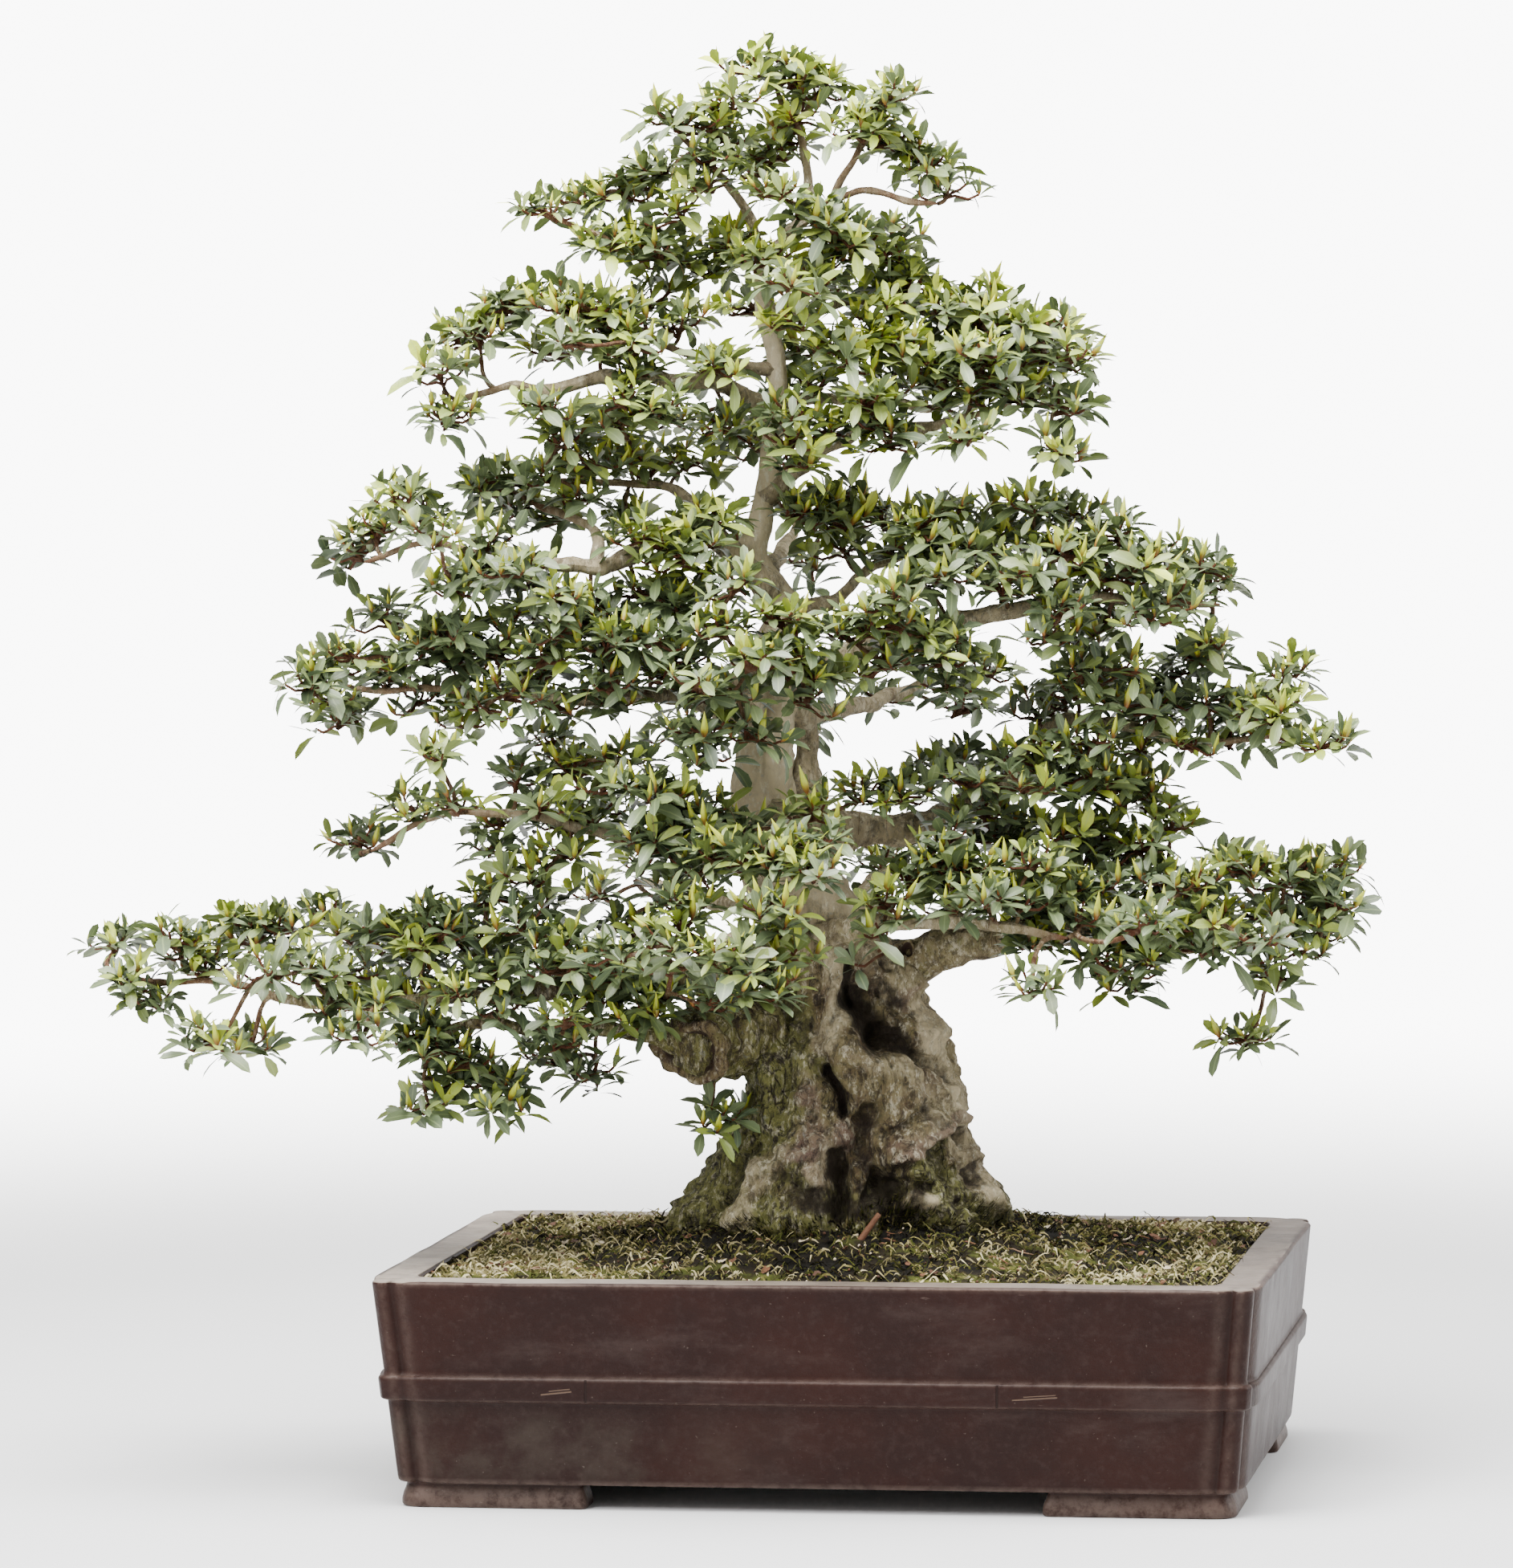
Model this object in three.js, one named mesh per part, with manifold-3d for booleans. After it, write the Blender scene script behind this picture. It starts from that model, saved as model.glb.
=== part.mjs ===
// Satsuki azalea bonsai in an unglazed rectangular pot.
// Millimetres, +Z up. The pot stands on the ground plane, its long side along X and its front towards -Y.
// The tree is laid out in its own frame, whose front is turned a little against the pot.

import * as THREE from "three";
import { mergeVertices } from "three/addons/utils/BufferGeometryUtils.js";
import Module from "manifold-3d";

const wasm = await Module();
wasm.setup();

// ---------------------------------------------------------------- pot
const potWidth = 540;
const potDepth = 385;
const potHeight = 138.5;
const wallTaper = 12; // how far each wall leans in from rim to foot
const wallThickness = 16;
const rimWidth = 27;
const lipDepth = 14;
const floorThickness = 12;
const footHeight = 15;
const footArm = { front: 112, side: 78, width: 24, inset: 6, flare: 2 };
const belt = { bottom: 64.5, top: 81, proud: 3.5 };
const cavityCornerRadius = 14;
const drainHole = { radius: 16, offset: 120 };

// ---------------------------------------------------------------- filling
const clearance = 0.3; // gap kept between pieces that touch
const mossThickness = 8;
const mossEdge = { level: 134.5, fallToRear: 0.02 };
const mound = { rise: 27, spread: 170 };
const screen = { side: 58, thickness: 1.6, opening: 13, pitch: 17, openingsPerSide: 3 };
const clip = { wire: 0.9, leg: 12.5, toe: 30 };

// ---------------------------------------------------------------- tree
const plantingTurn = 9.4; // degrees from the pot's front to the tree's front
const woodGap = 0.35; // gap between a spray's stem and the wood that carries it
const leaf = { length: 20, halfWidth: 4, thickness: 1.4, perTuft: 5 };
const tuftSpacing = { view: 37, depth: 72 };
const hubRadius = 1.5;
const budLength = 9;
const seed = 20417;

// Trunk and limbs: centre line points and radius, [x, y, z, r], from thick end to tip.
const limbPaths = {
  trunk: [[-6, 0, 266, 57], [-5, 2, 285, 49], [-7, 6, 303, 45], [-24, 8, 346, 37], [-47, 2, 394, 29],
    [-54, -2, 447, 15.5], [-46, 2, 496, 14], [-46, 2, 518, 14], [-38, 2, 533, 12.5],
    [-59, 0, 568, 11.5], [-55, 0, 584, 8], [-50, 2, 612, 6], [-42, 0, 674, 6], [-44, 2, 695, 5.5],
    [-50, 2, 716, 5], [-52, 0, 737, 4.5], [-48, 0, 758, 4]],
  trunk_loop: [[-37, 8, 396, 14], [-29, 16, 415, 9], [-25, 20, 435, 6.5], [-25, 18, 453, 6],
    [-30, 12, 470, 8], [-43, 4, 480, 10]],
  apex_left: [[-48, 0, 752, 3.5], [-59, 0, 777, 3], [-102, -12, 831, 2]],
  apex_middle: [[-47, 4, 754, 3.5], [-21, 14, 794, 3], [-24, 14, 817, 2.5], [-42, 8, 859, 2]],
  apex_right: [[-36, 8, 769, 3], [-9, 4, 788, 2.5], [11, -4, 824, 2], [23, -4, 839, 2]],
  apex_far_right: [[-9, 4, 788, 2], [18, -10, 794, 2], [38, -14, 786, 2], [57, -14, 785, 2]],
  top_left: [[-44, 1, 684, 3.5], [-109, -18, 699, 2], [-124, -20, 708, 2]],
  top_right: [[-51, 1, 724, 3.5], [-25, 6, 715, 3], [-6, 10, 724, 2.5], [68, 4, 713, 2]],
  high_left: [[-46, 0, 657, 5.5], [-86, -14, 677, 5], [-105, -18, 675, 4.5], [-123, -22, 681, 4],
    [-147, -26, 681, 4], [-184, -30, 673, 3.5], [-206, -30, 676, 2.5], [-244, -26, 666, 2]],
  high_right: [[-51, 2, 605, 5.5], [-4, -12, 642, 4.5], [18, -14, 652, 4], [44, -14, 649, 3.5],
    [67, -12, 653, 2.5], [95, -8, 661, 2], [117, -4, 678, 2]],
  high_right_rear: [[-44, 0, 665, 4], [16, 46, 666, 3.5], [63, 54, 661, 2.5], [94, 50, 673, 2]],
  upper_left: [[-47, -4, 548, 7], [-72, -20, 572, 6.5], [-90, -30, 583, 5.5], [-109, -38, 586, 5],
    [-137, -48, 569, 5], [-155, -52, 564, 4.5], [-173, -56, 566, 4], [-225, -56, 574, 2.5],
    [-251, -50, 581, 2], [-297, -38, 569, 2]],
  upper_left_top: [[-75, -18, 575, 5], [-104, -8, 610, 3], [-127, 0, 615, 2.5], [-182, 10, 617, 2]],
  upper_left_rear: [[-155, -48, 565, 3.5], [-154, -36, 583, 3], [-196, -8, 605, 2]],
  upper_right: [[-36, 4, 493, 9], [2, -14, 510, 7], [59, -24, 526, 6], [115, -26, 539, 4.5],
    [169, -20, 543, 3], [229, -10, 537, 2]],
  upper_right_top: [[-36, 6, 532, 5.5], [-14, 14, 541, 4], [27, 24, 566, 3], [52, 28, 574, 2]],
  middle_left: [[-48, 0, 466, 8], [-132, -34, 486, 4.5], [-155, -40, 483, 4], [-187, -44, 486, 3],
    [-260, -42, 491, 2], [-290, -38, 489, 2], [-315, -34, 495, 2]],
  middle_left_rear: [[-48, 6, 485, 6], [-109, 56, 497, 4], [-142, 70, 503, 3], [-180, 78, 515, 2],
    [-220, 80, 520, 2]],
  middle_right: [[-37, 10, 391, 12], [1, 24, 399, 9], [36, 30, 398, 8.5], [65, 32, 410, 7],
    [108, 28, 431, 6], [132, 22, 462, 4.5], [159, 16, 464, 4], [214, 4, 450, 2.5], [264, -4, 456, 2]],
  lower_left_upper: [[-60, -6, 380, 7], [-129, -36, 395, 4.5], [-212, -52, 415, 2.5],
    [-256, -48, 412, 2], [-296, -40, 391, 2]],
  low_left: [[-36, -20, 321, 10], [-80, -44, 318, 8.5], [-169, -54, 310, 7], [-304, -42, 298, 4],
    [-332, -38, 299, 3.5], [-391, -26, 312, 2], [-428, -18, 310, 2], [-458, -12, 318, 2]],
  stump_left: [[-51, -10, 275, 14.5], [-81, -26, 274, 13], [-159, -48, 283, 4.5],
    [-195, -58, 282, 3.5], [-228, -64, 287, 3.5], [-253, -66, 279, 2.5], [-262, -66, 263, 2]],
  low_right: [[-6, 4, 301, 17], [61, -8, 325, 11], [118, -20, 336, 8], [222, -28, 327, 4],
    [287, -18, 330, 2]],
  low_right_front: [[-21, -20, 335, 7], [19, -50, 344, 5], [67, -74, 347, 4], [97, -86, 344, 3],
    [130, -92, 337, 2]],
  low_front: [[-31, -24, 328, 7], [-65, -110, 343, 4], [-87, -180, 341, 2]],
  middle_front: [[-46, -18, 413, 5.5], [-21, -130, 385, 2]],
  upper_front: [[-44, -12, 492, 5.5], [-66, -110, 506, 2]],
  low_back: [[0, 30, 324, 10], [8, 90, 345, 8], [40, 250, 367, 2.5]],
  low_back_left: [[-30, 30, 339, 8], [-138, 200, 356, 2.5]],
  middle_back: [[-42, 14, 436, 7], [-80, 170, 464, 2.5]],
  middle_back_right: [[-37, 14, 466, 6.5], [38, 120, 480, 4], [70, 160, 489, 2.5]],
  upper_back: [[-52, 3, 555, 6], [-27, 140, 593, 2]],
  high_back: [[-47, 1, 635, 4], [-77, 105, 665, 2]],
  top_back: [[-46, 1, 698, 3.5], [-26, 84, 739, 2]],
};

// Swellings and hollows of the old stump: centre and half sizes.
const burls = [
  [[-70, -20, 248], [12, 12, 13]],
  [[50, -18, 272], [12, 14, 14]],
  [[42, -40, 214], [16, 12, 18]],
  [[-88, -24, 262], [20, 16, 14]],
];
const hollows = [
  [[7, -56, 273], [21, 13, 16]],
  [[-10, -60, 236], [7, 12, 14]],
  [[24, -74, 162], [13, 16, 20]],
  [[-112, -30, 261], [8, 10, 9]],
  [[-6, -44, 300], [5, 8, 18]],
];

// Shelves of foliage: the middle of each leaf tuft, [x, y, z], and how far the shelf spreads in depth.
const sprays = {
  apex_left: { spread: 24, hubs: [[-60, -10, 870], [-105, -15, 840], [-75, -35, 830], [-85, -30, 800],
    [-115, 15, 810], [-140, -5, 795]] },
  apex_middle: { spread: 22, hubs: [[-40, 20, 876], [-15, -5, 855], [-35, 30, 830], [-45, -30, 795],
    [-55, 35, 810], [-5, -30, 770]] },
  apex_right: { spread: 22, hubs: [[30, -5, 855], [10, -25, 830], [40, 20, 820], [65, -15, 795],
    [50, -5, 810]] },
  apex_left_tip: { spread: 18, hubs: [[-185, -10, 785], [-165, 15, 790], [-145, -25, 765]] },
  crown_left: { spread: 26, hubs: [[-105, -25, 755], [-130, 10, 765], [-75, 30, 765], [-50, -45, 755],
    [-35, -65, 740]] },
  crown_right: { spread: 24, hubs: [[5, 5, 765], [-15, -20, 745], [35, 30, 745], [30, 40, 770]] },
  top_right: { spread: 30, hubs: [[60, -10, 725], [40, 35, 740], [90, 10, 725], [40, -25, 695],
    [80, -30, 700], [10, -30, 705]] },
  top_left: { spread: 0, hubs: [[-10, -45, 700], [-35, -50, 715], [-100, -20, 715], [-80, -40, 690],
    [-120, 10, 730]] },
  high_left_crown: { spread: 40, hubs: [[-160, -35, 725], [-190, -15, 730], [-135, -45, 715],
    [-165, -60, 705]] },
  high_left_tip: { spread: 34, hubs: [[-240, -30, 705], [-250, -45, 685], [-245, -25, 660],
    [-215, -5, 720]] },
  high_left_low: { spread: 30, hubs: [[-185, -50, 665], [-135, -60, 685], [-140, -45, 655],
    [-175, -20, 645], [-80, -45, 650], [-110, -60, 665], [-95, -20, 630]] },
  high_right_core: { spread: 0, hubs: [[-35, -55, 660], [10, -50, 665], [25, -35, 640],
    [-35, -50, 630]] },
  high_right_tip: { spread: 40, hubs: [[75, -25, 645], [55, -35, 680], [90, -20, 680], [135, 0, 700],
    [135, -15, 660], [130, 0, 635], [110, 25, 690]] },
  high_right_back: { spread: 16, hubs: [[65, 50, 695], [100, 60, 705], [120, 50, 670], [30, 60, 680]] },
  upper_left_high: { spread: 44, hubs: [[-120, -15, 625], [-160, 15, 625], [-185, 0, 625],
    [-145, 30, 645], [-225, -5, 615], [-205, -25, 600], [-180, 25, 595]] },
  upper_left_tip: { spread: 44, hubs: [[-275, -40, 610], [-305, -35, 575], [-290, -15, 590],
    [-250, -65, 590]] },
  upper_left_low: { spread: 52, hubs: [[-220, -70, 580], [-240, -55, 555], [-195, -80, 555],
    [-160, -60, 545]] },
  upper_front: { spread: 0, hubs: [[-125, -70, 585], [-85, -40, 595], [-100, -65, 570],
    [-100, -65, 540], [-125, -50, 550], [-80, -95, 530], [-60, -120, 510], [-35, -90, 520],
    [-25, -75, 485]] },
  upper_right_high: { spread: 20, hubs: [[-5, 10, 605], [20, 35, 595], [-5, 0, 575], [-30, -10, 595]] },
  upper_right_crown: { spread: 48, hubs: [[45, -5, 590], [85, -5, 590], [60, -45, 560], [25, -40, 550]] },
  upper_right_mid: { spread: 58, hubs: [[130, 0, 590], [105, -40, 565], [145, -50, 560],
    [120, -50, 520]] },
  upper_right_tip: { spread: 52, hubs: [[180, -10, 570], [225, -10, 550], [200, -45, 545],
    [160, -40, 525]] },
  upper_right_low: { spread: 20, hubs: [[-5, -60, 525], [60, -55, 520], [60, -45, 490], [30, -70, 530]] },
  middle_left_tip: { spread: 48, hubs: [[-330, -35, 500], [-290, -30, 535], [-305, -55, 515],
    [-315, -45, 470]] },
  middle_left_mid: { spread: 60, hubs: [[-275, -60, 510], [-245, -30, 530], [-235, -70, 500],
    [-215, -50, 515], [-250, -60, 455], [-235, -45, 470]] },
  middle_left_near: { spread: 50, hubs: [[-175, -65, 530], [-195, -70, 495], [-145, -75, 495],
    [-140, -50, 525], [-105, -85, 510], [-90, -60, 455], [-90, -100, 485], [-120, -30, 535]] },
  middle_right_tip: { spread: 46, hubs: [[265, -5, 480], [265, -25, 455], [240, 20, 470],
    [290, 0, 455]] },
  middle_right_mid: { spread: 60, hubs: [[205, 5, 495], [225, 15, 515], [195, -30, 465],
    [175, 35, 485]] },
  middle_right_crown: { spread: 60, hubs: [[145, 15, 500], [115, 10, 470], [105, -5, 445],
    [135, -20, 475], [130, 0, 425], [160, 20, 430], [190, -5, 410], [90, 50, 435]] },
  middle_right_near: { spread: 30, hubs: [[35, -5, 425], [65, 20, 440], [10, -25, 425]] },
  left_shelf_mid: { spread: 50, hubs: [[-305, -40, 395], [-270, -60, 420], [-240, -70, 425],
    [-225, -60, 390], [-205, -35, 435]] },
  left_shelf_inner: { spread: 50, hubs: [[-155, -35, 435], [-175, -70, 390], [-130, -60, 430],
    [-185, -15, 455]] },
  front_middle: { spread: 0, hubs: [[-90, -65, 420], [-115, -85, 395], [-80, -110, 390],
    [-50, -135, 395], [-25, -85, 415], [-25, -160, 385]] },
  low_front: { spread: 0, hubs: [[-100, -130, 365], [-80, -190, 340], [-115, -160, 340],
    [-55, -170, 365], [-40, -150, 335], [-60, -200, 315]] },
  low_left_tip: { spread: 50, hubs: [[-460, -10, 330], [-435, -25, 300], [-420, 5, 340],
    [-400, -45, 320]] },
  low_left_outer: { spread: 66, hubs: [[-375, 5, 350], [-395, -40, 285], [-375, -25, 270],
    [-360, -60, 325]] },
  low_left_mid: { spread: 78, hubs: [[-325, -5, 345], [-325, -75, 320], [-300, -60, 290],
    [-295, 25, 320]] },
  low_left_inner: { spread: 84, hubs: [[-260, -20, 355], [-265, -85, 320], [-225, -90, 320],
    [-230, 15, 335]] },
  low_left_near: { spread: 80, hubs: [[-190, -30, 350], [-180, -90, 325], [-145, -75, 340],
    [-150, -105, 315]] },
  low_left_under: { spread: 22, hubs: [[-260, -65, 240], [-265, -80, 280], [-215, -75, 240],
    [-235, -50, 265]] },
  low_left_hanging: { spread: 30, hubs: [[-160, -70, 255], [-175, -100, 295], [-185, -40, 260],
    [-130, -80, 295], [-90, -50, 240], [-105, -70, 305]] },
  low_right_crown: { spread: 20, hubs: [[20, -70, 360], [50, -40, 385], [15, -95, 330],
    [80, -100, 365]] },
  low_right_mid: { spread: 76, hubs: [[100, -5, 385], [115, -65, 355], [105, -90, 315],
    [140, -25, 370]] },
  low_right_outer: { spread: 80, hubs: [[175, 10, 390], [175, -65, 355], [175, -60, 310],
    [210, -20, 370]] },
  low_right_tip: { spread: 62, hubs: [[240, 5, 370], [215, -65, 345], [250, -50, 340], [260, -45, 305],
    [295, -10, 355], [295, -35, 330], [240, -35, 270], [280, 15, 380]] },
  low_back: { spread: 0, hubs: [[20, 170, 372], [60, 205, 350], [-5, 215, 388], [45, 262, 380],
    [80, 250, 395], [10, 130, 335]] },
  low_back_left: { spread: 0, hubs: [[-90, 150, 372], [-130, 205, 368], [-160, 170, 350],
    [-60, 190, 388], [-110, 235, 340]] },
  middle_back: { spread: 0, hubs: [[-75, 130, 472], [-60, 175, 488], [-110, 165, 455], [-30, 190, 455]] },
  middle_back_right: { spread: 0, hubs: [[50, 130, 500], [90, 165, 492], [20, 160, 478],
    [75, 110, 470]] },
  upper_back: { spread: 0, hubs: [[-40, 120, 600], [0, 150, 592], [-70, 145, 575], [-25, 160, 560]] },
  high_back: { spread: 0, hubs: [[-85, 100, 680], [-50, 118, 660], [-110, 92, 655]] },
  top_back: { spread: 0, hubs: [[-30, 78, 750], [-5, 95, 735], [-60, 80, 725]] },
};

// ---------------------------------------------------------------- solids from rings and geometries

// A closed solid from loose vertices and triangle indices.
function solidFrom(positions, triangles) {
  const mesh = new wasm.Mesh({
    numProp: 3,
    vertProperties: new Float32Array(positions),
    triVerts: new Uint32Array(triangles),
  });
  return new wasm.Manifold(mesh);
}

// A closed solid from one of three.js's own geometries.
function solidOf(geometry) {
  const bare = geometry.clone();
  bare.deleteAttribute("normal");
  bare.deleteAttribute("uv");
  const merged = mergeVertices(bare, 1e-4);
  return solidFrom(merged.attributes.position.array, merged.index.array);
}

// Joins rings of equal count, each [[x, y, z], ...] anticlockwise seen from its end, and closes both ends.
function ringSolid(rings, closeEnds) {
  const positions = rings.flat(2);
  const count = rings[0].length;
  const triangles = [];
  for (let level = 0; level + 1 < rings.length; level += 1) {
    for (let i = 0; i < count; i += 1) {
      const a = level * count + i;
      const b = level * count + ((i + 1) % count);
      triangles.push(a, b, b + count, a, b + count, a + count);
    }
  }
  closeEnds(positions, triangles, rings, count);
  return solidFrom(positions, triangles);
}

// Level ends of any outline, triangulated in plan.
function closeLevelEnds(positions, triangles, rings, count) {
  const top = (rings.length - 1) * count;
  const planOf = (ring) => ring.map(([x, y]) => new THREE.Vector2(x, y));
  for (const [a, b, c] of THREE.ShapeUtils.triangulateShape(planOf(rings[0]), [])) {
    triangles.push(a, c, b);
  }
  for (const [a, b, c] of THREE.ShapeUtils.triangulateShape(planOf(rings.at(-1)), [])) {
    triangles.push(top + a, top + b, top + c);
  }
}

// Ends of a round section, as a fan from their middle.
function closeRoundEnds(positions, triangles, rings, count) {
  const top = (rings.length - 1) * count;
  const middleOf = (ring) => [0, 1, 2].map((k) => ring.reduce((sum, p) => sum + p[k], 0) / count);
  const first = positions.length / 3;
  positions.push(...middleOf(rings[0]), ...middleOf(rings.at(-1)));
  for (let i = 0; i < count; i += 1) {
    const next = (i + 1) % count;
    triangles.push(first, next, i, first + 1, top + i, top + next);
  }
}

const stackSolid = (rings) => ringSolid(rings, closeLevelEnds);
const atHeight = (outline, z) => outline.map(([x, y]) => [x, y, z]);

// A round stem along points [x, y, z, r]; every radius grows by `grow`.
function stemSolid(points, sides, grow = 0) {
  const places = points.map(([x, y, z]) => new THREE.Vector3(x, y, z));
  let side = new THREE.Vector3(0, -1, 0);
  const rings = points.map(([, , , radius], i) => {
    const before = places[Math.max(i - 1, 0)];
    const after = places[Math.min(i + 1, places.length - 1)];
    const along = after.clone().sub(before).normalize();
    side = side.clone().addScaledVector(along, -side.dot(along)).normalize();
    const across = along.clone().cross(side);
    const stretch = i === 0 || i === places.length - 1 ? grow : 0;
    const centre = places[i].clone().addScaledVector(along, i === 0 ? -stretch : stretch);
    const ring = [];
    for (let k = 0; k < sides; k += 1) {
      const angle = (2 * Math.PI * k) / sides;
      const reach = (radius + grow) * (1 + knots(angle, i));
      const point = centre.clone().addScaledVector(side, reach * Math.cos(angle));
      point.addScaledVector(across, reach * Math.sin(angle));
      ring.push(point.toArray());
    }
    return ring;
  });
  return ringSolid(rings, closeRoundEnds);
}

// Knobbly bark: a small swelling that turns round the stem from ring to ring.
function knots(angle, ringIndex) {
  return 0.07 * Math.sin(2 * angle + 1.9 * ringIndex) + 0.04 * Math.sin(3 * angle - 2.3 * ringIndex);
}

// A lump or hollow: an egg with the given half sizes.
function eggSolid([x, y, z], [halfX, halfY, halfZ]) {
  const geometry = new THREE.IcosahedronGeometry(1.12, 0);
  geometry.scale(halfX, halfY, halfZ);
  geometry.translate(x, y, z);
  return solidOf(geometry);
}

function meshOf(name, solid, material) {
  const { vertProperties, triVerts } = solid.getMesh();
  const geometry = new THREE.BufferGeometry();
  geometry.setAttribute("position", new THREE.BufferAttribute(vertProperties, 3));
  geometry.setIndex(new THREE.BufferAttribute(triVerts, 1));
  geometry.computeVertexNormals();
  const mesh = new THREE.Mesh(geometry, material);
  mesh.name = name;
  return mesh;
}

// ---------------------------------------------------------------- materials
const finish = (color, roughness) => new THREE.MeshStandardMaterial({ color, roughness, metalness: 0 });
const stoneware = finish(0x4a3431, 0.55);
const soilFinish = finish(0x3b2f26, 0.95);
const mossFinish = finish(0x7d7440, 0.95);
const bark = finish(0x8d7d68, 0.85);
const foliage = finish(0x4d5f33, 0.5);
const netting = finish(0x1c1c1c, 0.5);
const clipWire = new THREE.MeshStandardMaterial({ color: 0x9a8f86, roughness: 0.4, metalness: 0.9 });

// ---------------------------------------------------------------- pot

const wallInset = (z) => (wallTaper * (potHeight - z)) / (potHeight - footHeight);

// One corner of the pot in plan, as [distance in from the corner along the front, distance in from the
// front]: the face ends in a rounded edge and a groove, and a slim lobe set back carries the corner.
const cornerPlan = [
  [25, 0], [20.5, 1.6], [19, 5], [9, 3], [3, 9], [5, 19], [1.6, 20.5], [0, 25],
];

// The pot's outline at one height, anticlockwise from the front right corner.
function potOutline(inset) {
  const a = potWidth / 2 - inset;
  const b = potDepth / 2 - inset;
  const back = [...cornerPlan].reverse();
  return [
    ...cornerPlan.map(([u, v]) => [a - u, v - b]),
    ...back.map(([u, v]) => [a - u, b - v]),
    ...cornerPlan.map(([u, v]) => [u - a, b - v]),
    ...back.map(([u, v]) => [u - a, v - b]),
  ];
}

// A rounded rectangle in plan, with `steps` points on each corner.
function cavityOutline(halfWidth, halfDepth, steps) {
  const r = cavityCornerRadius;
  const corners = [[1, -1, -90], [1, 1, 0], [-1, 1, 90], [-1, -1, 180]];
  return corners.flatMap(([sx, sy, start]) => {
    const points = [];
    for (let i = 0; i < steps; i += 1) {
      const angle = THREE.MathUtils.degToRad(start + (90 * i) / (steps - 1));
      points.push([sx * (halfWidth - r) + r * Math.cos(angle), sy * (halfDepth - r) + r * Math.sin(angle)]);
    }
    return points;
  });
}

// The pot's inner outline `inset` in from its outer face, grown inwards by `gap`.
function innerRing(z, inset, gap = 0) {
  const back = inset + gap;
  return atHeight(cavityOutline(potWidth / 2 - back, potDepth / 2 - back, 3), z);
}

// One foot in plan for the front right corner: two arms of a bracket that meet in a rounded corner.
function footOutline(grow) {
  const { front, side, width, inset } = footArm;
  const x = potWidth / 2 - wallTaper - inset + grow;
  const y = -(potDepth / 2 - wallTaper - inset) - grow;
  return [
    [x - front - grow, y], [x - 9, y], [x - 2.5, y + 2.5], [x, y + 9], [x, y + side + grow],
    [x - width, y + side + grow], [x - width, y + width], [x - front - grow, y + width],
  ];
}

function footSolid(mirrorX, mirrorY) {
  const turned = (outline) => {
    const placed = outline.map(([x, y]) => [x * mirrorX, y * mirrorY]);
    return mirrorX * mirrorY < 0 ? placed.reverse() : placed;
  };
  const sole = turned(footOutline(footArm.flare));
  const neck = turned(footOutline(0));
  return stackSolid([
    atHeight(sole, 0),
    atHeight(sole, footHeight * 0.4),
    atHeight(neck, footHeight + 1),
  ]);
}

function buildPot() {
  const levels = [
    [footHeight, 0], [belt.bottom - 0.8, 0], [belt.bottom, belt.proud], [belt.top - 2, belt.proud],
    [belt.top, 0.4], [potHeight - 1.6, 0], [potHeight, -1.6],
  ];
  let pot = stackSolid(levels.map(([z, proud]) => atHeight(potOutline(wallInset(z) - proud), z)));
  for (const [mirrorX, mirrorY] of [[1, 1], [-1, 1], [-1, -1], [1, -1]]) {
    pot = pot.add(footSolid(mirrorX, mirrorY));
  }
  const underLip = potHeight - lipDepth;
  const cavity = stackSolid([
    innerRing(footHeight + floorThickness, wallTaper + wallThickness),
    innerRing(underLip - 3, wallInset(underLip) + wallThickness),
    innerRing(underLip, rimWidth),
    innerRing(potHeight + 1, rimWidth),
  ]);
  pot = pot.subtract(cavity);
  for (const side of [-1, 1]) {
    const hole = new THREE.CylinderGeometry(drainHole.radius, drainHole.radius, 60, 16);
    hole.rotateX(Math.PI / 2);
    hole.translate(side * drainHole.offset, 0, footHeight);
    pot = pot.subtract(solidOf(hole));
  }
  return pot;
}

// ---------------------------------------------------------------- drain screens and their clips

const screenTop = footHeight + floorThickness + clearance + screen.thickness;

function boxSolid(centre, size) {
  const geometry = new THREE.BoxGeometry(...size);
  geometry.translate(...centre);
  return solidOf(geometry);
}

function buildScreen(side) {
  const x = side * drainHole.offset;
  const level = screenTop - screen.thickness / 2;
  const openings = [];
  const middle = (screen.openingsPerSide - 1) / 2;
  for (let row = 0; row < screen.openingsPerSide; row += 1) {
    for (let column = 0; column < screen.openingsPerSide; column += 1) {
      const centre = [x + (column - middle) * screen.pitch, (row - middle) * screen.pitch, level];
      openings.push(boxSolid(centre, [screen.opening, screen.opening, 10]));
    }
  }
  const sheet = boxSolid([x, 0, level], [screen.side, screen.side, screen.thickness]);
  return sheet.subtract(wasm.Manifold.union(openings));
}

// A wire staple: a bar over the screen, two legs down through the hole, two toes under the pot.
function buildClip(side) {
  const x = side * drainHole.offset;
  const bar = screenTop + clearance + clip.wire;
  const toeLevel = footHeight - clearance - clip.wire;
  const along = (points) => points.map(([dx, z]) => [x + dx, 0, z, clip.wire]);
  return stemSolid(along([
    [-clip.toe, toeLevel], [-clip.leg, toeLevel], [-clip.leg, bar], [clip.leg, bar],
    [clip.leg, toeLevel], [clip.toe, toeLevel],
  ]), 4);
}

// ---------------------------------------------------------------- root flare

// The stump between the soil and the lower trunk: [height, body radius, root flare].
const stumpLevels = [
  [72, 58, 10], [140, 77, 30], [165, 76, 29], [188, 71, 18], [212, 67, 6],
  [240, 62, 0], [266, 57, 0], [290, 48, 0], [320, 41, 0],
];
const stumpLean = (z) => [-3 - 15 * Math.max(0, (z - 266) / 74) ** 2, 8 * Math.max(0, (z - 266) / 74)];
const stumpFlattening = 0.86; // front to back, against side to side
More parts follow.
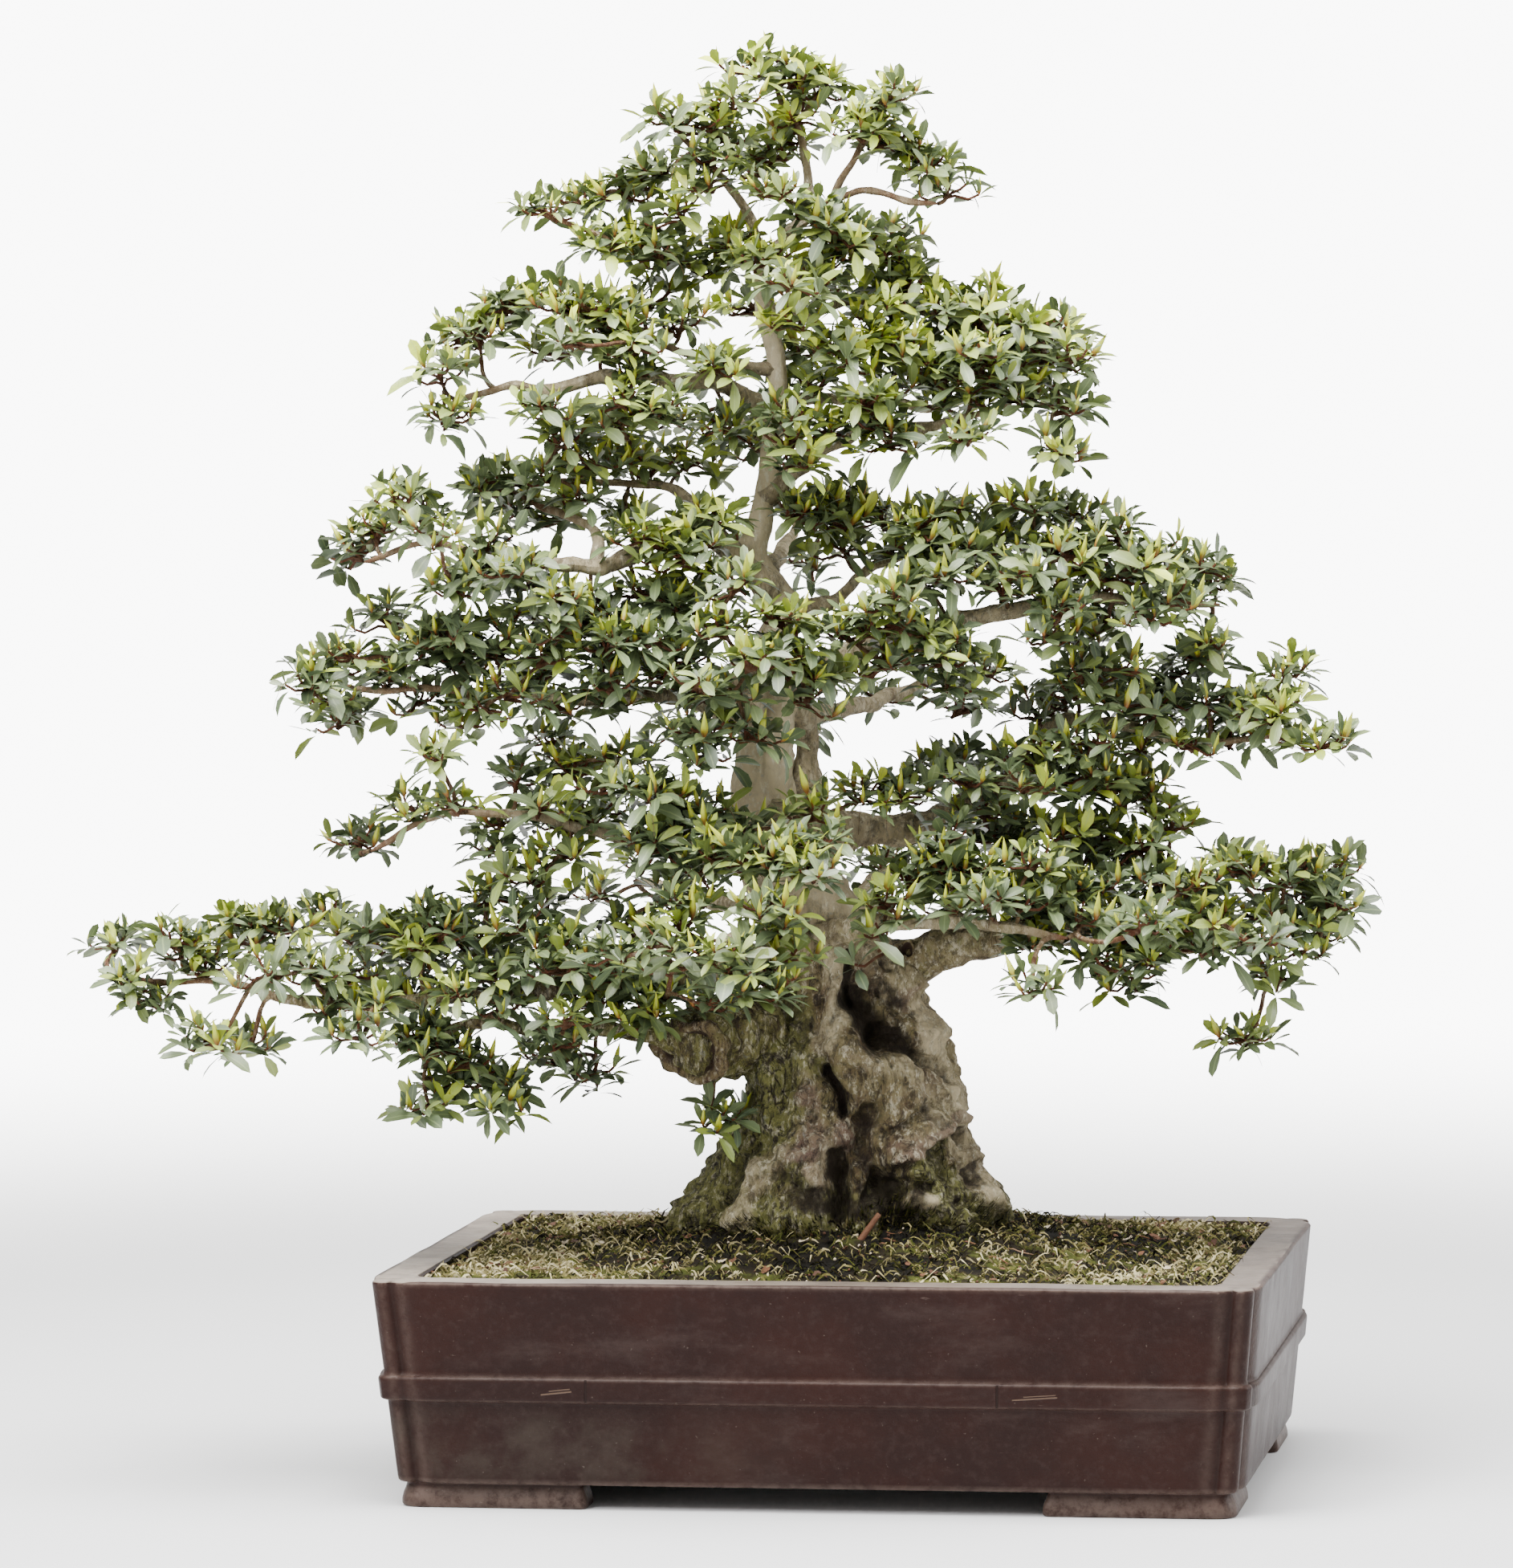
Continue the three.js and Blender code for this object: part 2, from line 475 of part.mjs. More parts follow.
// Surface roots: [direction in degrees, strength].
const roots = [
  [184, 1], [222, 0.75], [256, 0.5], [291, 0.85], [322, 0.6], [357, 1], [38, 0.7], [80, 0.6],
  [118, 0.7], [150, 0.6],
];
const rootWidth = 15;

function rootSwell(degrees) {
  return roots.reduce((sum, [direction, strength]) => {
    const apart = ((degrees - direction + 540) % 360) - 180;
    return sum + strength * Math.exp(-((apart / rootWidth) ** 2));
  }, 0);
}

function stumpSolid(grow = 0, sides = 24) {
  const rings = stumpLevels.map(([z, body, flare], level) => {
    const [leanX, leanY] = stumpLean(z);
    const ring = [];
    for (let i = 0; i < sides; i += 1) {
      const degrees = (360 * i) / sides;
      const angle = THREE.MathUtils.degToRad(degrees);
      const lump = 1.6 * Math.sin(3 * angle + level) + 1.4 * Math.sin(5 * angle - 2 * level);
      const radius = body + flare * rootSwell(degrees) + lump + grow;
      const flat = radius * stumpFlattening;
      ring.push([leanX + radius * Math.cos(angle), leanY + flat * Math.sin(angle), z]);
    }
    return ring;
  });
  const bottom = rings[0].map(([x, y, z]) => [x, y, z - grow]);
  return stackSolid([bottom, ...rings.slice(1)]);
}

// ---------------------------------------------------------------- wood

const sidesFor = (radius) => (radius > 12 ? 8 : radius > 6 ? 5 : 4);

const trunkJoin = 5; // the lower trunk ends and the upper trunk starts at this point of its path
const stems = [
  limbPaths.trunk.slice(0, trunkJoin + 1),
  limbPaths.trunk.slice(trunkJoin - 1),
  ...Object.entries(limbPaths).filter(([name]) => name !== "trunk").map(([, path]) => path),
];

function buildWood(grow = 0) {
  const parts = stems.map((path) => stemSolid(path, sidesFor(path[0][3]), grow));
  parts.push(stumpSolid(grow));
  for (const [centre, halves] of burls) {
    parts.push(eggSolid(centre, halves.map((h) => h + grow)));
  }
  let wood = wasm.Manifold.union(parts);
  if (grow === 0) {
    for (const [centre, halves] of hollows) {
      wood = wood.subtract(eggSolid(centre, halves));
    }
  }
  return wood;
}

// ---------------------------------------------------------------- soil and moss

function groundHeight(x, y) {
  const halfWidth = potWidth / 2 - rimWidth;
  const halfDepth = potDepth / 2 - rimWidth;
  const out = Math.min(1, Math.hypot(x / halfWidth, y / halfDepth));
  const rise = mound.rise * (1 - out ** 4) * Math.exp(-((Math.hypot(x, y) / mound.spread) ** 2));
  return mossEdge.level - mossEdge.fallToRear * y + rise;
}

// The filling's outline inside the rim, drawn in towards the tree by `share`, at ground height plus `lift`.
function groundRing(share, lift) {
  const outline = cavityOutline(
    potWidth / 2 - rimWidth - clearance,
    potDepth / 2 - rimWidth - clearance,
    3,
  );
  const filled = outline.flatMap(([x, y], i) => {
    const [nextX, nextY] = outline[(i + 1) % outline.length];
    const span = Math.hypot(nextX - x, nextY - y);
    const pieces = Math.max(1, Math.round(span / 90));
    return Array.from({ length: pieces }, (_, k) => [
      x + ((nextX - x) * k) / pieces,
      y + ((nextY - y) * k) / pieces,
    ]);
  });
  return filled.map(([x, y]) => {
    const [px, py] = [x * share, y * share];
    return [px, py, groundHeight(px, py) + lift];
  });
}

const mossShares = [1, 0.93, 0.77, 0.52, 0.28];
const soilShares = [1.02, 0.52];
const fillFloor = footHeight + floorThickness + clearance;

// The filling up to ground height plus `lift`, through one ring for each share of the outline.
function filling(shares, lift) {
  const rings = shares.map((share) => groundRing(share, lift));
  const base = atHeight(rings[0], fillFloor + 20);
  return ringSolid([base, ...rings], closeRoundEnds);
}

function buildMoss(hole) {
  return filling(mossShares, 0).subtract(filling(soilShares, -mossThickness)).subtract(hole);
}

function buildSoil(hole) {
  const shoulder = potHeight - lipDepth;
  const bulk = stackSolid([
    innerRing(fillFloor, wallTaper + wallThickness, clearance + 0.1),
    innerRing(shoulder - 5.2, wallInset(shoulder) + wallThickness, clearance + 0.1),
    innerRing(shoulder - 2.2, rimWidth, clearance),
  ]);
  const column = stackSolid([atHeight(groundRing(1, 0), fillFloor + 10), atHeight(groundRing(1, 0), 200)]);
  const crown = filling(soilShares, -mossThickness - clearance).intersect(column);
  let soil = bulk.add(crown).subtract(hole);
  for (const side of [-1, 1]) {
    const under = [side * drainHole.offset, 0, fillFloor];
    const pocket = boxSolid(under, [screen.side + 1, screen.side + 1, 2 * (screen.thickness + 0.6)]);
    const wireRoom = boxSolid(under, [2 * clip.leg + 5, 4, 2 * (screen.thickness + 3)]);
    soil = soil.subtract(pocket).subtract(wireRoom);
  }
  return soil;
}

// ---------------------------------------------------------------- leaf tufts

// Repeatable random numbers from 0 to 1.
function randomFrom(start) {
  let state = start;
  return () => {
    state = (state + 0x6d2b79f5) | 0;
    let t = Math.imul(state ^ (state >>> 15), 1 | state);
    t = (t + Math.imul(t ^ (t >>> 7), 61 | t)) ^ t;
    return ((t ^ (t >>> 14)) >>> 0) / 4294967296;
  };
}

// A tuft in one closed body: a twig that ends in a hub, a whorl of leaves round the hub, a bud on top.
// Blades lie alternately low and steep. Each is broadest past its middle, arches over at its tip and has
// a rib under it.
function tuftSolid({ hub, growth, spin, scale, twig }) {
  const side = new THREE.Vector3(0.31, 0.77, 0.56).cross(growth).normalize();
  const across = growth.clone().cross(side);
  const positions = [];
  const triangles = [];
  const place = (outward, angle, rise) => {
    const point = hub.clone().addScaledVector(growth, rise);
    point.addScaledVector(side, outward * Math.cos(angle));
    point.addScaledVector(across, outward * Math.sin(angle));
    positions.push(...point.toArray());
    return positions.length / 3 - 1;
  };
  const angleOf = (k) => spin + (2 * Math.PI * k) / leaf.perTuft;
  const upper = [];
  const lower = [];
  for (let k = 0; k < leaf.perTuft; k += 1) {
    upper.push(place(hubRadius, angleOf(k), 1));
    lower.push(place(hubRadius, angleOf(k), -1));
  }
  const budTip = place(0, 0, budLength * scale);
  for (let k = 0; k < leaf.perTuft; k += 1) {
    const next = (k + 1) % leaf.perTuft;
    triangles.push(upper[k], upper[next], budTip);
    const tilt = k % 2 === 0 ? 0.12 : 0.85;
    const middle = angleOf(k + 0.5);
    const length = leaf.length * scale * (k % 2 === 0 ? 1 : 0.88);
    const reach = hubRadius + 0.62 * length * Math.cos(tilt);
    const rise = 0.62 * length * Math.sin(tilt);
    const spread = Math.atan2(leaf.halfWidth * scale, reach);
    const left = place(Math.hypot(reach, leaf.halfWidth * scale), middle - spread, rise + 0.4);
    const right = place(Math.hypot(reach, leaf.halfWidth * scale), middle + spread, rise + 0.4);
    const droop = tilt - 0.75;
    const tip = place(
      reach + 0.38 * length * Math.cos(droop),
      middle,
      rise + 0.38 * length * Math.sin(droop),
    );
    const under = leaf.thickness;
    const rib = place(reach + under * Math.sin(tilt), middle, rise - under * Math.cos(tilt));
    const [a, b, c, d] = [upper[k], upper[next], lower[next], lower[k]];
    triangles.push(a, left, right, a, right, b, left, tip, right);
    triangles.push(d, rib, left, d, left, a, c, right, rib, c, b, right, c, rib, d);
    triangles.push(left, rib, tip, right, tip, rib);
  }
  // The three-sided twig runs back from the hub's underside through each [point, radius, direction].
  let ring = lower;
  for (const [centre, radius, along] of twig) {
    const u = side.clone().addScaledVector(along, -side.dot(along)).normalize();
    const v = along.clone().cross(u);
    const nextRing = [0, 1, 2].map((k) => {
      const angle = spin + (2 * Math.PI * k) / 3;
      const point = centre.clone().addScaledVector(u, radius * Math.cos(angle));
      point.addScaledVector(v, radius * Math.sin(angle));
      positions.push(...point.toArray());
      return positions.length / 3 - 1;
    });
    bridgeRings(ring, nextRing, triangles);
    ring = nextRing;
  }
  triangles.push(ring[0], ring[2], ring[1]);
  return solidFrom(positions, triangles);
}

// Joins an upper ring to a lower ring of its own count, both starting at the same angle.
function bridgeRings(upper, lower, triangles) {
  let i = 0;
  let j = 0;
  while (i < upper.length || j < lower.length) {
    const a = upper[i % upper.length];
    const b = lower[j % lower.length];
    if (i / upper.length <= j / lower.length && i < upper.length) {
      triangles.push(a, b, upper[(i + 1) % upper.length]);
      i += 1;
    } else {
      triangles.push(a, b, lower[(j + 1) % lower.length]);
      j += 1;
    }
  }
}

// ---------------------------------------------------------------- sprays

// The nearest point on any of the stem segments { from, to, radius }, measured from the stem's surface.
function nearestOn(segments, point) {
  const line = new THREE.Line3();
  let best = null;
  for (const { from, to, radius } of segments) {
    line.set(from, to);
    const candidate = line.closestPointToPoint(point, true, new THREE.Vector3());
    const distance = candidate.distanceTo(point) - radius;
    if (best === null || distance < best.distance) {
      best = { distance, point: candidate, radius };
    }
  }
  return best;
}

const woodSegments = stems.flatMap((path) => path.slice(1).map((end, i) => ({
  from: new THREE.Vector3(...path[i]),
  to: new THREE.Vector3(...end),
  radius: Math.min(path[i][3], end[3]),
})));

// One tuft that reaches from a stem to `hub`. Its skeleton starts clear of that stem.
function growTuft(carrier, hub, random, thick, hop) {
  const root = carrier.point;
  const run = hub.clone().sub(root);
  const outward = run.clone().setZ(run.z * 0.5).normalize();
  const growth = outward.multiplyScalar(0.75).add(new THREE.Vector3(0, 0, 0.62)).normalize();
  const bend = root.clone().lerp(hub, 0.6).addScaledVector(growth, -0.14 * run.length());
  bend.z += hop;
  const rise = bend.clone().sub(root);
  const twig = [
    [bend, 1.2, hub.clone().sub(bend).normalize()],
    [root, Math.min(thick, carrier.radius * 0.8), rise.clone().normalize()],
  ];
  const solid = tuftSolid({
    hub,
    growth,
    spin: random() * 2 * Math.PI,
    scale: 0.92 + 0.2 * random(),
    twig,
  });
  const clearOfStem = Math.min(0.9, (carrier.radius + 3) / rise.length());
  const start = root.clone().addScaledVector(rise, clearOfStem);
  return {
    solid,
    segments: [{ from: start, to: bend, radius: 1.4 }, { from: bend, to: hub, radius: 1.2 }],
  };
}

// Tufts of one spray may share a twig; the later tries let their leaves touch a little as well.
const ownOverlap = (attempt) => 6 + attempt;

const boxesMeet = (a, b, gap) => [0, 1, 2].every(
  (k) => a.min[k] - gap < b.max[k] && b.min[k] - gap < a.max[k],
);

// Grows every spray in turn; a tuft that would touch another spray or the wood is turned or shifted.
function buildSprays(roomyWood) {
  const random = randomFrom(seed);
  const placed = [];
  const hubsTaken = [];
  const built = [];
  let order = 0;
  for (const [name, { spread, hubs }] of Object.entries(sprays)) {
    const own = [];
    const skeleton = [];
    const wanted = hubs.map(([x, y, z]) => {
      order += 1;
      const depth = spread * (2 * ((order * 0.618) % 1) - 1);
      return new THREE.Vector3(x, y + depth, z + 0.055 * depth);
    });
    const heart = wanted.reduce((sum, p) => sum.add(p), new THREE.Vector3()).divideScalar(wanted.length);
    wanted.sort((a, b) => a.distanceTo(heart) - b.distanceTo(heart));
    for (const target of wanted) {
      const crowded = hubsTaken.some((taken) => (
        Math.hypot(taken.x - target.x, taken.z - target.z) < tuftSpacing.view
        && Math.abs(taken.y - target.y) < tuftSpacing.depth
      ));
      for (let attempt = 0; !crowded && attempt < 18; attempt += 1) {
        const shift = 3 + attempt % 7;
        const hub = target.clone().add(new THREE.Vector3(
          shift * (2 * random() - 1),
          shift * (2 * random() - 1),
          shift * (2 * random() - 1),
        ));
        const first = own.length === 0;
        const carrier = nearestOn(first ? woodSegments : skeleton, hub);
        const hop = 3 * Math.max(0, attempt - 6);
        const { solid, segments } = growTuft(carrier, hub, random, first ? 2.4 : 1.5, hop);
        const box = solid.boundingBox();
        const meetsOthers = placed.some((other) => (
          boxesMeet(box, other.box, 0.4) && solid.minGap(other.solid, 0.4) < 0.3
        ));
        if (meetsOthers) {
          continue;
        }
        const meetsOwn = own.some((other) => (
          boxesMeet(box, other.box, 0) && solid.intersect(other.solid).volume() > ownOverlap(attempt)
        ));
        if (meetsOwn) {
          continue;
        }
        const cut = solid.intersect(roomyWood);
        const allowed = first ? 1 : 0;
        if (cut.isEmpty() ? allowed === 1 : allowed === 0 || cut.decompose().length > 1) {
          continue;
        }
        own.push({ solid, box });
        skeleton.push(...segments);
        hubsTaken.push(hub);
        break;
      }
    }
    placed.push(...own);
    if (own.length > 0) {
      const whole = wasm.Manifold.union(own.map(({ solid }) => solid)).subtract(roomyWood);
      const bodies = whole.decompose().sort((a, b) => b.volume() - a.volume());
      built.push([name, bodies[0]]);
    }
  }
  return built;
}

// ---------------------------------------------------------------- assembly

const group = new THREE.Group();
const planting = new THREE.Group();
planting.rotation.z = THREE.MathUtils.degToRad(plantingTurn);
group.add(planting);

const hole = stumpSolid(woodGap).rotate([0, 0, plantingTurn]);
group.add(meshOf("pot", buildPot(), stoneware));
group.add(meshOf("soil", buildSoil(hole), soilFinish));
group.add(meshOf("moss", buildMoss(hole), mossFinish));
for (const [word, side] of [["left", -1], ["right", 1]]) {
  group.add(meshOf(`drain_screen_${word}`, buildScreen(side), netting));
  group.add(meshOf(`screen_clip_${word}`, buildClip(side), clipWire));
}
planting.add(meshOf("trunk", buildWood(), bark));
for (const [name, solid] of buildSprays(buildWood(woodGap))) {
  planting.add(meshOf(`spray_${name}`, solid, foliage));
}

// The part's origin lies on the ground under the middle of its box.
group.updateMatrixWorld(true);
const middle = new THREE.Box3().setFromObject(group, true).getCenter(new THREE.Vector3());
group.position.set(-middle.x, -middle.y, 0);
group.updateMatrixWorld(true);

export default group;
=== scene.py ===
"""Satsuki azalea bonsai in a rectangular stoneware pot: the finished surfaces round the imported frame.

The makers work in millimetres. The pot's makers use the pot's axes (x to the right of its front, y to its
rear, z up from the soles of its feet). The tree's makers use the tree's axes, which share the pot's centre
and height but are turned by the angle at which the tree is planted. Placement turns both into metres.
"""

from __future__ import annotations

import logging
import math
from dataclasses import dataclass, field
from enum import Enum, IntEnum
from typing import Callable

import bpy
import numpy as np
from mathutils import Matrix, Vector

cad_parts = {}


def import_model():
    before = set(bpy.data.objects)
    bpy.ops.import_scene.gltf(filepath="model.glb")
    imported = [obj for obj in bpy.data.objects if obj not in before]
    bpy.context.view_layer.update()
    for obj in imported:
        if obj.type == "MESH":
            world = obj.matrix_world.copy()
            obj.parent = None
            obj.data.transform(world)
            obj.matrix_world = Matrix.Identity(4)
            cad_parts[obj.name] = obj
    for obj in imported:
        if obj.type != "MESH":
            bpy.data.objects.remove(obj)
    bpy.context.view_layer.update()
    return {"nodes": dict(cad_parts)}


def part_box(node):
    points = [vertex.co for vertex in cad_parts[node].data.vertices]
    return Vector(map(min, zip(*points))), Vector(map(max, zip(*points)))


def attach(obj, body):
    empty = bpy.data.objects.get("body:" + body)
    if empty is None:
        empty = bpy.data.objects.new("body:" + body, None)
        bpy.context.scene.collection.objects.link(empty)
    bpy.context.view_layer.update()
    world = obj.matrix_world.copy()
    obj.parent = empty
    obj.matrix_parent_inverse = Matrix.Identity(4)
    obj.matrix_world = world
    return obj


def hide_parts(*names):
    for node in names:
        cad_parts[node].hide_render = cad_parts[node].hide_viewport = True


log = logging.getLogger("bonsai")
Array = np.ndarray
Colour = tuple[float, float, float]
Point = tuple[float, float, float]
Socket = bpy.types.NodeSocket
Material = bpy.types.Material
Piece = bpy.types.Object
MM = 0.001  # metres in a millimetre
TAU = 2.0 * math.pi  # one whole turn
UP = np.array([0.0, 0.0, 1.0])
LEVEL = np.array([1.0, 1.0, 0.0])  # flattens a point onto the ground
GOLDEN_ANGLE = math.radians(137.5)
GOLDEN_SHARE = 0.618


class Seed(IntEnum):
    """Where each noise and each random draw starts. Fields of vectors also use the numbers that follow."""

    WALL_SWELL = 5
    WALL_GRAIN = 6
    FOLIAGE = 7
    RIM_WAVE = 9
    FOOT = 11
    CUSHIONS = 21
    CLUMPS = 22
    SUNK_EDGE = 27
    MOSS_STRETCHES = 31
    MOSS_PATCHES = 32
    SHOOTS = 41
    SHOOT_SPOTS = 42
    SHOOT_LENGTH = 45
    CLIMBERS = 51
    CLIMBER_PATCHES = 53
    CLIMBER_GAPS = 54
    SCRAPS = 61
    SCRAP_SPOTS = 62
    GRAINS = 71
    GRAIN_SPOTS = 72
    STICKS = 81
    STICK_SPOTS = 82
    STICK_BEND = 83
    STROKE_SWAY = 91
    STROKE_JITTER = 93
    PLATES = 101
    LUMPS = 102
    CRUMBS = 103
    BARK_PATCHES = 111
    LIMB_BEND = 121
    LIMB_RELIEF = 124
    LIMB_STRIPES = 125
    CALLUS = 131
    FRESH_PATCHES = 141
    TWIG_KNOBS = 151
    TWIG_BEND = 152


# ---------------------------------------------------------------- places and numbers


@dataclass(frozen=True)
class Placement:
    """Where the pot stands in the frame, and how the tree is turned in it.

    Attributes:
        centre: The pot's middle in the frame, in millimetres.
        turn: The angle from the pot's front to the tree's front, in radians.
    """

    centre: tuple[float, float]
    turn: float = math.radians(9.4)

    @classmethod
    def from_frame(cls) -> Placement:
        """Reads the pot's middle from its box in the frame."""
        low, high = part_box("pot")
        return cls(((low[0] + high[0]) / 2 / MM, (low[1] + high[1]) / 2 / MM))

    def pot(self, points: Array) -> Array:
        """Points in the pot's axes, as metres in the frame."""
        return (points + np.array([*self.centre, 0.0])) * MM

    def tree(self, points: Array) -> Array:
        """Points in the tree's axes, as metres in the frame."""
        return self.pot(self.tree_to_pot(points))

    def tree_to_pot(self, points: Array) -> Array:
        """Points in the tree's axes, in the pot's axes.

        Args:
            points: Points with xyz last.

        Returns:
            The turned points.
        """
        cosine, sine = math.cos(self.turn), math.sin(self.turn)
        x, y, z = points[..., 0], points[..., 1], points[..., 2]
        return np.stack([x * cosine - y * sine, x * sine + y * cosine, z], axis=-1)


def unit(vectors: Array) -> Array:
    """Vectors of length one in the same directions."""
    return vectors / np.maximum(np.linalg.norm(vectors, axis=-1, keepdims=True), 1e-9)


def ease(values: Array, low: float, high: float) -> Array:
    """0 below low and 1 above high, with the curve 3t^2 - 2t^3 between them."""
    part = np.clip((values - low) / (high - low), 0.0, 1.0)
    return part * part * (3.0 - 2.0 * part)


def lattice_noise(points: Array, cell: float, seed: int) -> Array:
    """Smooth noise from -1 to 1.

    Each corner of a cubic lattice has a scrambled value of its own. A point takes the values of the eight
    corners round it, weighted along each axis by 3t^2 - 2t^3.

    Args:
        points: Array of points with x, y and z last.
        cell: Side of a lattice cube.
        seed: Chooses the pattern.

    Returns:
        One value for each point.
    """
    scaled = points / cell
    base = np.floor(scaled).astype(np.int64)
    part = scaled - base
    fade = part * part * (3.0 - 2.0 * part)
    total = np.zeros(points.shape[:-1])
    for corner in range(8):
        step = np.array([corner & 1, (corner >> 1) & 1, corner >> 2])
        x, y, z = np.moveaxis(base + step, -1, 0)
        key = (x * 73856093) ^ (y * 19349663) ^ (z * 83492791) ^ (seed * 668265263)
        key = ((key ^ (key >> 13)) * 1274126177) & 0x7FFFFFFF
        key = ((key ^ (key >> 11)) * 1103515245) & 0x7FFFFFFF
        value = ((key >> 8) & 0xFFFF) / 32767.5 - 1.0
        total += value * np.prod(np.where(step == 1, fade, 1.0 - fade), axis=-1)
    return total


def rough_noise(points: Array, cell: float, seed: int, octaves: int = 3) -> Array:
    """Sum of lattice noises, each of half the cell and half the strength of the one before."""
    return sum(lattice_noise(points, cell / 2**k, seed + k) / 2**k for k in range(octaves))


def noise_vectors(points: Array, cell: float, seed: int, count: int = 3) -> Array:
    """Vectors of `count` lattice noises, one seed after another."""
    return np.stack([lattice_noise(points, cell, seed + k) for k in range(count)], axis=-1)


def bearing(angle: Array) -> Array:
    """Level directions of length one: (cos a, sin a, 0)."""
    return np.stack([np.cos(angle), np.sin(angle), np.zeros_like(angle)], axis=-1)


def smooth_table(at: Array, keys: Array, values: Array) -> Array:
    """Values of a table between its keys, on cubic curves.

    The slope at each key is the mean slope over its two neighbours, so the curve runs through every value
    without a kink.

    Args:
        at: Where to read the table.
        keys: Rising keys of the table.
        values: One value, or one row of values, for each key.

    Returns:
        The values at `at`, held level beyond the ends.
    """
    values = values if values.ndim > 1 else values[:, None]
    slope = np.gradient(values, keys, axis=0)
    place = np.clip(np.searchsorted(keys, at) - 1, 0, len(keys) - 2)
    gap = (keys[place + 1] - keys[place])[..., None]
    t = np.clip((at - keys[place])[..., None] / gap, 0.0, 1.0)
    start, end = values[place], values[place + 1]
    curve = (2 * t**3 - 3 * t**2 + 1) * start + (t**3 - 2 * t**2 + t) * gap * slope[place]
    curve = curve + (3 * t**2 - 2 * t**3) * end + (t**3 - t**2) * gap * slope[place + 1]
    return curve[..., 0] if curve.shape[-1] == 1 else curve


def along_path(points: Array, spacing: float) -> Array:
    """Points on a smooth curve through given points, evenly spaced by their running length.

    Args:
        points: The points passed through, one row each; further columns, such as a radius, go along.
        spacing: Length between two new points.

    Returns:
        The new rows.
    """
    steps = np.linalg.norm(np.diff(points[:, :3], axis=0), axis=1)
    run = np.concatenate([[0.0], np.cumsum(steps)])
    count = max(3, int(run[-1] / spacing) + 1)
    return smooth_table(np.linspace(0.0, run[-1], count), run, points)


def frames_along(centres: Array) -> tuple[Array, Array, Array]:
    """Directions along a path or a batch of paths, and two directions across each.

    Args:
        centres: Points along each path, in the last two axes.

    Returns:
        Direction along, direction across, and the direction at right angles to both, at each point.
    """
    along = unit(np.gradient(centres, axis=-2))
    chord = unit(centres[..., -1:, :] - centres[..., :1, :])
    helper = np.where(np.abs(chord[..., 2:]) > 0.8, [[1.0, 0.2, 0.0]], [[0.15, 0.1, 1.0]])
    across = unit(np.cross(np.broadcast_to(helper, along.shape), along))
    return along, across, np.cross(along, across)


def tube_grid(centres: Array, radii: Array, sides: int) -> Array:
    """Rings carried along a path or a batch of paths.

    A point is the path's point plus its radius times (across cos a + other sin a), with the angle a running
    once round.

    Args:
        centres: Path points, in the last two axes.
        radii: Radius at each path point, or at each path point and side.
        sides: Points in a ring.

    Returns:
        Points with the axes (..., path point, side, xyz).
    """
    _, across, other = frames_along(centres)
    angle = TAU * np.arange(sides) / sides
    spokes = across[..., None, :] * np.cos(angle)[:, None] + other[..., None, :] * np.sin(angle)[:, None]
    reach = radii[..., None] if radii.ndim == centres.ndim else radii[..., None, None]
    return centres[..., None, :] + reach * spokes


# ---------------------------------------------------------------- meshes


def grid_quads(rows: int, columns: int, wrap: bool) -> Array:
    """Quads between the points of a grid, with the last column joined to the first if it wraps.

    Args:
        rows: Rows of points.
        columns: Columns of points.
        wrap: Whether the last column is joined to the first.

    Returns:
        Four point numbers for each quad.
    """
    row = np.arange(rows - 1)[:, None]
    column = np.arange(columns if wrap else columns - 1)[None, :]
    after = (column + 1) % columns
    corners = [row * columns + column, row * columns + after]
    corners += [(row + 1) * columns + after, (row + 1) * columns + column]
    return np.stack(np.broadcast_arrays(*corners), axis=-1).reshape(-1, 4)


def repeat_faces(faces: Array, count: int, points_each: int) -> Array:
    """The faces of one shape, repeated for `count` shapes that follow each other in the point list."""
    shift = (np.arange(count) * points_each)[:, None, None]
    return (faces[None] + shift).reshape(-1, faces.shape[1])


def set_value(mesh: bpy.types.Mesh, name: str, values: Array) -> None:
    """Gives a mesh one value per point under a name."""
    layer = mesh.attributes.new(name, "FLOAT", "POINT")
    layer.data.foreach_set("value", values.astype(np.float32))


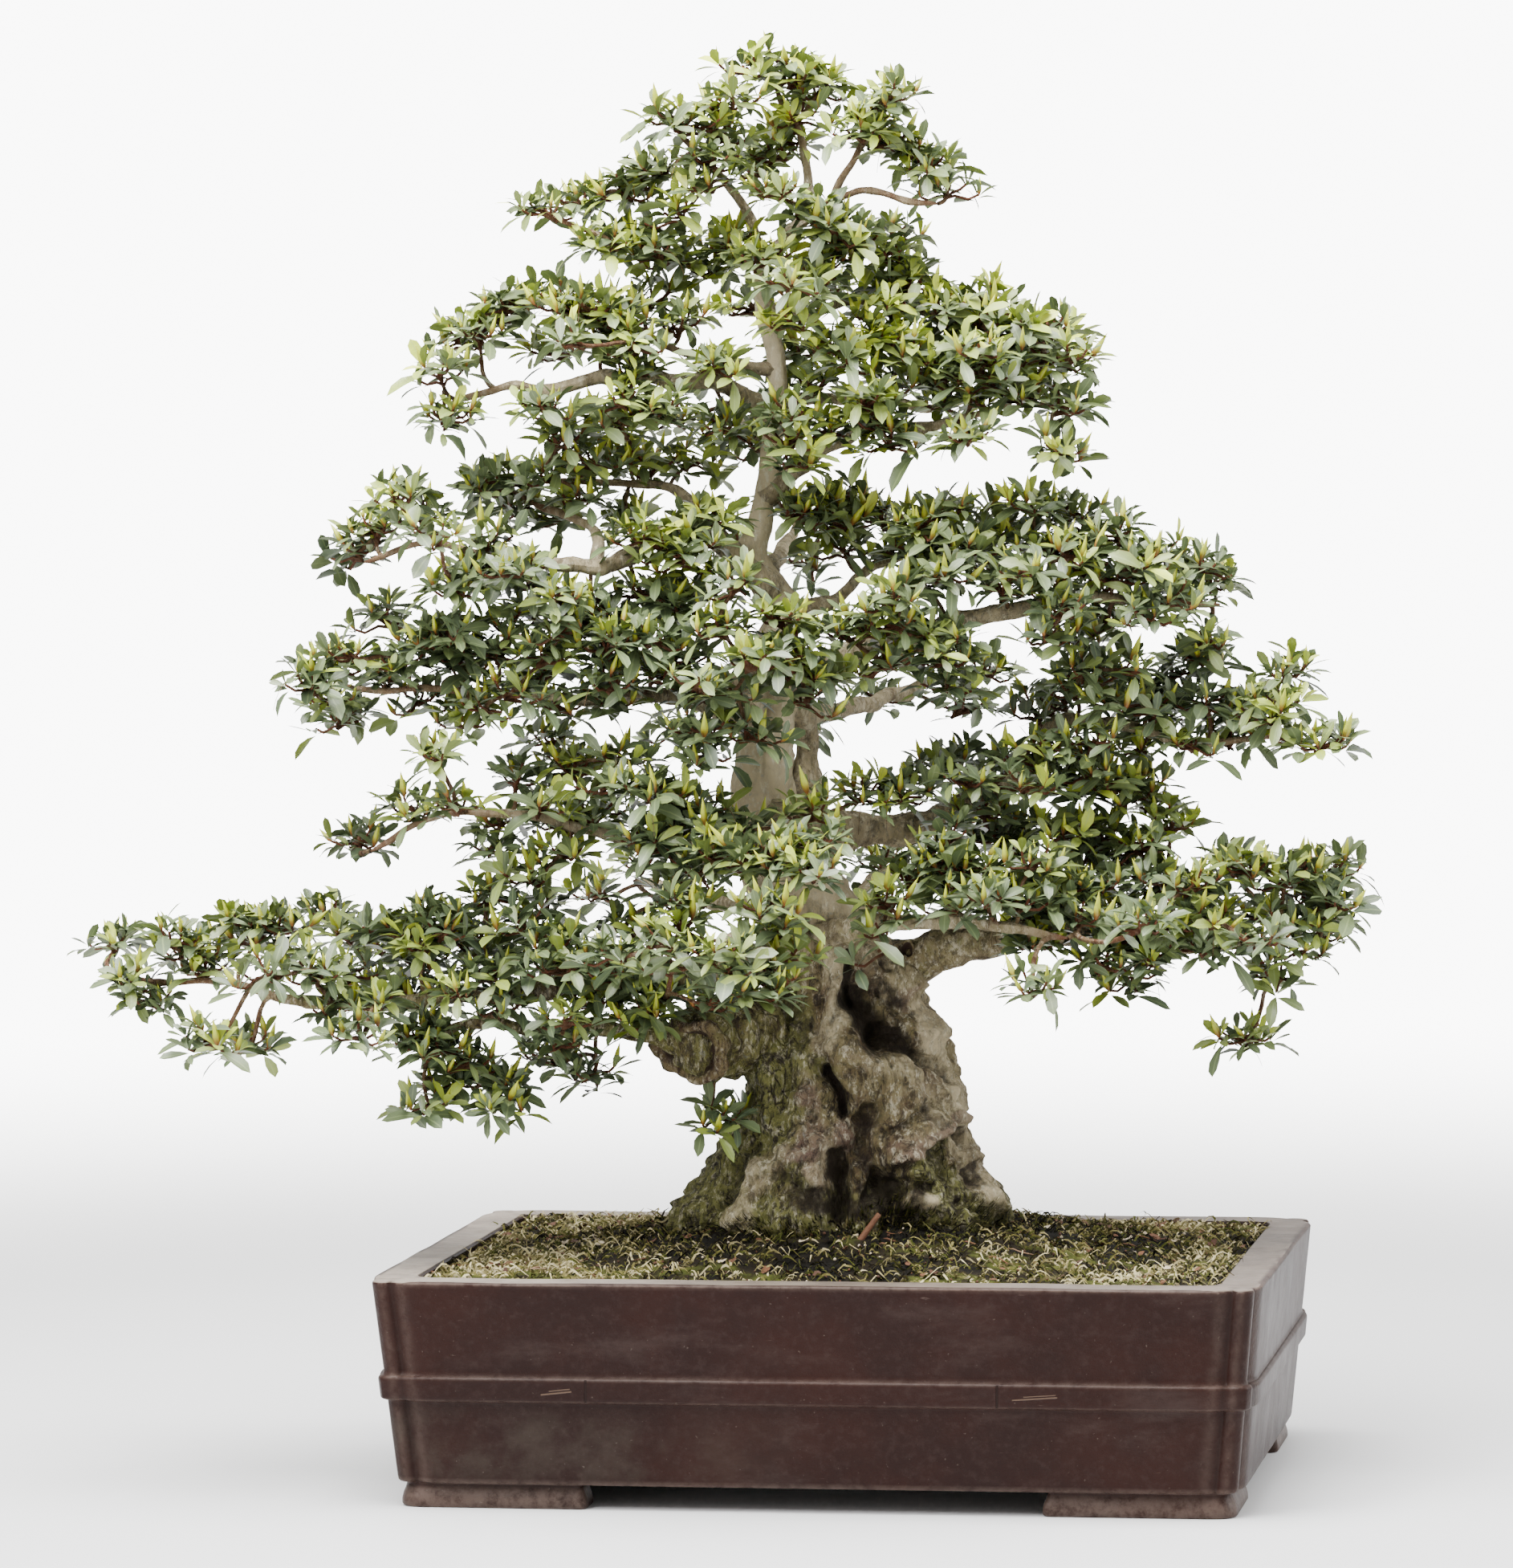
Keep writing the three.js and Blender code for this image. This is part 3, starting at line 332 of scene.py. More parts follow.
@dataclass
class Sheaf:
    """Points, faces and values per point, gathered for one piece."""

    points: list[Array] = field(default_factory=list)
    faces: list[Array] = field(default_factory=list)
    values: dict[str, list[Array]] = field(default_factory=dict)
    count: int = 0

    def add(self, points: Array, faces: Array | list[Array], **values: Array | float) -> None:
        """Adds one body of points.

        Args:
            points: The points, with xyz last.
            faces: One or more arrays of faces that count from this body's first point.
            **values: A value, or one for each point, under each name.
        """
        flat = points.reshape(-1, 3)
        for part in faces if isinstance(faces, list) else [faces]:
            self.faces.append(part + self.count)
        for name, value in values.items():
            filled = np.broadcast_to(np.asarray(value, dtype=np.float32), points.shape[:-1]).reshape(-1)
            self.values.setdefault(name, []).append(filled)
        self.points.append(flat)
        self.count += len(flat)

    def add_tube(self, grid: Array, **values: Array | float) -> None:
        """Adds one tube of rings and closes both its ends with a fan round a middle point.

        Args:
            grid: Points with the axes (ring, side, xyz).
            **values: Values that fit the grid, under each name.
        """
        rows, sides = grid.shape[:2]
        ends = np.stack([grid[0].mean(axis=0), grid[-1].mean(axis=0)])
        faces = grid_quads(rows, sides, wrap=True)
        step = np.arange(sides)
        after = (step + 1) % sides
        first = np.stack([np.full(sides, rows * sides), after, step], axis=-1)
        top = (rows - 1) * sides
        last = np.stack([np.full(sides, rows * sides + 1), top + step, top + after], axis=-1)
        filled = {}
        for name, value in values.items():
            whole = np.broadcast_to(np.asarray(value, dtype=np.float32), (rows, sides))
            filled[name] = np.concatenate([whole.reshape(-1), [whole[0].mean(), whole[-1].mean()]])
        self.add(np.concatenate([grid.reshape(-1, 3), ends]), [faces, first, last], **filled)

    def add_grids(self, grids: Array, wrap: bool = True, **values: Array) -> None:
        """Adds a batch of grids: slim tubes whose last ring is almost a point, or flat strips.

        Args:
            grids: Points with the axes (grid, row, column, xyz).
            wrap: Whether each row closes on itself, as round a tube.
            **values: Values for each grid and row, under each name.
        """
        count, rows, columns = grids.shape[:3]
        faces = repeat_faces(grid_quads(rows, columns, wrap), count, rows * columns)
        spread = {name: np.broadcast_to(v[..., None], grids.shape[:3]) for name, v in values.items()}
        self.add(grids, faces, **spread)

    def build(self, name: str, place: Callable[[Array], Array], material: Material) -> Piece:
        """Makes the gathered bodies one mesh object at the origin.

        Args:
            name: The piece's name.
            place: Turns the maker's millimetres into metres in the frame.
            material: The piece's finish.

        Returns:
            The object, linked to the scene and shaded smooth.
        """
        mesh = bpy.data.meshes.new(name)
        points = place(np.concatenate(self.points)).astype(np.float32)
        mesh.vertices.add(len(points))
        mesh.vertices.foreach_set("co", points.reshape(-1))
        sizes = np.concatenate([np.full(len(part), part.shape[1]) for part in self.faces])
        corners = np.concatenate([part.reshape(-1) for part in self.faces]).astype(np.int32)
        mesh.loops.add(len(corners))
        mesh.loops.foreach_set("vertex_index", corners)
        mesh.polygons.add(len(sizes))
        starts = np.concatenate([[0], np.cumsum(sizes)[:-1]]).astype(np.int32)
        mesh.polygons.foreach_set("loop_start", starts)
        mesh.update(calc_edges=True)
        for key, parts in self.values.items():
            set_value(mesh, key, np.concatenate(parts))
        mesh.validate()
        mesh.shade_smooth()
        mesh.materials.append(material)
        piece = bpy.data.objects.new(name, mesh)
        bpy.context.scene.collection.objects.link(piece)
        return piece


# ---------------------------------------------------------------- finishes


class Shade:
    """Builds one procedural material on Object coordinates, a node at a time."""

    def __init__(self, name: str) -> None:
        """Starts an empty material with its shader and output.

        Args:
            name: The material's name.
        """
        self.material = bpy.data.materials.new(name)
        self.material.use_nodes = True
        self.tree = self.material.node_tree
        self.tree.nodes.clear()
        self.shader = self.tree.nodes.new("ShaderNodeBsdfPrincipled")
        self.surface = self.tree.nodes.new("ShaderNodeOutputMaterial").inputs["Surface"]
        self.put(self.surface, self.shader.outputs["BSDF"])
        self.place = self.tree.nodes.new("ShaderNodeTexCoord").outputs["Object"]

    def put(self, socket: Socket, value: object) -> None:
        """Links an output to a socket, or sets its number, its vector or its colour.

        Args:
            socket: The input.
            value: Another node's output, a number, a vector or a colour.
        """
        if isinstance(value, Socket):
            self.tree.links.new(value, socket)
        elif socket.type == "RGBA" and len(value) == 3:
            socket.default_value = (*value, 1.0)
        else:
            socket.default_value = value

    def node(self, kind: str, inputs: dict, output: str | int, **settings: object) -> Socket:
        """Adds a node.

        Args:
            kind: Blender's node type.
            inputs: Socket name or number to a number, a colour or another node's output.
            output: Name or number of the output to hand back.
            **settings: Properties of the node.

        Returns:
            The output socket.
        """
        made = self.tree.nodes.new(kind)
        for key, value in settings.items():
            setattr(made, key, value)
        for key, value in inputs.items():
            self.put(made.inputs[key], value)
        return made.outputs[output]

    def stretched(self, x: float, y: float, z: float) -> Socket:
        """Object coordinates scaled along each axis."""
        return self.node("ShaderNodeMapping", {"Vector": self.place, "Scale": (x, y, z)}, "Vector")

    def noise(self, scale: float, detail: float = 4.0, rough: float = 0.6, vector: Socket | None = None,
              distortion: float = 0.0) -> Socket:
        """Noise from 0 to 1.

        Args:
            scale: Features to a metre.
            detail: How many finer noises are added.
            rough: How strong the finer ones are.
            vector: Coordinates to use in place of Object coordinates.
            distortion: How far it is stirred.

        Returns:
            The noise.
        """
        inputs = {"Vector": vector or self.place, "Scale": scale, "Detail": detail, "Roughness": rough,
                  "Distortion": distortion}
        return self.node("ShaderNodeTexNoise", inputs, "Fac")

    def patches(self, low: float, high: float, *noise: float, **options: Socket | float) -> Socket:
        """A noise cut into patches: 0 where it is below low and 1 where it is above high."""
        return self.step(self.noise(*noise, **options), low, high)

    def cell_edges(self, scale: float, vector: Socket | None = None) -> Socket:
        """Distance to the edges between scattered cells."""
        inputs = {"Vector": vector or self.place, "Scale": scale}
        return self.node("ShaderNodeTexVoronoi", inputs, "Distance", feature="DISTANCE_TO_EDGE")

    def value(self, name: str) -> Socket:
        """One of the piece's own values per point."""
        return self.node("ShaderNodeAttribute", {}, "Fac", attribute_name=name)

    def step(self, value: Socket, low: float, high: float) -> Socket:
        """0 below low and 1 above high, with a smooth rise between; turned round where low is the larger."""
        inputs = {"Value": value, "From Min": low, "From Max": high}
        return self.node("ShaderNodeMapRange", inputs, "Result", interpolation_type="SMOOTHSTEP")

    def times(self, a: Socket, b: Socket | float) -> Socket:
        """a times b."""
        return self.node("ShaderNodeMath", {0: a, 1: b}, "Value", operation="MULTIPLY")

    def plus(self, a: Socket, b: Socket | float) -> Socket:
        """a plus b."""
        return self.node("ShaderNodeMath", {0: a, 1: b}, "Value", operation="ADD")

    def blend(self, factor: Socket | float, a: object, b: object) -> Socket:
        """From colour a at 0 to colour b at 1; each is a colour or an output."""
        return self.node("ShaderNodeMix", {0: factor, 6: a, 7: b}, 2, data_type="RGBA")

    def cover(self, colour: object, over: Colour, mask: Socket, share: Socket | float) -> Socket:
        """Lays the colour `over` on another where the mask is 1, as strongly as the share."""
        return self.blend(self.times(mask, share), colour, over)

    def ramp(self, value: Socket, stops: list[tuple[float, Colour]]) -> Socket:
        """Colours along a scale from 0 to 1.

        Args:
            value: Place on the scale.
            stops: Places and their colours, in order.

        Returns:
            The colour.
        """
        made = self.tree.nodes.new("ShaderNodeValToRGB")
        for _ in range(len(stops) - 2):
            made.color_ramp.elements.new(0.5)
        for element, (position, colour) in zip(made.color_ramp.elements, stops):
            element.position = position
            element.color = (*colour, 1.0)
        self.tree.links.new(value, made.inputs["Fac"])
        return made.outputs["Color"]

    def bump(self, height: Socket, depth: float, below: object = None) -> Socket:
        """A normal for relief of `depth` metres, on top of another normal where one is given."""
        under = {} if below is None else {"Normal": below}
        return self.node("ShaderNodeBump", {"Height": height, "Distance": depth, **under}, "Normal")

    def finish(
        self,
        colour: Socket,
        roughness: Socket | float,
        normal: Socket | None = None,
        **constants: float,
    ) -> Material:
        """Sets the shader and hands the material over.

        Args:
            colour: Base colour.
            roughness: Roughness, as an output or a number.
            normal: Relief.
            **constants: Other shader sockets, with underscores for spaces.

        Returns:
            The material.
        """
        values = {"Base Color": colour, "Roughness": roughness, **constants}
        if normal is not None:
            values["Normal"] = normal
        for key, value in values.items():
            self.put(self.shader.inputs[key.replace("_", " ")], value)
        return self.material


@dataclass(frozen=True)
class StonewareFinish:
    """Unglazed maroon stoneware: darker clouds, a faint bloom, a green cast low on the left, worn edges; pale
    painted highlights on the edges, corner rolls and lobes, painted sheen on the rim's top, painted shade in
    the corner grooves and inside.
    """

    clay: Colour = (0.0166, 0.0056, 0.0041)
    dark_clay: Colour = (0.0118, 0.0048, 0.0039)
    bloom: Colour = (0.033, 0.021, 0.018)
    green_cast: Colour = (0.033, 0.026, 0.020)
    # Pale of scuffs, worn edges and feet, also used for the painted highlights on the edges, corner rolls and
    # lobes.
    worn: Colour = (0.170, 0.126, 0.103)
    # Colour of specks and rim dust, also used for the painted sheen on the rim's top.
    dust: Colour = (0.285, 0.240, 0.196)
    slit: Colour = (0.088, 0.056, 0.038)
    # Colour of the bamboo joints' cuts, also used for the painted shade in the corner grooves and on the
    # inner wall.
    seam_and_shade: Colour = (0.010, 0.005, 0.004)
    front_wall: tuple[float, float] = (-0.15, -0.16)  # metres from the pot's middle; marks show beyond them

    def material(self, marks: tuple[Mark, ...], place: Placement) -> Material:
        """Builds the finish, with the belt's cut marks where the pot has them.

        Args:
            marks: The cut marks.
            place: Where the pot stands and how the tree is turned.

        Returns:
            The material.
        """
        shade = Shade("maroon stoneware")
        broad = shade.noise(9.0, 5.0, 0.62)
        colour = shade.blend(shade.step(broad, 0.38, 0.66), self.dark_clay, self.clay)
        streaks = shade.noise(1.0, 6.0, 0.65, vector=shade.stretched(12.0, 12.0, 40.0))
        colour = shade.cover(colour, self.bloom, shade.step(streaks, 0.52, 0.76), 0.55)
        mottle = shade.patches(0.46, 0.72, 190.0, 5.0, 0.7)
        colour = shade.cover(colour, self.bloom, mottle, 0.28)
        green = shade.times(shade.patches(0.36, 0.66, 26.0, 6.0, 0.7), shade.value("low_left"))
        colour = shade.cover(colour, self.green_cast, green, 0.85)
        specks = shade.patches(0.70, 0.80, 420.0, 2.0, 0.5)
        colour = shade.cover(colour, self.dust, specks, 0.12)
        scuffs = shade.patches(0.68, 0.80, 1.0, 5.0, 0.6, vector=shade.stretched(60.0, 60.0, 500.0))
        colour = shade.cover(colour, self.worn, scuffs, 0.28)
        # Worn edges and feet, with painted highlights on the rim edge, belt edges, corner rolls and lobes.
        wear_and_painted_light = shade.times(shade.value("worn"), shade.patches(0.22, 0.62, 120.0, 5.0, 0.7))
        colour = shade.cover(colour, self.worn, wear_and_painted_light, 0.80)
        # Rim dust, which also paints the rim's sheen, paler to the left where the light falls.
        settled = shade.plus(shade.times(shade.patches(0.34, 0.64, 34.0, 6.0, 0.72), 0.34), 0.56)
        colour = shade.cover(colour, self.dust, shade.value("dusty"), settled)
        # Painted shade in the corner grooves and on the inner wall.
        colour = shade.cover(colour, self.seam_and_shade, shade.value("grimy"), 0.45)
        lumps = shade.bump(shade.noise(95.0, 4.0, 0.6), 0.0007)
        fine = shade.bump(shade.noise(900.0, 3.0, 0.6), 0.00018, lumps)
        for mark in marks:
            mask = self.mark(shade, mark, place)
            colour = shade.cover(colour, self.seam_and_shade if mark.upright else self.slit, mask, 0.8)
            fine = shade.bump(mask, -0.0006, fine)
        roughness = shade.plus(shade.times(shade.noise(30.0, 4.0, 0.6), 0.24), 0.27)
        return shade.finish(colour, roughness, fine, Specular_IOR_Level=0.08)

    def mark(self, shade: Shade, mark: Mark, place: Placement) -> Socket:
        """1 on one cut mark and 0 off it.

        The coordinates are moved to the mark's middle and turned onto it; a point is on the mark where it
        lies within half its length along and half its width across, on the front wall.

        Args:
            shade: The material being built.
            mark: The mark.
            place: Where the pot stands and how the tree is turned.

        Returns:
            The mask.
        """
        (x0, z0), (x1, z1) = mark.start, mark.end
        middle = ((x0 + x1) / 2 + place.centre[0], place.centre[1], (z0 + z1) / 2)
        back = tuple(-value * MM for value in middle)
        moved = shade.node("ShaderNodeVectorMath", {0: shade.place, 1: back}, "Vector")
        turn = (0.0, math.atan2(z1 - z0, x1 - x0), 0.0)
        own = shade.node("ShaderNodeMapping", {"Vector": moved, "Rotation": turn}, "Vector")
        parts = shade.node("ShaderNodeSeparateXYZ", {0: own}, "X").node
        size = lambda part: shade.node("ShaderNodeMath", {0: part}, "Value", operation="ABSOLUTE")
        half = 0.5 * math.hypot(x1 - x0, z1 - z0) * MM
        along = shade.step(size(parts.outputs["X"]), half, 0.94 * half)
        across = shade.step(size(parts.outputs["Z"]), 0.62 * mark.width * MM, 0.30 * mark.width * MM)
        return shade.times(shade.times(along, across), shade.step(parts.outputs["Y"], *self.front_wall))


@dataclass(frozen=True)
class BarkFinish:
    """Old azalea bark: tan and grey plates, flecks, pits and cracks darkened with painted shade, pink scars
    and algae; young twigs are red-brown.
    """

    old: Colour = (0.270, 0.220, 0.105)
    brown: Colour = (0.118, 0.072, 0.038)
    pale: Colour = (0.820, 0.695, 0.440)
    # Painted shade for the bark's low flecks, pits, cracks and hollows.
    crevice_shade: Colour = (0.018, 0.011, 0.006)
    pink: Colour = (0.260, 0.165, 0.135)
    algae: Colour = (0.220, 0.232, 0.058)
    lichen: Colour = (0.430, 0.440, 0.380)
    young: Colour = (0.170, 0.052, 0.020)
    cream: Colour = (0.900, 0.820, 0.600)

    def material(self) -> Material:
        """Builds the finish.

        Returns:
            The material.
        """
        shade = Shade("azalea bark")
        long = shade.stretched(1.0, 1.0, 0.45)
        stout = shade.value("stout")
        mottle = shade.noise(38.0, 8.0, 0.74, distortion=0.6)
        colour = shade.blend(shade.step(mottle, 0.38, 0.58), self.brown, self.old)
        # The pale value is bare bark, and on the stump's right side also painted light.
        bare = shade.times(shade.value("pale"), 0.68)
        weathered = shade.plus(shade.times(bare, -1.2), 0.95)
        light = shade.plus(bare, shade.times(shade.noise(64.0, 7.0, 0.74, vector=long), 1.1))
        colour = shade.cover(colour, self.pale, shade.step(light, 0.60, 1.22), 0.92)
        blush = shade.plus(shade.value("scar"), shade.times(shade.noise(60.0, 5.0, 0.7), 0.7))
        colour = shade.cover(colour, self.pink, shade.step(blush, 0.52, 1.05), 0.55)
        growth = shade.plus(shade.value("algae"), shade.times(shade.noise(52.0, 7.0, 0.76), 1.0))
        colour = shade.cover(colour, self.algae, shade.step(growth, 0.60, 0.96), 0.72)
        crust = shade.times(shade.patches(0.60, 0.68, 130.0, 5.0, 0.7), stout)
        colour = shade.cover(colour, self.lichen, crust, 0.45)
        # Dark flecks where the relief is low: painted shade.
        fleck = shade.noise(170.0, 8.0, 0.80, vector=long, distortion=0.5)
        colour = shade.cover(colour, self.crevice_shade, shade.step(fleck, 0.52, 0.40), weathered)
        # Pale cream flecks: lichen spots, and painted highlights on the pale bark.
        light_fleck = shade.noise(260.0, 7.0, 0.78, vector=long)
        lively = shade.plus(shade.times(bare, 0.6), 0.50)
        colour = shade.cover(colour, self.cream, shade.step(light_fleck, 0.51, 0.62), lively)
        # Pits darker where they are deep: painted shade.
        pits = shade.noise(72.0, 10.0, 0.84, vector=long, distortion=0.9)
        sunk = shade.times(shade.step(pits, 0.49, 0.41), weathered)
        colour = shade.cover(colour, self.crevice_shade, sunk, stout)
        # Dark cracks between the plates: painted shade.
        plates = shade.cell_edges(190.0, long)
        cracked = shade.times(shade.patches(0.50, 0.58, 40.0, 5.0, 0.7), shade.value("algae"))
        crack = shade.times(shade.step(plates, 0.10, 0.0), cracked)
        colour = shade.blend(crack, colour, self.crevice_shade)
        # The shade value: painted shade in the hollows and cut strokes, and the healed cuts' dark faces.
        gloom = shade.plus(shade.value("shade"), shade.times(shade.noise(120.0, 8.0, 0.78), 1.5))
        colour = shade.cover(colour, self.crevice_shade, shade.step(gloom, 1.04, 1.70), 0.94)
        colour = shade.blend(shade.value("young"), colour, self.young)
        rough = shade.bump(shade.step(pits, 0.30, 0.62), 0.0060)
        rough = shade.bump(fleck, 0.0045, rough)
        rough = shade.bump(crack, -0.0016, rough)
        return shade.finish(colour, 0.76, rough, Specular_IOR_Level=0.28)


@dataclass(frozen=True)
class LeafFinish:
    """Leathery leaves: dark blue-green old ones to fresh yellow-green ones, with a paler rib and rim."""

    stops: tuple[tuple[float, Colour], ...] = (
        (0.00, (0.062, 0.088, 0.045)),
        (0.35, (0.106, 0.140, 0.056)),
        (0.62, (0.178, 0.225, 0.042)),
        (0.84, (0.320, 0.395, 0.036)),
        (1.00, (0.490, 0.540, 0.055)),
    )
    rib: Colour = (0.235, 0.290, 0.120)
    bronze: Colour = (0.120, 0.070, 0.028)

    def material(self) -> Material:
        """Builds the finish.

        Returns:
            The material.
        """
        shade = Shade("azalea leaf")
        mottled = shade.times(shade.plus(shade.noise(260.0, 4.0, 0.6), -0.5), 0.24)
        colour = shade.ramp(shade.plus(shade.value("tone"), mottled), list(self.stops))
        colour = shade.cover(colour, self.rib, shade.step(shade.value("across"), 0.20, 0.0), 0.42)
        colour = shade.cover(colour, self.rib, shade.step(shade.value("along"), 0.12, 0.0), 0.60)
        edge = shade.times(shade.step(shade.value("across"), 0.86, 1.0), shade.value("bronzed"))
        colour = shade.cover(colour, self.bronze, edge, 0.7)
        relief = shade.bump(shade.noise(900.0, 3.0, 0.6), 0.00014)
        return shade.finish(
            colour,
            shade.plus(shade.times(shade.noise(140.0, 3.0, 0.6), 0.16), 0.33),
            relief,
            Specular_IOR_Level=0.45,
        )


@dataclass(frozen=True)
class BudFinish:
    """Pointed flower buds: yellow-green scales over a red-brown foot."""

    foot: Colour = (0.200, 0.070, 0.014)
    scale: Colour = (0.360, 0.400, 0.022)
    tip: Colour = (0.520, 0.540, 0.045)

    def material(self) -> Material:
        """Builds the finish.

        Returns:
            The material.
        """
        shade = Shade("azalea bud")
        along = shade.value("along")
        colour = shade.blend(shade.step(along, 0.05, 0.52), self.foot, self.scale)
        colour = shade.cover(colour, self.tip, shade.step(along, 0.6, 1.0), 0.6)
        streak = shade.noise(700.0, 3.0, 0.6)
        colour = shade.cover(colour, self.foot, shade.step(streak, 0.55, 0.7), 0.3)
        return shade.finish(colour, 0.46, shade.bump(streak, 0.0002), Specular_IOR_Level=0.5)


@dataclass(frozen=True)
class MossFinish:
    """Dry straw-coloured moss with brown and green stretches, from the piece's own tone."""

    stops: tuple[tuple[float, Colour], ...] = (
        (0.00, (0.004, 0.003, 0.001)),
        (0.24, (0.018, 0.012, 0.004)),
        (0.44, (0.066, 0.078, 0.010)),
        (0.62, (0.180, 0.155, 0.044)),
        (0.80, (0.400, 0.335, 0.150)),
        (1.00, (0.680, 0.590, 0.340)),
    )

    def material(self) -> Material:
        """Builds the finish.

        Returns:
            The material.
        """
        shade = Shade("dry moss")
        grain = shade.times(shade.plus(shade.noise(480.0, 4.0, 0.7), -0.5), 0.45)
        colour = shade.ramp(shade.plus(shade.value("tone"), grain), list(self.stops))
        pile = shade.bump(shade.noise(420.0, 6.0, 0.75), 0.0030)
        return shade.finish(colour, 0.92, pile, Specular_IOR_Level=0.2)


@dataclass(frozen=True)
class LitterFinish:
    """Fallen leaves and bark scraps: red-brown to pale straw, from the piece's own tone."""

    dark: Colour = (0.040, 0.016, 0.009)
    red: Colour = (0.150, 0.062, 0.026)
    pale: Colour = (0.520, 0.440, 0.310)

    def material(self) -> Material:
        """Builds the finish.

        Returns:
            The material.
        """
        shade = Shade("fallen scraps")
        stops = [(0.0, self.dark), (0.5, self.red), (1.0, self.pale)]
        colour = shade.ramp(shade.value("tone"), stops)
        colour = shade.cover(colour, self.dark, shade.patches(0.5, 0.7, 500.0), 0.4)
        return shade.finish(colour, 0.7, shade.bump(shade.noise(700.0), 0.0004), Specular_IOR_Level=0.3)


@dataclass(frozen=True)
class SoilFinish:
    """Crumbly baked-clay soil: brown grains with painted shade in the gaps between them."""

    grain: Colour = (0.130, 0.078, 0.044)
    light_grain: Colour = (0.190, 0.135, 0.085)
    # Painted shade between the grains.
    gap: Colour = (0.020, 0.013, 0.009)

    def material(self) -> Material:
        """Builds the finish.

        Returns:
            The material.
        """
        shade = Shade("granular soil")
        # Dark gaps between the grains: painted shade.
        edges = shade.step(shade.cell_edges(260.0), 0.02, 0.16)
        tint = shade.blend(shade.noise(160.0), self.grain, self.light_grain)
        return shade.finish(shade.blend(edges, self.gap, tint), 0.95, shade.bump(edges, 0.0015))


@dataclass(frozen=True)
class NettingFinish:
    """Moulded black plastic with a faint grain and soil dust."""

    plastic: Colour = (0.014, 0.014, 0.014)
    dust: Colour = (0.070, 0.055, 0.042)

    def material(self) -> Material:
        """Builds the finish.

        Returns:
            The material.
        """
        shade = Shade("drainage netting")
        colour = shade.cover(self.plastic, self.dust, shade.patches(0.5, 0.75, 210.0), 0.6)
        return shade.finish(colour, 0.5, shade.bump(shade.noise(1400.0), 0.0001))


@dataclass(frozen=True)
class WireFinish:
    """Soft brown-anodised aluminium wire with draw marks."""

    metal: Colour = (0.330, 0.210, 0.140)
    scratch: Colour = (0.620, 0.560, 0.500)

    def material(self) -> Material:
        """Builds the finish.

        Returns:
            The material.
        """
        shade = Shade("bonsai wire")
        marks = shade.noise(1.0, 3.0, 0.6, vector=shade.stretched(2400.0, 400.0, 2400.0))
        colour = shade.blend(shade.step(marks, 0.58, 0.72), self.metal, self.scratch)
        return shade.finish(colour, 0.36, shade.bump(marks, 0.00005), Metallic=0.9)


@dataclass(frozen=True)
class FloorFinish:
    """Plain pale floor that fades out at a distance."""

    paint: Colour = (0.66, 0.66, 0.66)
    dull_paint: Colour = (0.64, 0.64, 0.64)
    fade_from: float = 1.0
    fade_to: float = 3.2

    def material(self) -> Material:
        """Builds the finish.

        Returns:
            The material.
        """
        shade = Shade("pale floor")
        length = shade.node("ShaderNodeVectorMath", {0: shade.place}, "Value", operation="LENGTH")
        colour = shade.cover(self.paint, self.dull_paint, shade.patches(0.3, 0.7, 3.0), 0.5)
        made = shade.finish(colour, 0.55)
        clear = shade.node("ShaderNodeBsdfTransparent", {}, "BSDF")
        fade = shade.step(length, self.fade_from, self.fade_to)
        inputs = {0: fade, 1: shade.shader.outputs["BSDF"], 2: clear}
        shade.put(shade.surface, shade.node("ShaderNodeMixShader", inputs, "Shader"))
        return made


# ---------------------------------------------------------------- pot


def rounded_polygon(corners: Array, radii: Array, steps: int) -> Array:
    """A polygon with its corners drawn round.

    Each corner P, with A and B at its radius from it along its two sides, becomes the points
    (1-t)^2 A + 2t(1-t) P + t^2 B.

    Args:
        corners: The polygon's corners in order, in plan.
        radii: How far from each corner its rounding starts.
        steps: Points on each rounding.

    Returns:
        The outline's points in order.
    """
    before = corners + radii[:, None] * unit(np.roll(corners, 1, axis=0) - corners)
    after = corners + radii[:, None] * unit(np.roll(corners, -1, axis=0) - corners)
    t = np.linspace(0.0, 1.0, steps)[None, :, None]
    points = (1 - t) ** 2 * before[:, None] + 2 * t * (1 - t) * corners[:, None] + t**2 * after[:, None]
    return points.reshape(-1, 2)


@dataclass(frozen=True)
class Mark:
    """A mark cut into the belt's front: its ends as (x, z) and its width; upright ones are bamboo joints."""

    start: tuple[float, float]
    end: tuple[float, float]
    width: float
    upright: bool = False


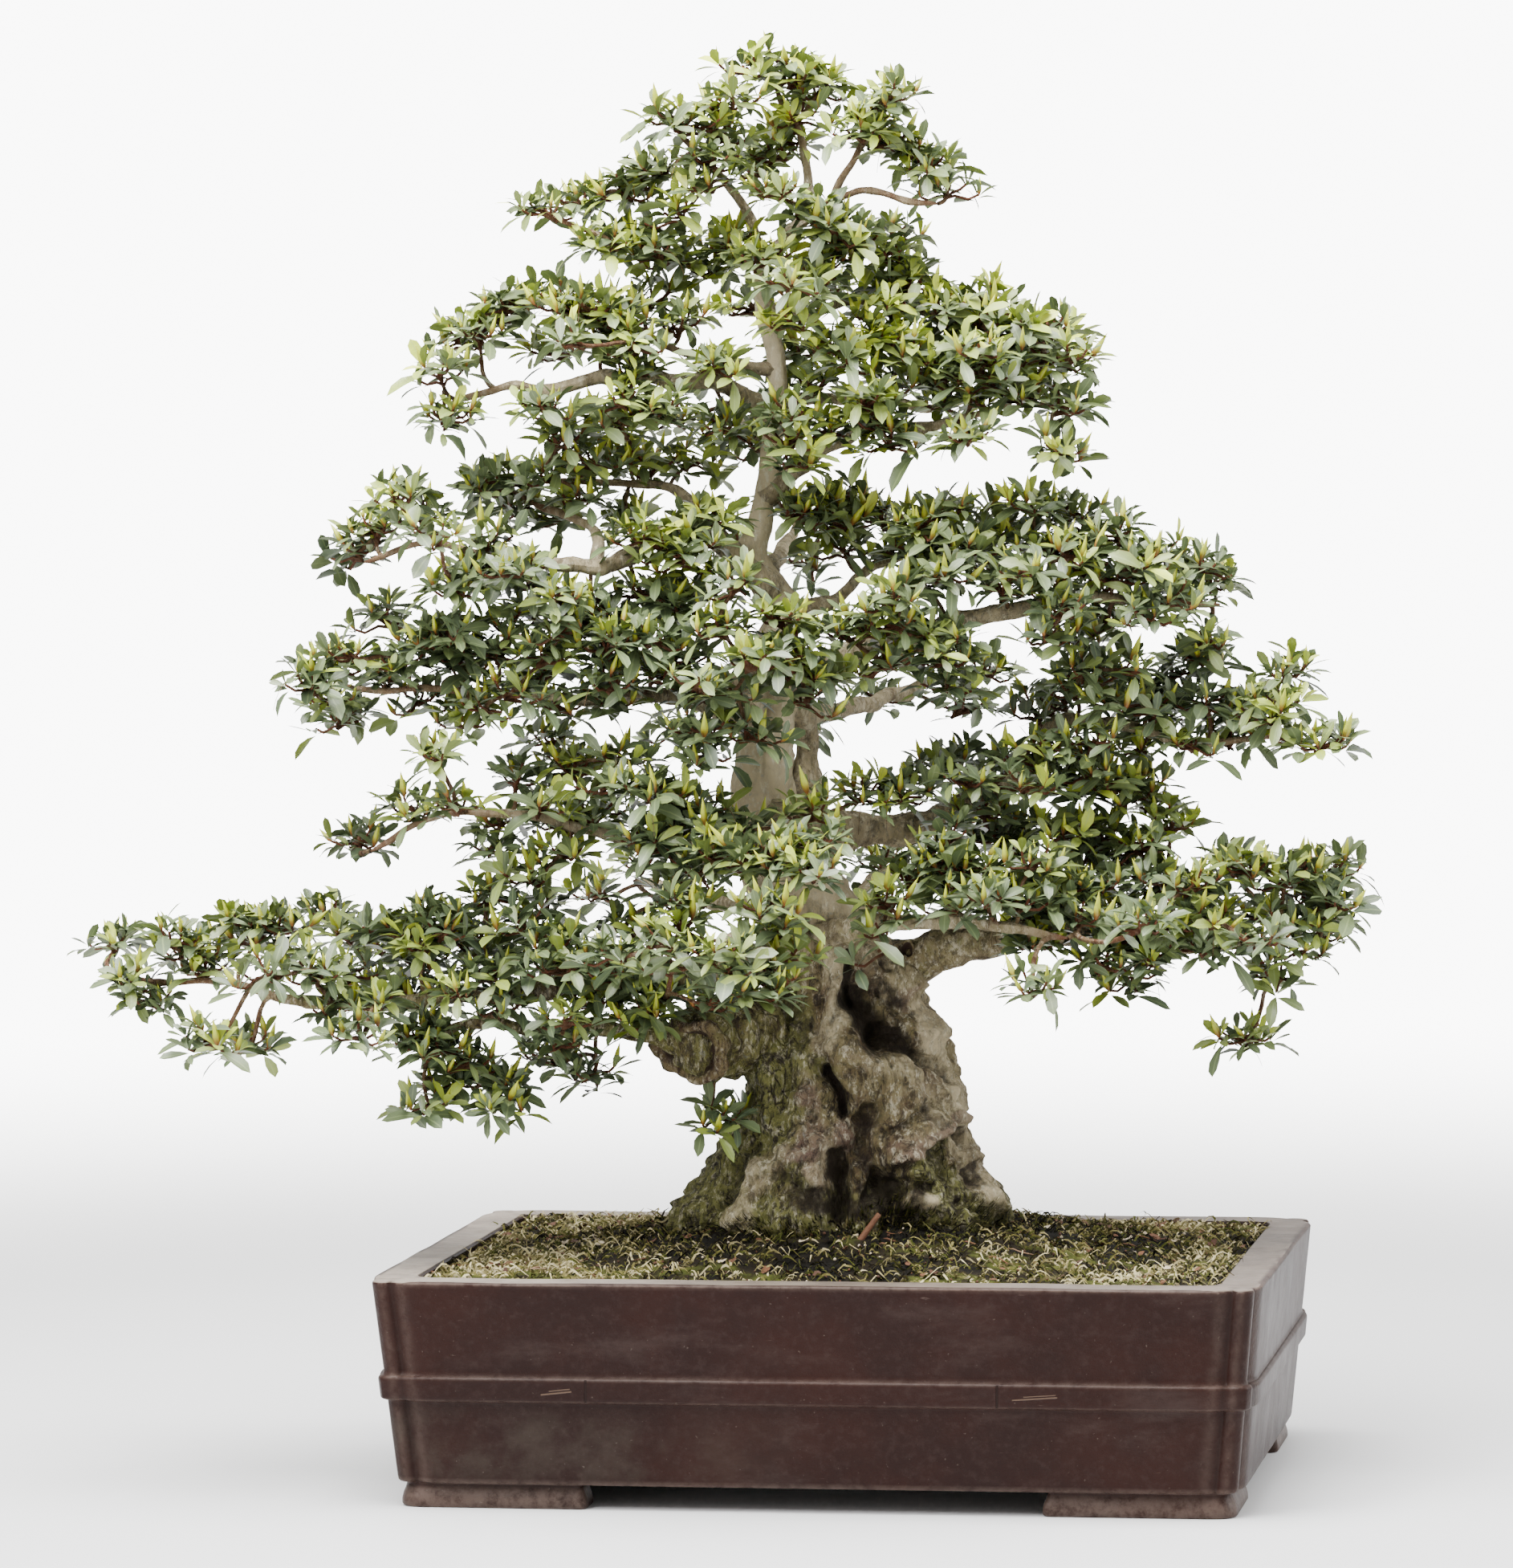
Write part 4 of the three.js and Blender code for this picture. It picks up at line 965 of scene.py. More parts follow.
@dataclass
class Pot:
    """The rectangular stoneware pot: lobed corners, a raised belt with node marks, and bracket feet.

    Attributes:
        width: Its width at the rim.
        depth: Its depth at the rim.
        height: Its height over the feet's soles.
        taper: How far each wall leans in on its way down.
        wall: The walls' thickness.
        rim: The rim's width.
        lip: The rim's thickness.
        floor: The floor's thickness.
        foot_height: The feet's height.
        foot_front: How far a foot reaches along the front.
        foot_side: How far it reaches along the side.
        foot_width: How wide its arms are.
        foot_inset: How far it stands in from the wall's lower edge.
        foot_flare: How far its outline grows at the widest ring.
        foot_rows: Heights of its rings and how far each grows.
        foot_corners: How far its six corners are rounded.
        belt_bottom: The belt's lower edge.
        belt_top: Its upper edge.
        belt_proud: How far it stands out.
        cavity_corner: The radius of the cavity's corners.
        drain_radius: A drain hole's radius.
        drain_sides: Points round it.
        drain_offset: How far it lies from the middle.
        corner_reach: How far a corner's curve reaches along each wall.
        corner_steps: Points on it.
        corner_points: Half of it, as distances along the wall and in from it.
        side_steps: Points along each short side.
        front_steps: Points along each long side.
        rim_round: The radius of the rim's outer edge.
        lip_round: The radius of its inner edge.
        crisp_angle: Edges sharper than this stay crisp, in radians.
        marks: The marks cut into the belt.
    """

    width: float = 540.0
    depth: float = 385.0
    height: float = 138.5
    taper: float = 12.0
    wall: float = 16.0
    rim: float = 27.0
    lip: float = 14.0
    floor: float = 12.0
    foot_height: float = 15.0
    foot_front: float = 112.0
    foot_side: float = 78.0
    foot_width: float = 24.0
    foot_inset: float = 6.0
    foot_flare: float = 2.0
    foot_rows: tuple[tuple[float, float], ...] = (
        (0.0, 0.2), (0.4, 1.3), (1.6, 2.0), (4.5, 1.9), (8.0, 1.0), (11.0, -0.2), (13.4, -0.9),
    )  # fmt: skip
    foot_corners: tuple[float, ...] = (5.0, 15.0, 5.0, 4.0, 4.0, 4.0)
    belt_bottom: float = 66.2
    belt_top: float = 81.5
    belt_proud: float = 3.5
    cavity_corner: float = 14.0
    drain_radius: float = 16.0
    drain_sides: int = 48
    drain_offset: float = 120.0
    corner_reach: float = 34.3
    corner_steps: int = 69
    corner_points: tuple[tuple[float, float], ...] = (
        (44, 0), (39, 0.3), (34.5, 1.0), (30.3, 2.2), (26.6, 3.8), (23.6, 5.4), (21.4, 6.5), (20, 6.8),
        (18.8, 6.2), (17.5, 5.2), (15.6, 4.4), (13.4, 4.1), (11.1, 4.5), (8.9, 5.5), (7.1, 7.1),
    )  # fmt: skip
    side_steps: int = 30
    front_steps: int = 72
    rim_round: float = 2.1
    lip_round: float = 1.6
    crisp_angle: float = math.radians(50)
    marks: tuple[Mark, ...] = (
        Mark((-135.4, 66.5), (-135.0, 80.5), 1.5, upright=True),
        Mark((-163.0, 71.2), (-143.5, 73.4), 1.1),
        Mark((-158.0, 73.4), (-144.5, 74.9), 0.8),
        Mark((113.4, 66.5), (113.8, 80.5), 1.3, upright=True),
        Mark((122.0, 71.6), (150.0, 73.6), 1.0),
        Mark((129.0, 73.6), (149.0, 75.0), 0.7),
    )

    def corner_plan(self, groove: float = 1.0) -> Array:
        """One outer corner in plan, as (distance from the corner along the front, distance in from it).

        A smooth curve through listed points: the face rolls over into a soft groove, and a rounded lobe
        set back from it turns the corner. The second half mirrors the first. `groove` scales how far the
        curve dips under the straight line from the face to the lobe.

        Args:
            groove: How deep the groove is, as a share of its full depth.

        Returns:
            The curve.
        """
        half = np.array(self.corner_points)
        half *= self.corner_reach / half[0, 0]
        straight = np.interp(half[:, 0], [5.5, 10.5, 17.2, 34.3], [5.5, 3.1, 1.9, 0.0])
        half[:, 1] = straight + groove * (half[:, 1] - straight)
        points = np.concatenate([half, half[-2::-1, ::-1]])
        spread = np.linspace(0, len(points) - 1, self.corner_steps)
        return smooth_table(spread, np.arange(len(points)), points)

    def inner_plan(self, count: int) -> Array:
        """One corner of the cavity, a quarter circle that starts as far from the corner as the outer one.

        Args:
            count: Points in it.

        Returns:
            The curve, in the form of corner_plan.
        """
        angle = np.linspace(-0.5 * math.pi, 0.0, count - 2)
        r = self.cavity_corner
        arc = np.stack([r - r * np.cos(angle), r + r * np.sin(angle)], axis=-1)
        return np.concatenate([[(self.corner_reach, 0.0)], arc, [(0.0, self.corner_reach)]])

    def ring(self, plan: Array, inset: float, z: float) -> Array:
        """The outline at one height, anticlockwise from the front right corner.

        Args:
            plan: One corner in plan.
            inset: How far the faces lie in from the rim's outside.
            z: Height.

        Returns:
            The ring's points.
        """
        a, b = self.width / 2 - inset, self.depth / 2 - inset
        back = plan[::-1]
        corners = [
            np.stack([a - plan[:, 0], plan[:, 1] - b], axis=-1),
            np.stack([a - back[:, 0], b - back[:, 1]], axis=-1),
            np.stack([plan[:, 0] - a, b - plan[:, 1]], axis=-1),
            np.stack([back[:, 0] - a, back[:, 1] - b], axis=-1),
        ]
        side, face = (np.linspace(0, 1, n)[1:-1, None] for n in (self.side_steps, self.front_steps))
        parts = []
        for k, share in enumerate((side, face, side, face)):
            start, end = corners[k][-1], corners[(k + 1) % 4][0]
            parts += [corners[k], start + share * (end - start)]
        outline = np.concatenate(parts)
        return np.column_stack([outline, np.full(len(outline), z)])

    def outer_rows(self) -> list[tuple[float, float]]:
        """Heights and insets of the outside: foot edge, wall, belt with a soft top, and rim edge.

        Returns:
            The height and the inset of each ring.
        """
        rows = [(self.foot_height, 2.6), (self.foot_height + 0.4, 1.1), (self.foot_height + 1.6, 0.2)]
        lower, upper, proud = self.belt_bottom, self.belt_top, self.belt_proud
        rows += [(z, 0.0) for z in np.linspace(19.0, lower - 2.4, 10)]
        rows += [(lower - 1.0, 0.0), (lower - 0.4, -0.15 * proud), (lower, -0.6 * proud)]
        rows += [(lower + 0.6, -0.92 * proud)]
        rows += [(z, -proud) for z in np.linspace(lower + 1.5, upper - 4.0, 7)]
        angle = np.linspace(0.0, 0.5 * math.pi, 8)
        rows += [(upper - 3.2 + 3.0 * math.sin(t), -proud * (0.25 + 0.75 * math.cos(t))) for t in angle]
        rows += [(upper + 1.0, -0.10 * proud), (upper + 2.6, 0.0)]
        rows += [(z, 0.0) for z in np.linspace(upper + 5.0, self.height - 3.6, 10)]
        top, turn = self.height, self.rim_round
        rows += [(top - turn + turn * math.sin(t), turn * (1 - math.cos(t))) for t in angle]
        return rows

    def body(self) -> Array:
        """The pot's skin as rings: up the outside, in over the rim and down the inside.

        The inset at height z is taper * (height - z) / (height - foot) plus the row's own. On the belt the
        corner's grooves are shallow. The walls get a faint unevenness.

        Returns:
            Points with the axes (ring, side, xyz).
        """
        rows, span = self.outer_rows(), self.height - self.foot_height
        lean = lambda z: self.taper * (self.height - z) / span
        rings = []
        for z, inset in rows:
            groove = 1.0 - 0.62 * min(1.0, max(0.0, -inset / self.belt_proud))
            rings.append(self.ring(self.corner_plan(groove), lean(z) + inset, z))
        inner = self.inner_plan(self.corner_steps)
        edge, turn = rings[-1], self.lip_round
        inside = self.ring(inner, self.rim - turn, self.height)
        rings += [edge + share * (inside - edge) for share in (0.12, 0.35, 0.6, 0.85, 1.0)]
        bends = [(self.rim - turn * math.cos(t), self.height - turn * math.sin(t)) for t in (0.5, 1.0, 1.57)]
        rings += [self.ring(inner, inset, z) for inset, z in bends]
        shoulder = self.height - self.lip
        rings += [self.ring(inner, self.rim, z) for z in np.linspace(self.height - 4, shoulder, 3)]
        rings += [self.ring(inner, lean(shoulder) + self.wall, shoulder - 3.0)]
        base = self.foot_height + self.floor
        rings += [self.ring(inner, lean(base) + self.wall, z) for z in np.linspace(shoulder - 20, base, 4)]
        return self.hand_worked(np.stack(rings), len(rows))

    def hand_worked(self, grid: Array, outer_count: int) -> Array:
        """Adds the unevenness of a hand-finished wall, rim and belt.

        Args:
            grid: The skin.
            outer_count: How many of its rings lie outside.

        Returns:
            The skin with its unevenness.
        """
        swell = 0.40 * lattice_noise(grid, 70.0, Seed.WALL_SWELL)
        swell = swell + 0.14 * lattice_noise(grid, 16.0, Seed.WALL_GRAIN)
        outward = unit(grid * np.array([1.0 / self.width**2, 1.0 / self.depth**2, 0.0]))
        grid = grid + outward * swell[..., None]
        rim = slice(outer_count - 8, outer_count + 7)
        grid[rim, :, 2] += 0.45 * lattice_noise(grid[rim], 45.0, Seed.RIM_WAVE)
        return grid

    def foot(self, mirror_x: int, mirror_y: int) -> Array:
        """One bracket foot: its rounded outline from the sole, which flares a little, up into the wall.

        Args:
            mirror_x: 1 for the right side, -1 for the left.
            mirror_y: 1 for the front, -1 for the rear.

        Returns:
            Points with the axes (ring, side, xyz).
        """
        x = self.width / 2 - self.taper - self.foot_inset
        y = -(self.depth / 2 - self.taper - self.foot_inset)
        rings = []
        for z, grow in (*self.foot_rows, (self.foot_height + 1.5, 0.4)):
            grow = grow * self.foot_flare / 2.0
            left, front, right = x - self.foot_front - grow, y - grow, x + grow
            far, inner_x, inner_y = y + self.foot_side + grow, x - self.foot_width, y + self.foot_width
            corners = [(left, front), (right, front), (right, far), (inner_x, far), (inner_x, inner_y)]
            outline = rounded_polygon(np.array([*corners, (left, inner_y)]), np.array(self.foot_corners), 8)
            outline = outline * np.array([mirror_x, mirror_y])
            outline = outline if mirror_x * mirror_y > 0 else outline[::-1]
            rings.append(np.column_stack([outline, np.full(len(outline), z)]))
        grid = np.stack(rings)
        grid[1:, :, :2] += 0.4 * lattice_noise(grid, 18.0, Seed.FOOT)[1:, :, None] * unit(grid[1:, :, :2])
        return grid

    def drain(self, side: int) -> Array:
        """The plug of air that a drain hole takes out of the floor.

        Args:
            side: 1 for the right hole, -1 for the left.

        Returns:
            Points with the axes (ring, side, xyz).
        """
        z = np.array([self.foot_height - 6.0, self.foot_height + self.floor + 6.0])
        centres = np.stack([np.full(2, side * self.drain_offset), np.zeros(2), z], axis=-1)
        return tube_grid(centres, np.full(2, self.drain_radius), self.drain_sides)

    def wear_and_painted_light(self, points: Array) -> tuple[Array, ...]:
        """How worn and how lit by painted highlights, how dusty and lit by painted sheen, how green and how
        deep in painted shade each point is, by its height and place.

        The corners' rolled edges and lobes get pale painted highlights, and painted shade lies in the grooves
        between them and on the inner wall.

        Args:
            points: Points in the pot's axes.

        Returns:
            The four values, each from 0 to 1.
        """
        x, y, z = points[:, 0], points[:, 1], points[:, 2]
        hill = lambda values, middle, width: np.exp(-(((values - middle) / width) ** 2))
        ridge = lambda level, width: hill(z, level, width)
        inset = np.minimum(self.width / 2 - np.abs(x), self.depth / 2 - np.abs(y))
        outside = inset < 22
        # Pale lines on the rim edge, the belt's edges and the wall's lower edge: wear with painted highlight;
        # the feet are worn pale.
        worn = 0.42 * ridge(self.height - 0.6, 1.1) * (inset < 4)
        worn = worn + 0.25 * ridge(self.belt_top - 0.6, 1.3) * outside
        worn += 0.22 * ridge(self.belt_bottom + 0.3, 0.7) * outside + 0.4 * ridge(self.foot_height + 0.8, 1.1)
        worn += 0.40 * ease(z, 14.0, 10.0) + 0.25 * ease(z, 1.6, 0.2)
        # The rim's top: dust and painted sheen, paler to the left where the light falls.
        dusty = ease(z, self.height - 0.9, self.height - 0.2) * (inset > 2.2) * (inset < self.rim + 1)
        dusty *= 0.50 + 0.50 * ease(x, 60.0, -230.0)
        lean = self.taper * (self.height - z) / (self.height - self.foot_height)
        along = np.maximum(self.width / 2 - lean - np.abs(x), self.depth / 2 - lean - np.abs(y))
        wall = outside * (z > self.foot_height)
        # Painted highlights on the corners' rolled edges and lobes.
        worn += wall * (0.12 * hill(along, 22.0, 3.5) + 0.14 * hill(along, 10.0, 2.5))
        # Painted shade in the corners' grooves and on the inner wall.
        grimy = wall * hill(along, 15.9, 1.8) + 0.8 * (inset > self.rim) * (z > 30.0)
        low_left = 0.6 * ease(x, 20.0, -150.0) * ease(z, 70.0, 48.0) * ease(z, 10.0, 26.0)
        return np.clip(worn, 0, 1), dusty, low_left, grimy

    def build(self, place: Placement, finish: StonewareFinish) -> Piece:
        """Makes the pot with its drain holes cut and its feet under it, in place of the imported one.

        Args:
            place: Where the pot stands and how the tree is turned.
            finish: The stoneware's finish.

        Returns:
            The pot without its feet.
        """
        material = finish.material(self.marks, place)
        sheaf = Sheaf()
        sheaf.add_tube(self.body())
        pot = sheaf.build("fine_pot", place.pot, material)
        plugs = Sheaf()
        for side in (-1, 1):
            plugs.add_tube(self.drain(side))
        cutter = plugs.build("drain_plugs", place.pot, material)
        cut = pot.modifiers.new("drain holes", "BOOLEAN")
        cut.operation, cut.object, cut.solver = "DIFFERENCE", cutter, "EXACT"
        feet = Sheaf()
        for mirror_x, mirror_y in ((1, 1), (-1, 1), (1, -1), (-1, -1)):
            feet.add_tube(self.foot(mirror_x, mirror_y))
        stand = feet.build("pot_feet", place.pot, material)
        bpy.context.view_layer.update()
        whole = bpy.data.meshes.new_from_object(pot.evaluated_get(bpy.context.evaluated_depsgraph_get()))
        pot.modifiers.clear()
        pot.data = whole
        bpy.data.objects.remove(cutter)
        for piece in (pot, stand):
            self.dress(piece, place)
            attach(piece, "root")
            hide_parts("pot")
        return pot

    def dress(self, piece: Piece, place: Placement) -> None:
        """Gives the piece its wear, dust and painted light values and shades its faces smooth, with crisp
        edges kept.

        Args:
            piece: The pot or its feet.
            place: Where the pot stands and how the tree is turned.
        """
        count = len(piece.data.vertices)
        flat = np.empty(count * 3, dtype=np.float32)
        piece.data.vertices.foreach_get("co", flat)
        points = flat.reshape(-1, 3) / MM - np.array([*place.centre, 0.0])
        for name, values in zip(("worn", "dusty", "low_left", "grimy"), self.wear_and_painted_light(points)):
            set_value(piece.data, name, values)
        piece.data.set_sharp_from_angle(angle=self.crisp_angle)


# ---------------------------------------------------------------- moss and what lies on it


@dataclass
class Ground:
    """The mounded ground inside the rim, and whatever grows or lies on it.

    Attributes:
        half_width: Half the inner rim's width.
        half_depth: Half its depth.
        level: The ground's height in the middle line, away from the tree.
        rise_outwards: How far it rises for each millimetre towards the long sides.
        rise: How far it swells up at the tree.
        spread: How wide that swelling is.
        corner: The radius of the inner rim's corners.
        edge_gap: How far the mat stays from the rim.
        skirt: How far its edge reaches down.
        clump: How high the moss's clumps are.
        strands: Places for fine shoots on the mat.
        scraps: Fallen leaves and scraps.
        grains: Crumbs and grit.
        climbers: Places for shoots on the roots.
        sticks: Thin sticks.
        rays: Points in each of the mat's rings.
        rings: The mat's rings.
        strand_widths: A shoot's width along it, as shares.
        strand_tones: How its tone changes along it.
        stick_path: The standing stick's points, in the tree's axes.
    """

    half_width: float = 243.0
    half_depth: float = 165.5
    level: float = 134.5
    rise_outwards: float = 0.024
    rise: float = 27.0
    spread: float = 170.0
    corner: float = 14.0
    edge_gap: float = 1.2
    skirt: float = 26.0
    clump: float = 2.6
    strands: int = 13000
    scraps: int = 260
    grains: int = 620
    climbers: int = 4600
    sticks: int = 46
    rays: int = 244
    rings: int = 74
    strand_widths: tuple[float, ...] = (0.9, 1.0, 0.9, 0.8, 0.5, 0.1)
    strand_tones: tuple[float, ...] = (-0.30, -0.10, 0.0, 0.06, 0.10, 0.12)
    stick_path: tuple[Point, ...] = ((-6.0, -94, 142), (2.0, -92, 154), (14.0, -88, 170))

    def height(self, x: Array, y: Array) -> Array:
        """The ground's plain height: it rises a little to the long sides and swells round the tree.

        Args:
            x: Places along the front.
            y: Places in depth.

        Returns:
            The heights.
        """
        out = np.minimum(1.0, np.hypot(x / self.half_width, y / self.half_depth))
        swell = self.rise * (1 - out**4) * np.exp(-((np.hypot(x, y) / self.spread) ** 2))
        return self.level + self.rise_outwards * np.abs(y) + swell

    def edge_distance(self, x: Array, y: Array) -> Array:
        """Distance in from the rim's rounded inner rectangle, less than zero outside it.

        Args:
            x: Places along the front.
            y: Places in depth.

        Returns:
            The distances.
        """
        over_x = np.abs(x) - (self.half_width - self.corner)
        over_y = np.abs(y) - (self.half_depth - self.corner)
        beyond = np.hypot(np.maximum(over_x, 0), np.maximum(over_y, 0))
        return self.corner - beyond - np.minimum(np.maximum(over_x, over_y), 0)

    def surface(self, x: Array, y: Array) -> Array:
        """The mat's own height: the plain height with cushions, clumps and a sunken edge.

        Args:
            x: Places along the front.
            y: Places in depth.

        Returns:
            The heights.
        """
        flat = np.stack([x, y, np.zeros_like(x)], axis=-1)
        clumps = self.clump * 0.55 * rough_noise(flat, 11.0, Seed.CLUMPS)
        cushions = 1.6 * lattice_noise(flat, 34.0, Seed.CUSHIONS) + clumps
        edge = self.edge_distance(x, y)
        sunk = 3.2 * ease(edge, 9.0, 1.0) * (0.75 + 0.5 * lattice_noise(flat, 15.0, Seed.SUNK_EDGE))
        return self.height(x, y) + cushions * ease(edge, 0.0, 14.0) - sunk - 0.4

    def patch_tone(self, points: Array) -> Array:
        """The mat's colour scale from place to place: straw, brown and green stretches, dark by the tree.

        Args:
            points: Points in the pot's axes.

        Returns:
            About 0 for dark soil to about 1 for pale straw.
        """
        flat = points * LEVEL
        tone = 0.50 + 0.25 * lattice_noise(flat, 46.0, Seed.MOSS_STRETCHES)
        tone = tone + 0.26 * rough_noise(flat, 13.0, Seed.MOSS_PATCHES, 2)
        near = np.hypot(flat[..., 0], 1.25 * flat[..., 1])
        tone = tone - 0.32 * ease(near, 118.0, 72.0) - 0.36 * ease(near, 235.0, 140.0)
        return tone + 0.12 * ease(flat[..., 0], -60.0, -170.0)

    def mat(self, sheaf: Sheaf) -> None:
        """Adds the closed mat.

        Rings of the rim's rounded rectangle shrink towards the tree; the share t of the way out has its
        points at t^0.85 of the outline. The last rings turn down inside the rim and close below.

        Args:
            sheaf: Gathers the points.
        """
        angle = np.linspace(0, TAU, self.rays, endpoint=False)
        reach = self.outline(angle)
        share = np.linspace(0.2, 1.0, self.rings) ** 0.85
        x = share[:, None] * reach[None, :, 0]
        y = share[:, None] * reach[None, :, 1]
        top = np.stack([x, y, self.surface(x, y)], axis=-1)
        drops = np.array([1.5, 5.0, self.skirt])
        side = np.repeat(top[-1:], 3, axis=0) - np.stack([np.zeros(3), np.zeros(3), drops], axis=-1)[:, None]
        tone = np.concatenate([self.patch_tone(top) - 0.19, np.full((3, len(angle)), 0.05)])
        # Painted shade in the mat's dips between clumps; the mat is also darker close to the rim.
        hollow_shade = np.clip(-0.10 * rough_noise(top * LEVEL, 11.0, Seed.CLUMPS), -0.1, 0.12)
        tone[: len(top)] -= hollow_shade + 0.35 * ease(self.edge_distance(x, y), 5.0, 0.5)
        grid = np.concatenate([top, side])
        sheaf.add_tube(grid, tone=np.clip(tone, 0.0, 1.0))

    def outline(self, angle: Array) -> Array:
        """The mat's outer edge: where rays from the middle meet the rounded rectangle, less a narrow gap.

        A ray of angle a is followed to the plain rectangle, then drawn back until its distance to the
        rounded edge is the gap.

        Args:
            angle: Angles of the rays.

        Returns:
            The edge as (x, y) at each angle.
        """
        ray = np.stack([np.cos(angle), np.sin(angle)], axis=-1)
        with np.errstate(divide="ignore"):
            length = np.minimum(self.half_width / np.abs(ray[:, 0]), self.half_depth / np.abs(ray[:, 1]))
        for _ in range(8):
            short = self.edge_gap - self.edge_distance(length * ray[:, 0], length * ray[:, 1])
            length = length - np.maximum(short, 0.0)
        return ray * length[:, None]

    def spots(self, count: int, seed: int, margin: float) -> Array:
        """Evenly scattered places on the mat, at least `margin` from its edge, by rejection.

        Args:
            count: How many at most.
            seed: Where the draw starts.
            margin: The least distance from the edge.

        Returns:
            Points on the mat's surface.
        """
        rng = np.random.default_rng(seed)
        x = rng.uniform(-self.half_width, self.half_width, 3 * count)
        y = rng.uniform(-self.half_depth, self.half_depth, 3 * count)
        kept = np.flatnonzero(self.edge_distance(x, y) > margin)[:count]
        return np.stack([x[kept], y[kept], self.surface(x[kept], y[kept])], axis=-1)

    def strand_fan(self, sheaf: Sheaf) -> None:
        """Adds the moss's fine shoots.

        Each is a narrow ribbon of six stations: its heading turns by curl s along it, its climb falls from
        `rise` to less than nothing and wavers like a sine, and the points are the running sum of those steps.

        Args:
            sheaf: Gathers the points.
        """
        rng = np.random.default_rng(Seed.SHOOTS)
        foot = self.spots(self.strands, Seed.SHOOT_SPOTS, 1.5) - 0.8 * UP
        count = len(foot)
        length = rng.uniform(6.0, 18.0, count) * (1.0 + 0.35 * lattice_noise(foot, 24.0, Seed.SHOOT_LENGTH))
        s = np.linspace(0.0, 1.0, 6)[None, :]
        turn = rng.uniform(0, TAU, count)[:, None] + rng.normal(0.0, 2.6, count)[:, None] * s
        rise = rng.uniform(0.55, 1.3, count)[:, None] * ease(length, 20.0, 3.0)[:, None] * (1.0 - 1.9 * s)
        waves, start = rng.uniform(0.5, 1.5, (count, 1)), rng.random((count, 1))
        rise = rise + 0.9 * np.sin(TAU * (waves * s + start))
        steps = np.stack([np.cos(turn), np.sin(turn), rise], axis=-1)
        path = foot[:, None] + 0.2 * length[:, None, None] * (np.cumsum(steps, axis=1) - steps[:, :1])
        roll = rng.uniform(0, math.pi, count)[:, None, None]
        level = np.stack([-np.sin(turn), np.cos(turn), np.zeros_like(turn)], axis=-1)
        side = level * np.cos(roll) + UP * np.sin(roll)
        width = rng.uniform(0.36, 0.92, count)[:, None, None] * np.array(self.strand_widths)[None, :, None]
        ribbon = np.stack([path - side * width, path + side * width], axis=2)
        dry = rng.random(count) < 0.68
        straw = np.where(dry, rng.normal(0.33, 0.18, count), rng.normal(0.0, 0.16, count))
        tone = self.patch_tone(foot) + straw
        sheaf.add_grids(ribbon, wrap=False, tone=np.clip(tone[:, None] + np.array(self.strand_tones), 0, 1))

    def climbing_moss(self, sheaf: Sheaf, stump: Stump, place: Placement) -> None:
        """Adds short dark shoots that climb the foot of the roots.

        Each is a narrow ribbon of four stations; at the share s of its length L it has come L s outwards
        from the bark and L s^2 along its droop.

        Args:
            sheaf: Gathers the points.
            stump: The trunk that they grow on.
            place: Where the pot stands and how the tree is turned.
        """
        rng = np.random.default_rng(Seed.CLIMBERS)
        count = self.climbers
        in_front = rng.random(count) < 0.6
        angle = np.where(in_front, rng.uniform(3.4, 6.1, count), rng.uniform(0, TAU, count))
        z = 150 + 40 * rng.beta(1.0, 2.2, count)
        foot, outward = (place.tree_to_pot(part) for part in stump.skin(angle, z))
        patch = lattice_noise(foot, 17.0, Seed.CLIMBER_PATCHES)
        patch = patch + 0.5 * lattice_noise(foot, 7.0, Seed.CLIMBER_GAPS)
        kept = patch > ease(z, 150.0, 186.0) * 1.2 - 0.55
        foot, outward = foot[kept], outward[kept]
        count = len(foot)
        length = rng.uniform(3.0, 8.5, count)[:, None, None]
        s = np.array([0.0, 0.35, 0.7, 1.0])[None, :, None]
        droop = UP * rng.uniform(-0.2, 0.9, count)[:, None, None]
        path = foot[:, None] - 0.3 * outward[:, None] + length * (s * outward[:, None] + s * s * droop)
        side = unit(np.cross(outward, UP))[:, None]
        width = rng.uniform(0.35, 0.8, count)[:, None, None] * np.array([1.0, 0.9, 0.6, 0.1])[None, :, None]
        ribbon = np.stack([path - side * width, path + side * width], axis=2)
        sheaf.add_grids(ribbon, wrap=False, tone=np.clip(rng.normal(0.40, 0.20, count), 0, 1)[:, None])

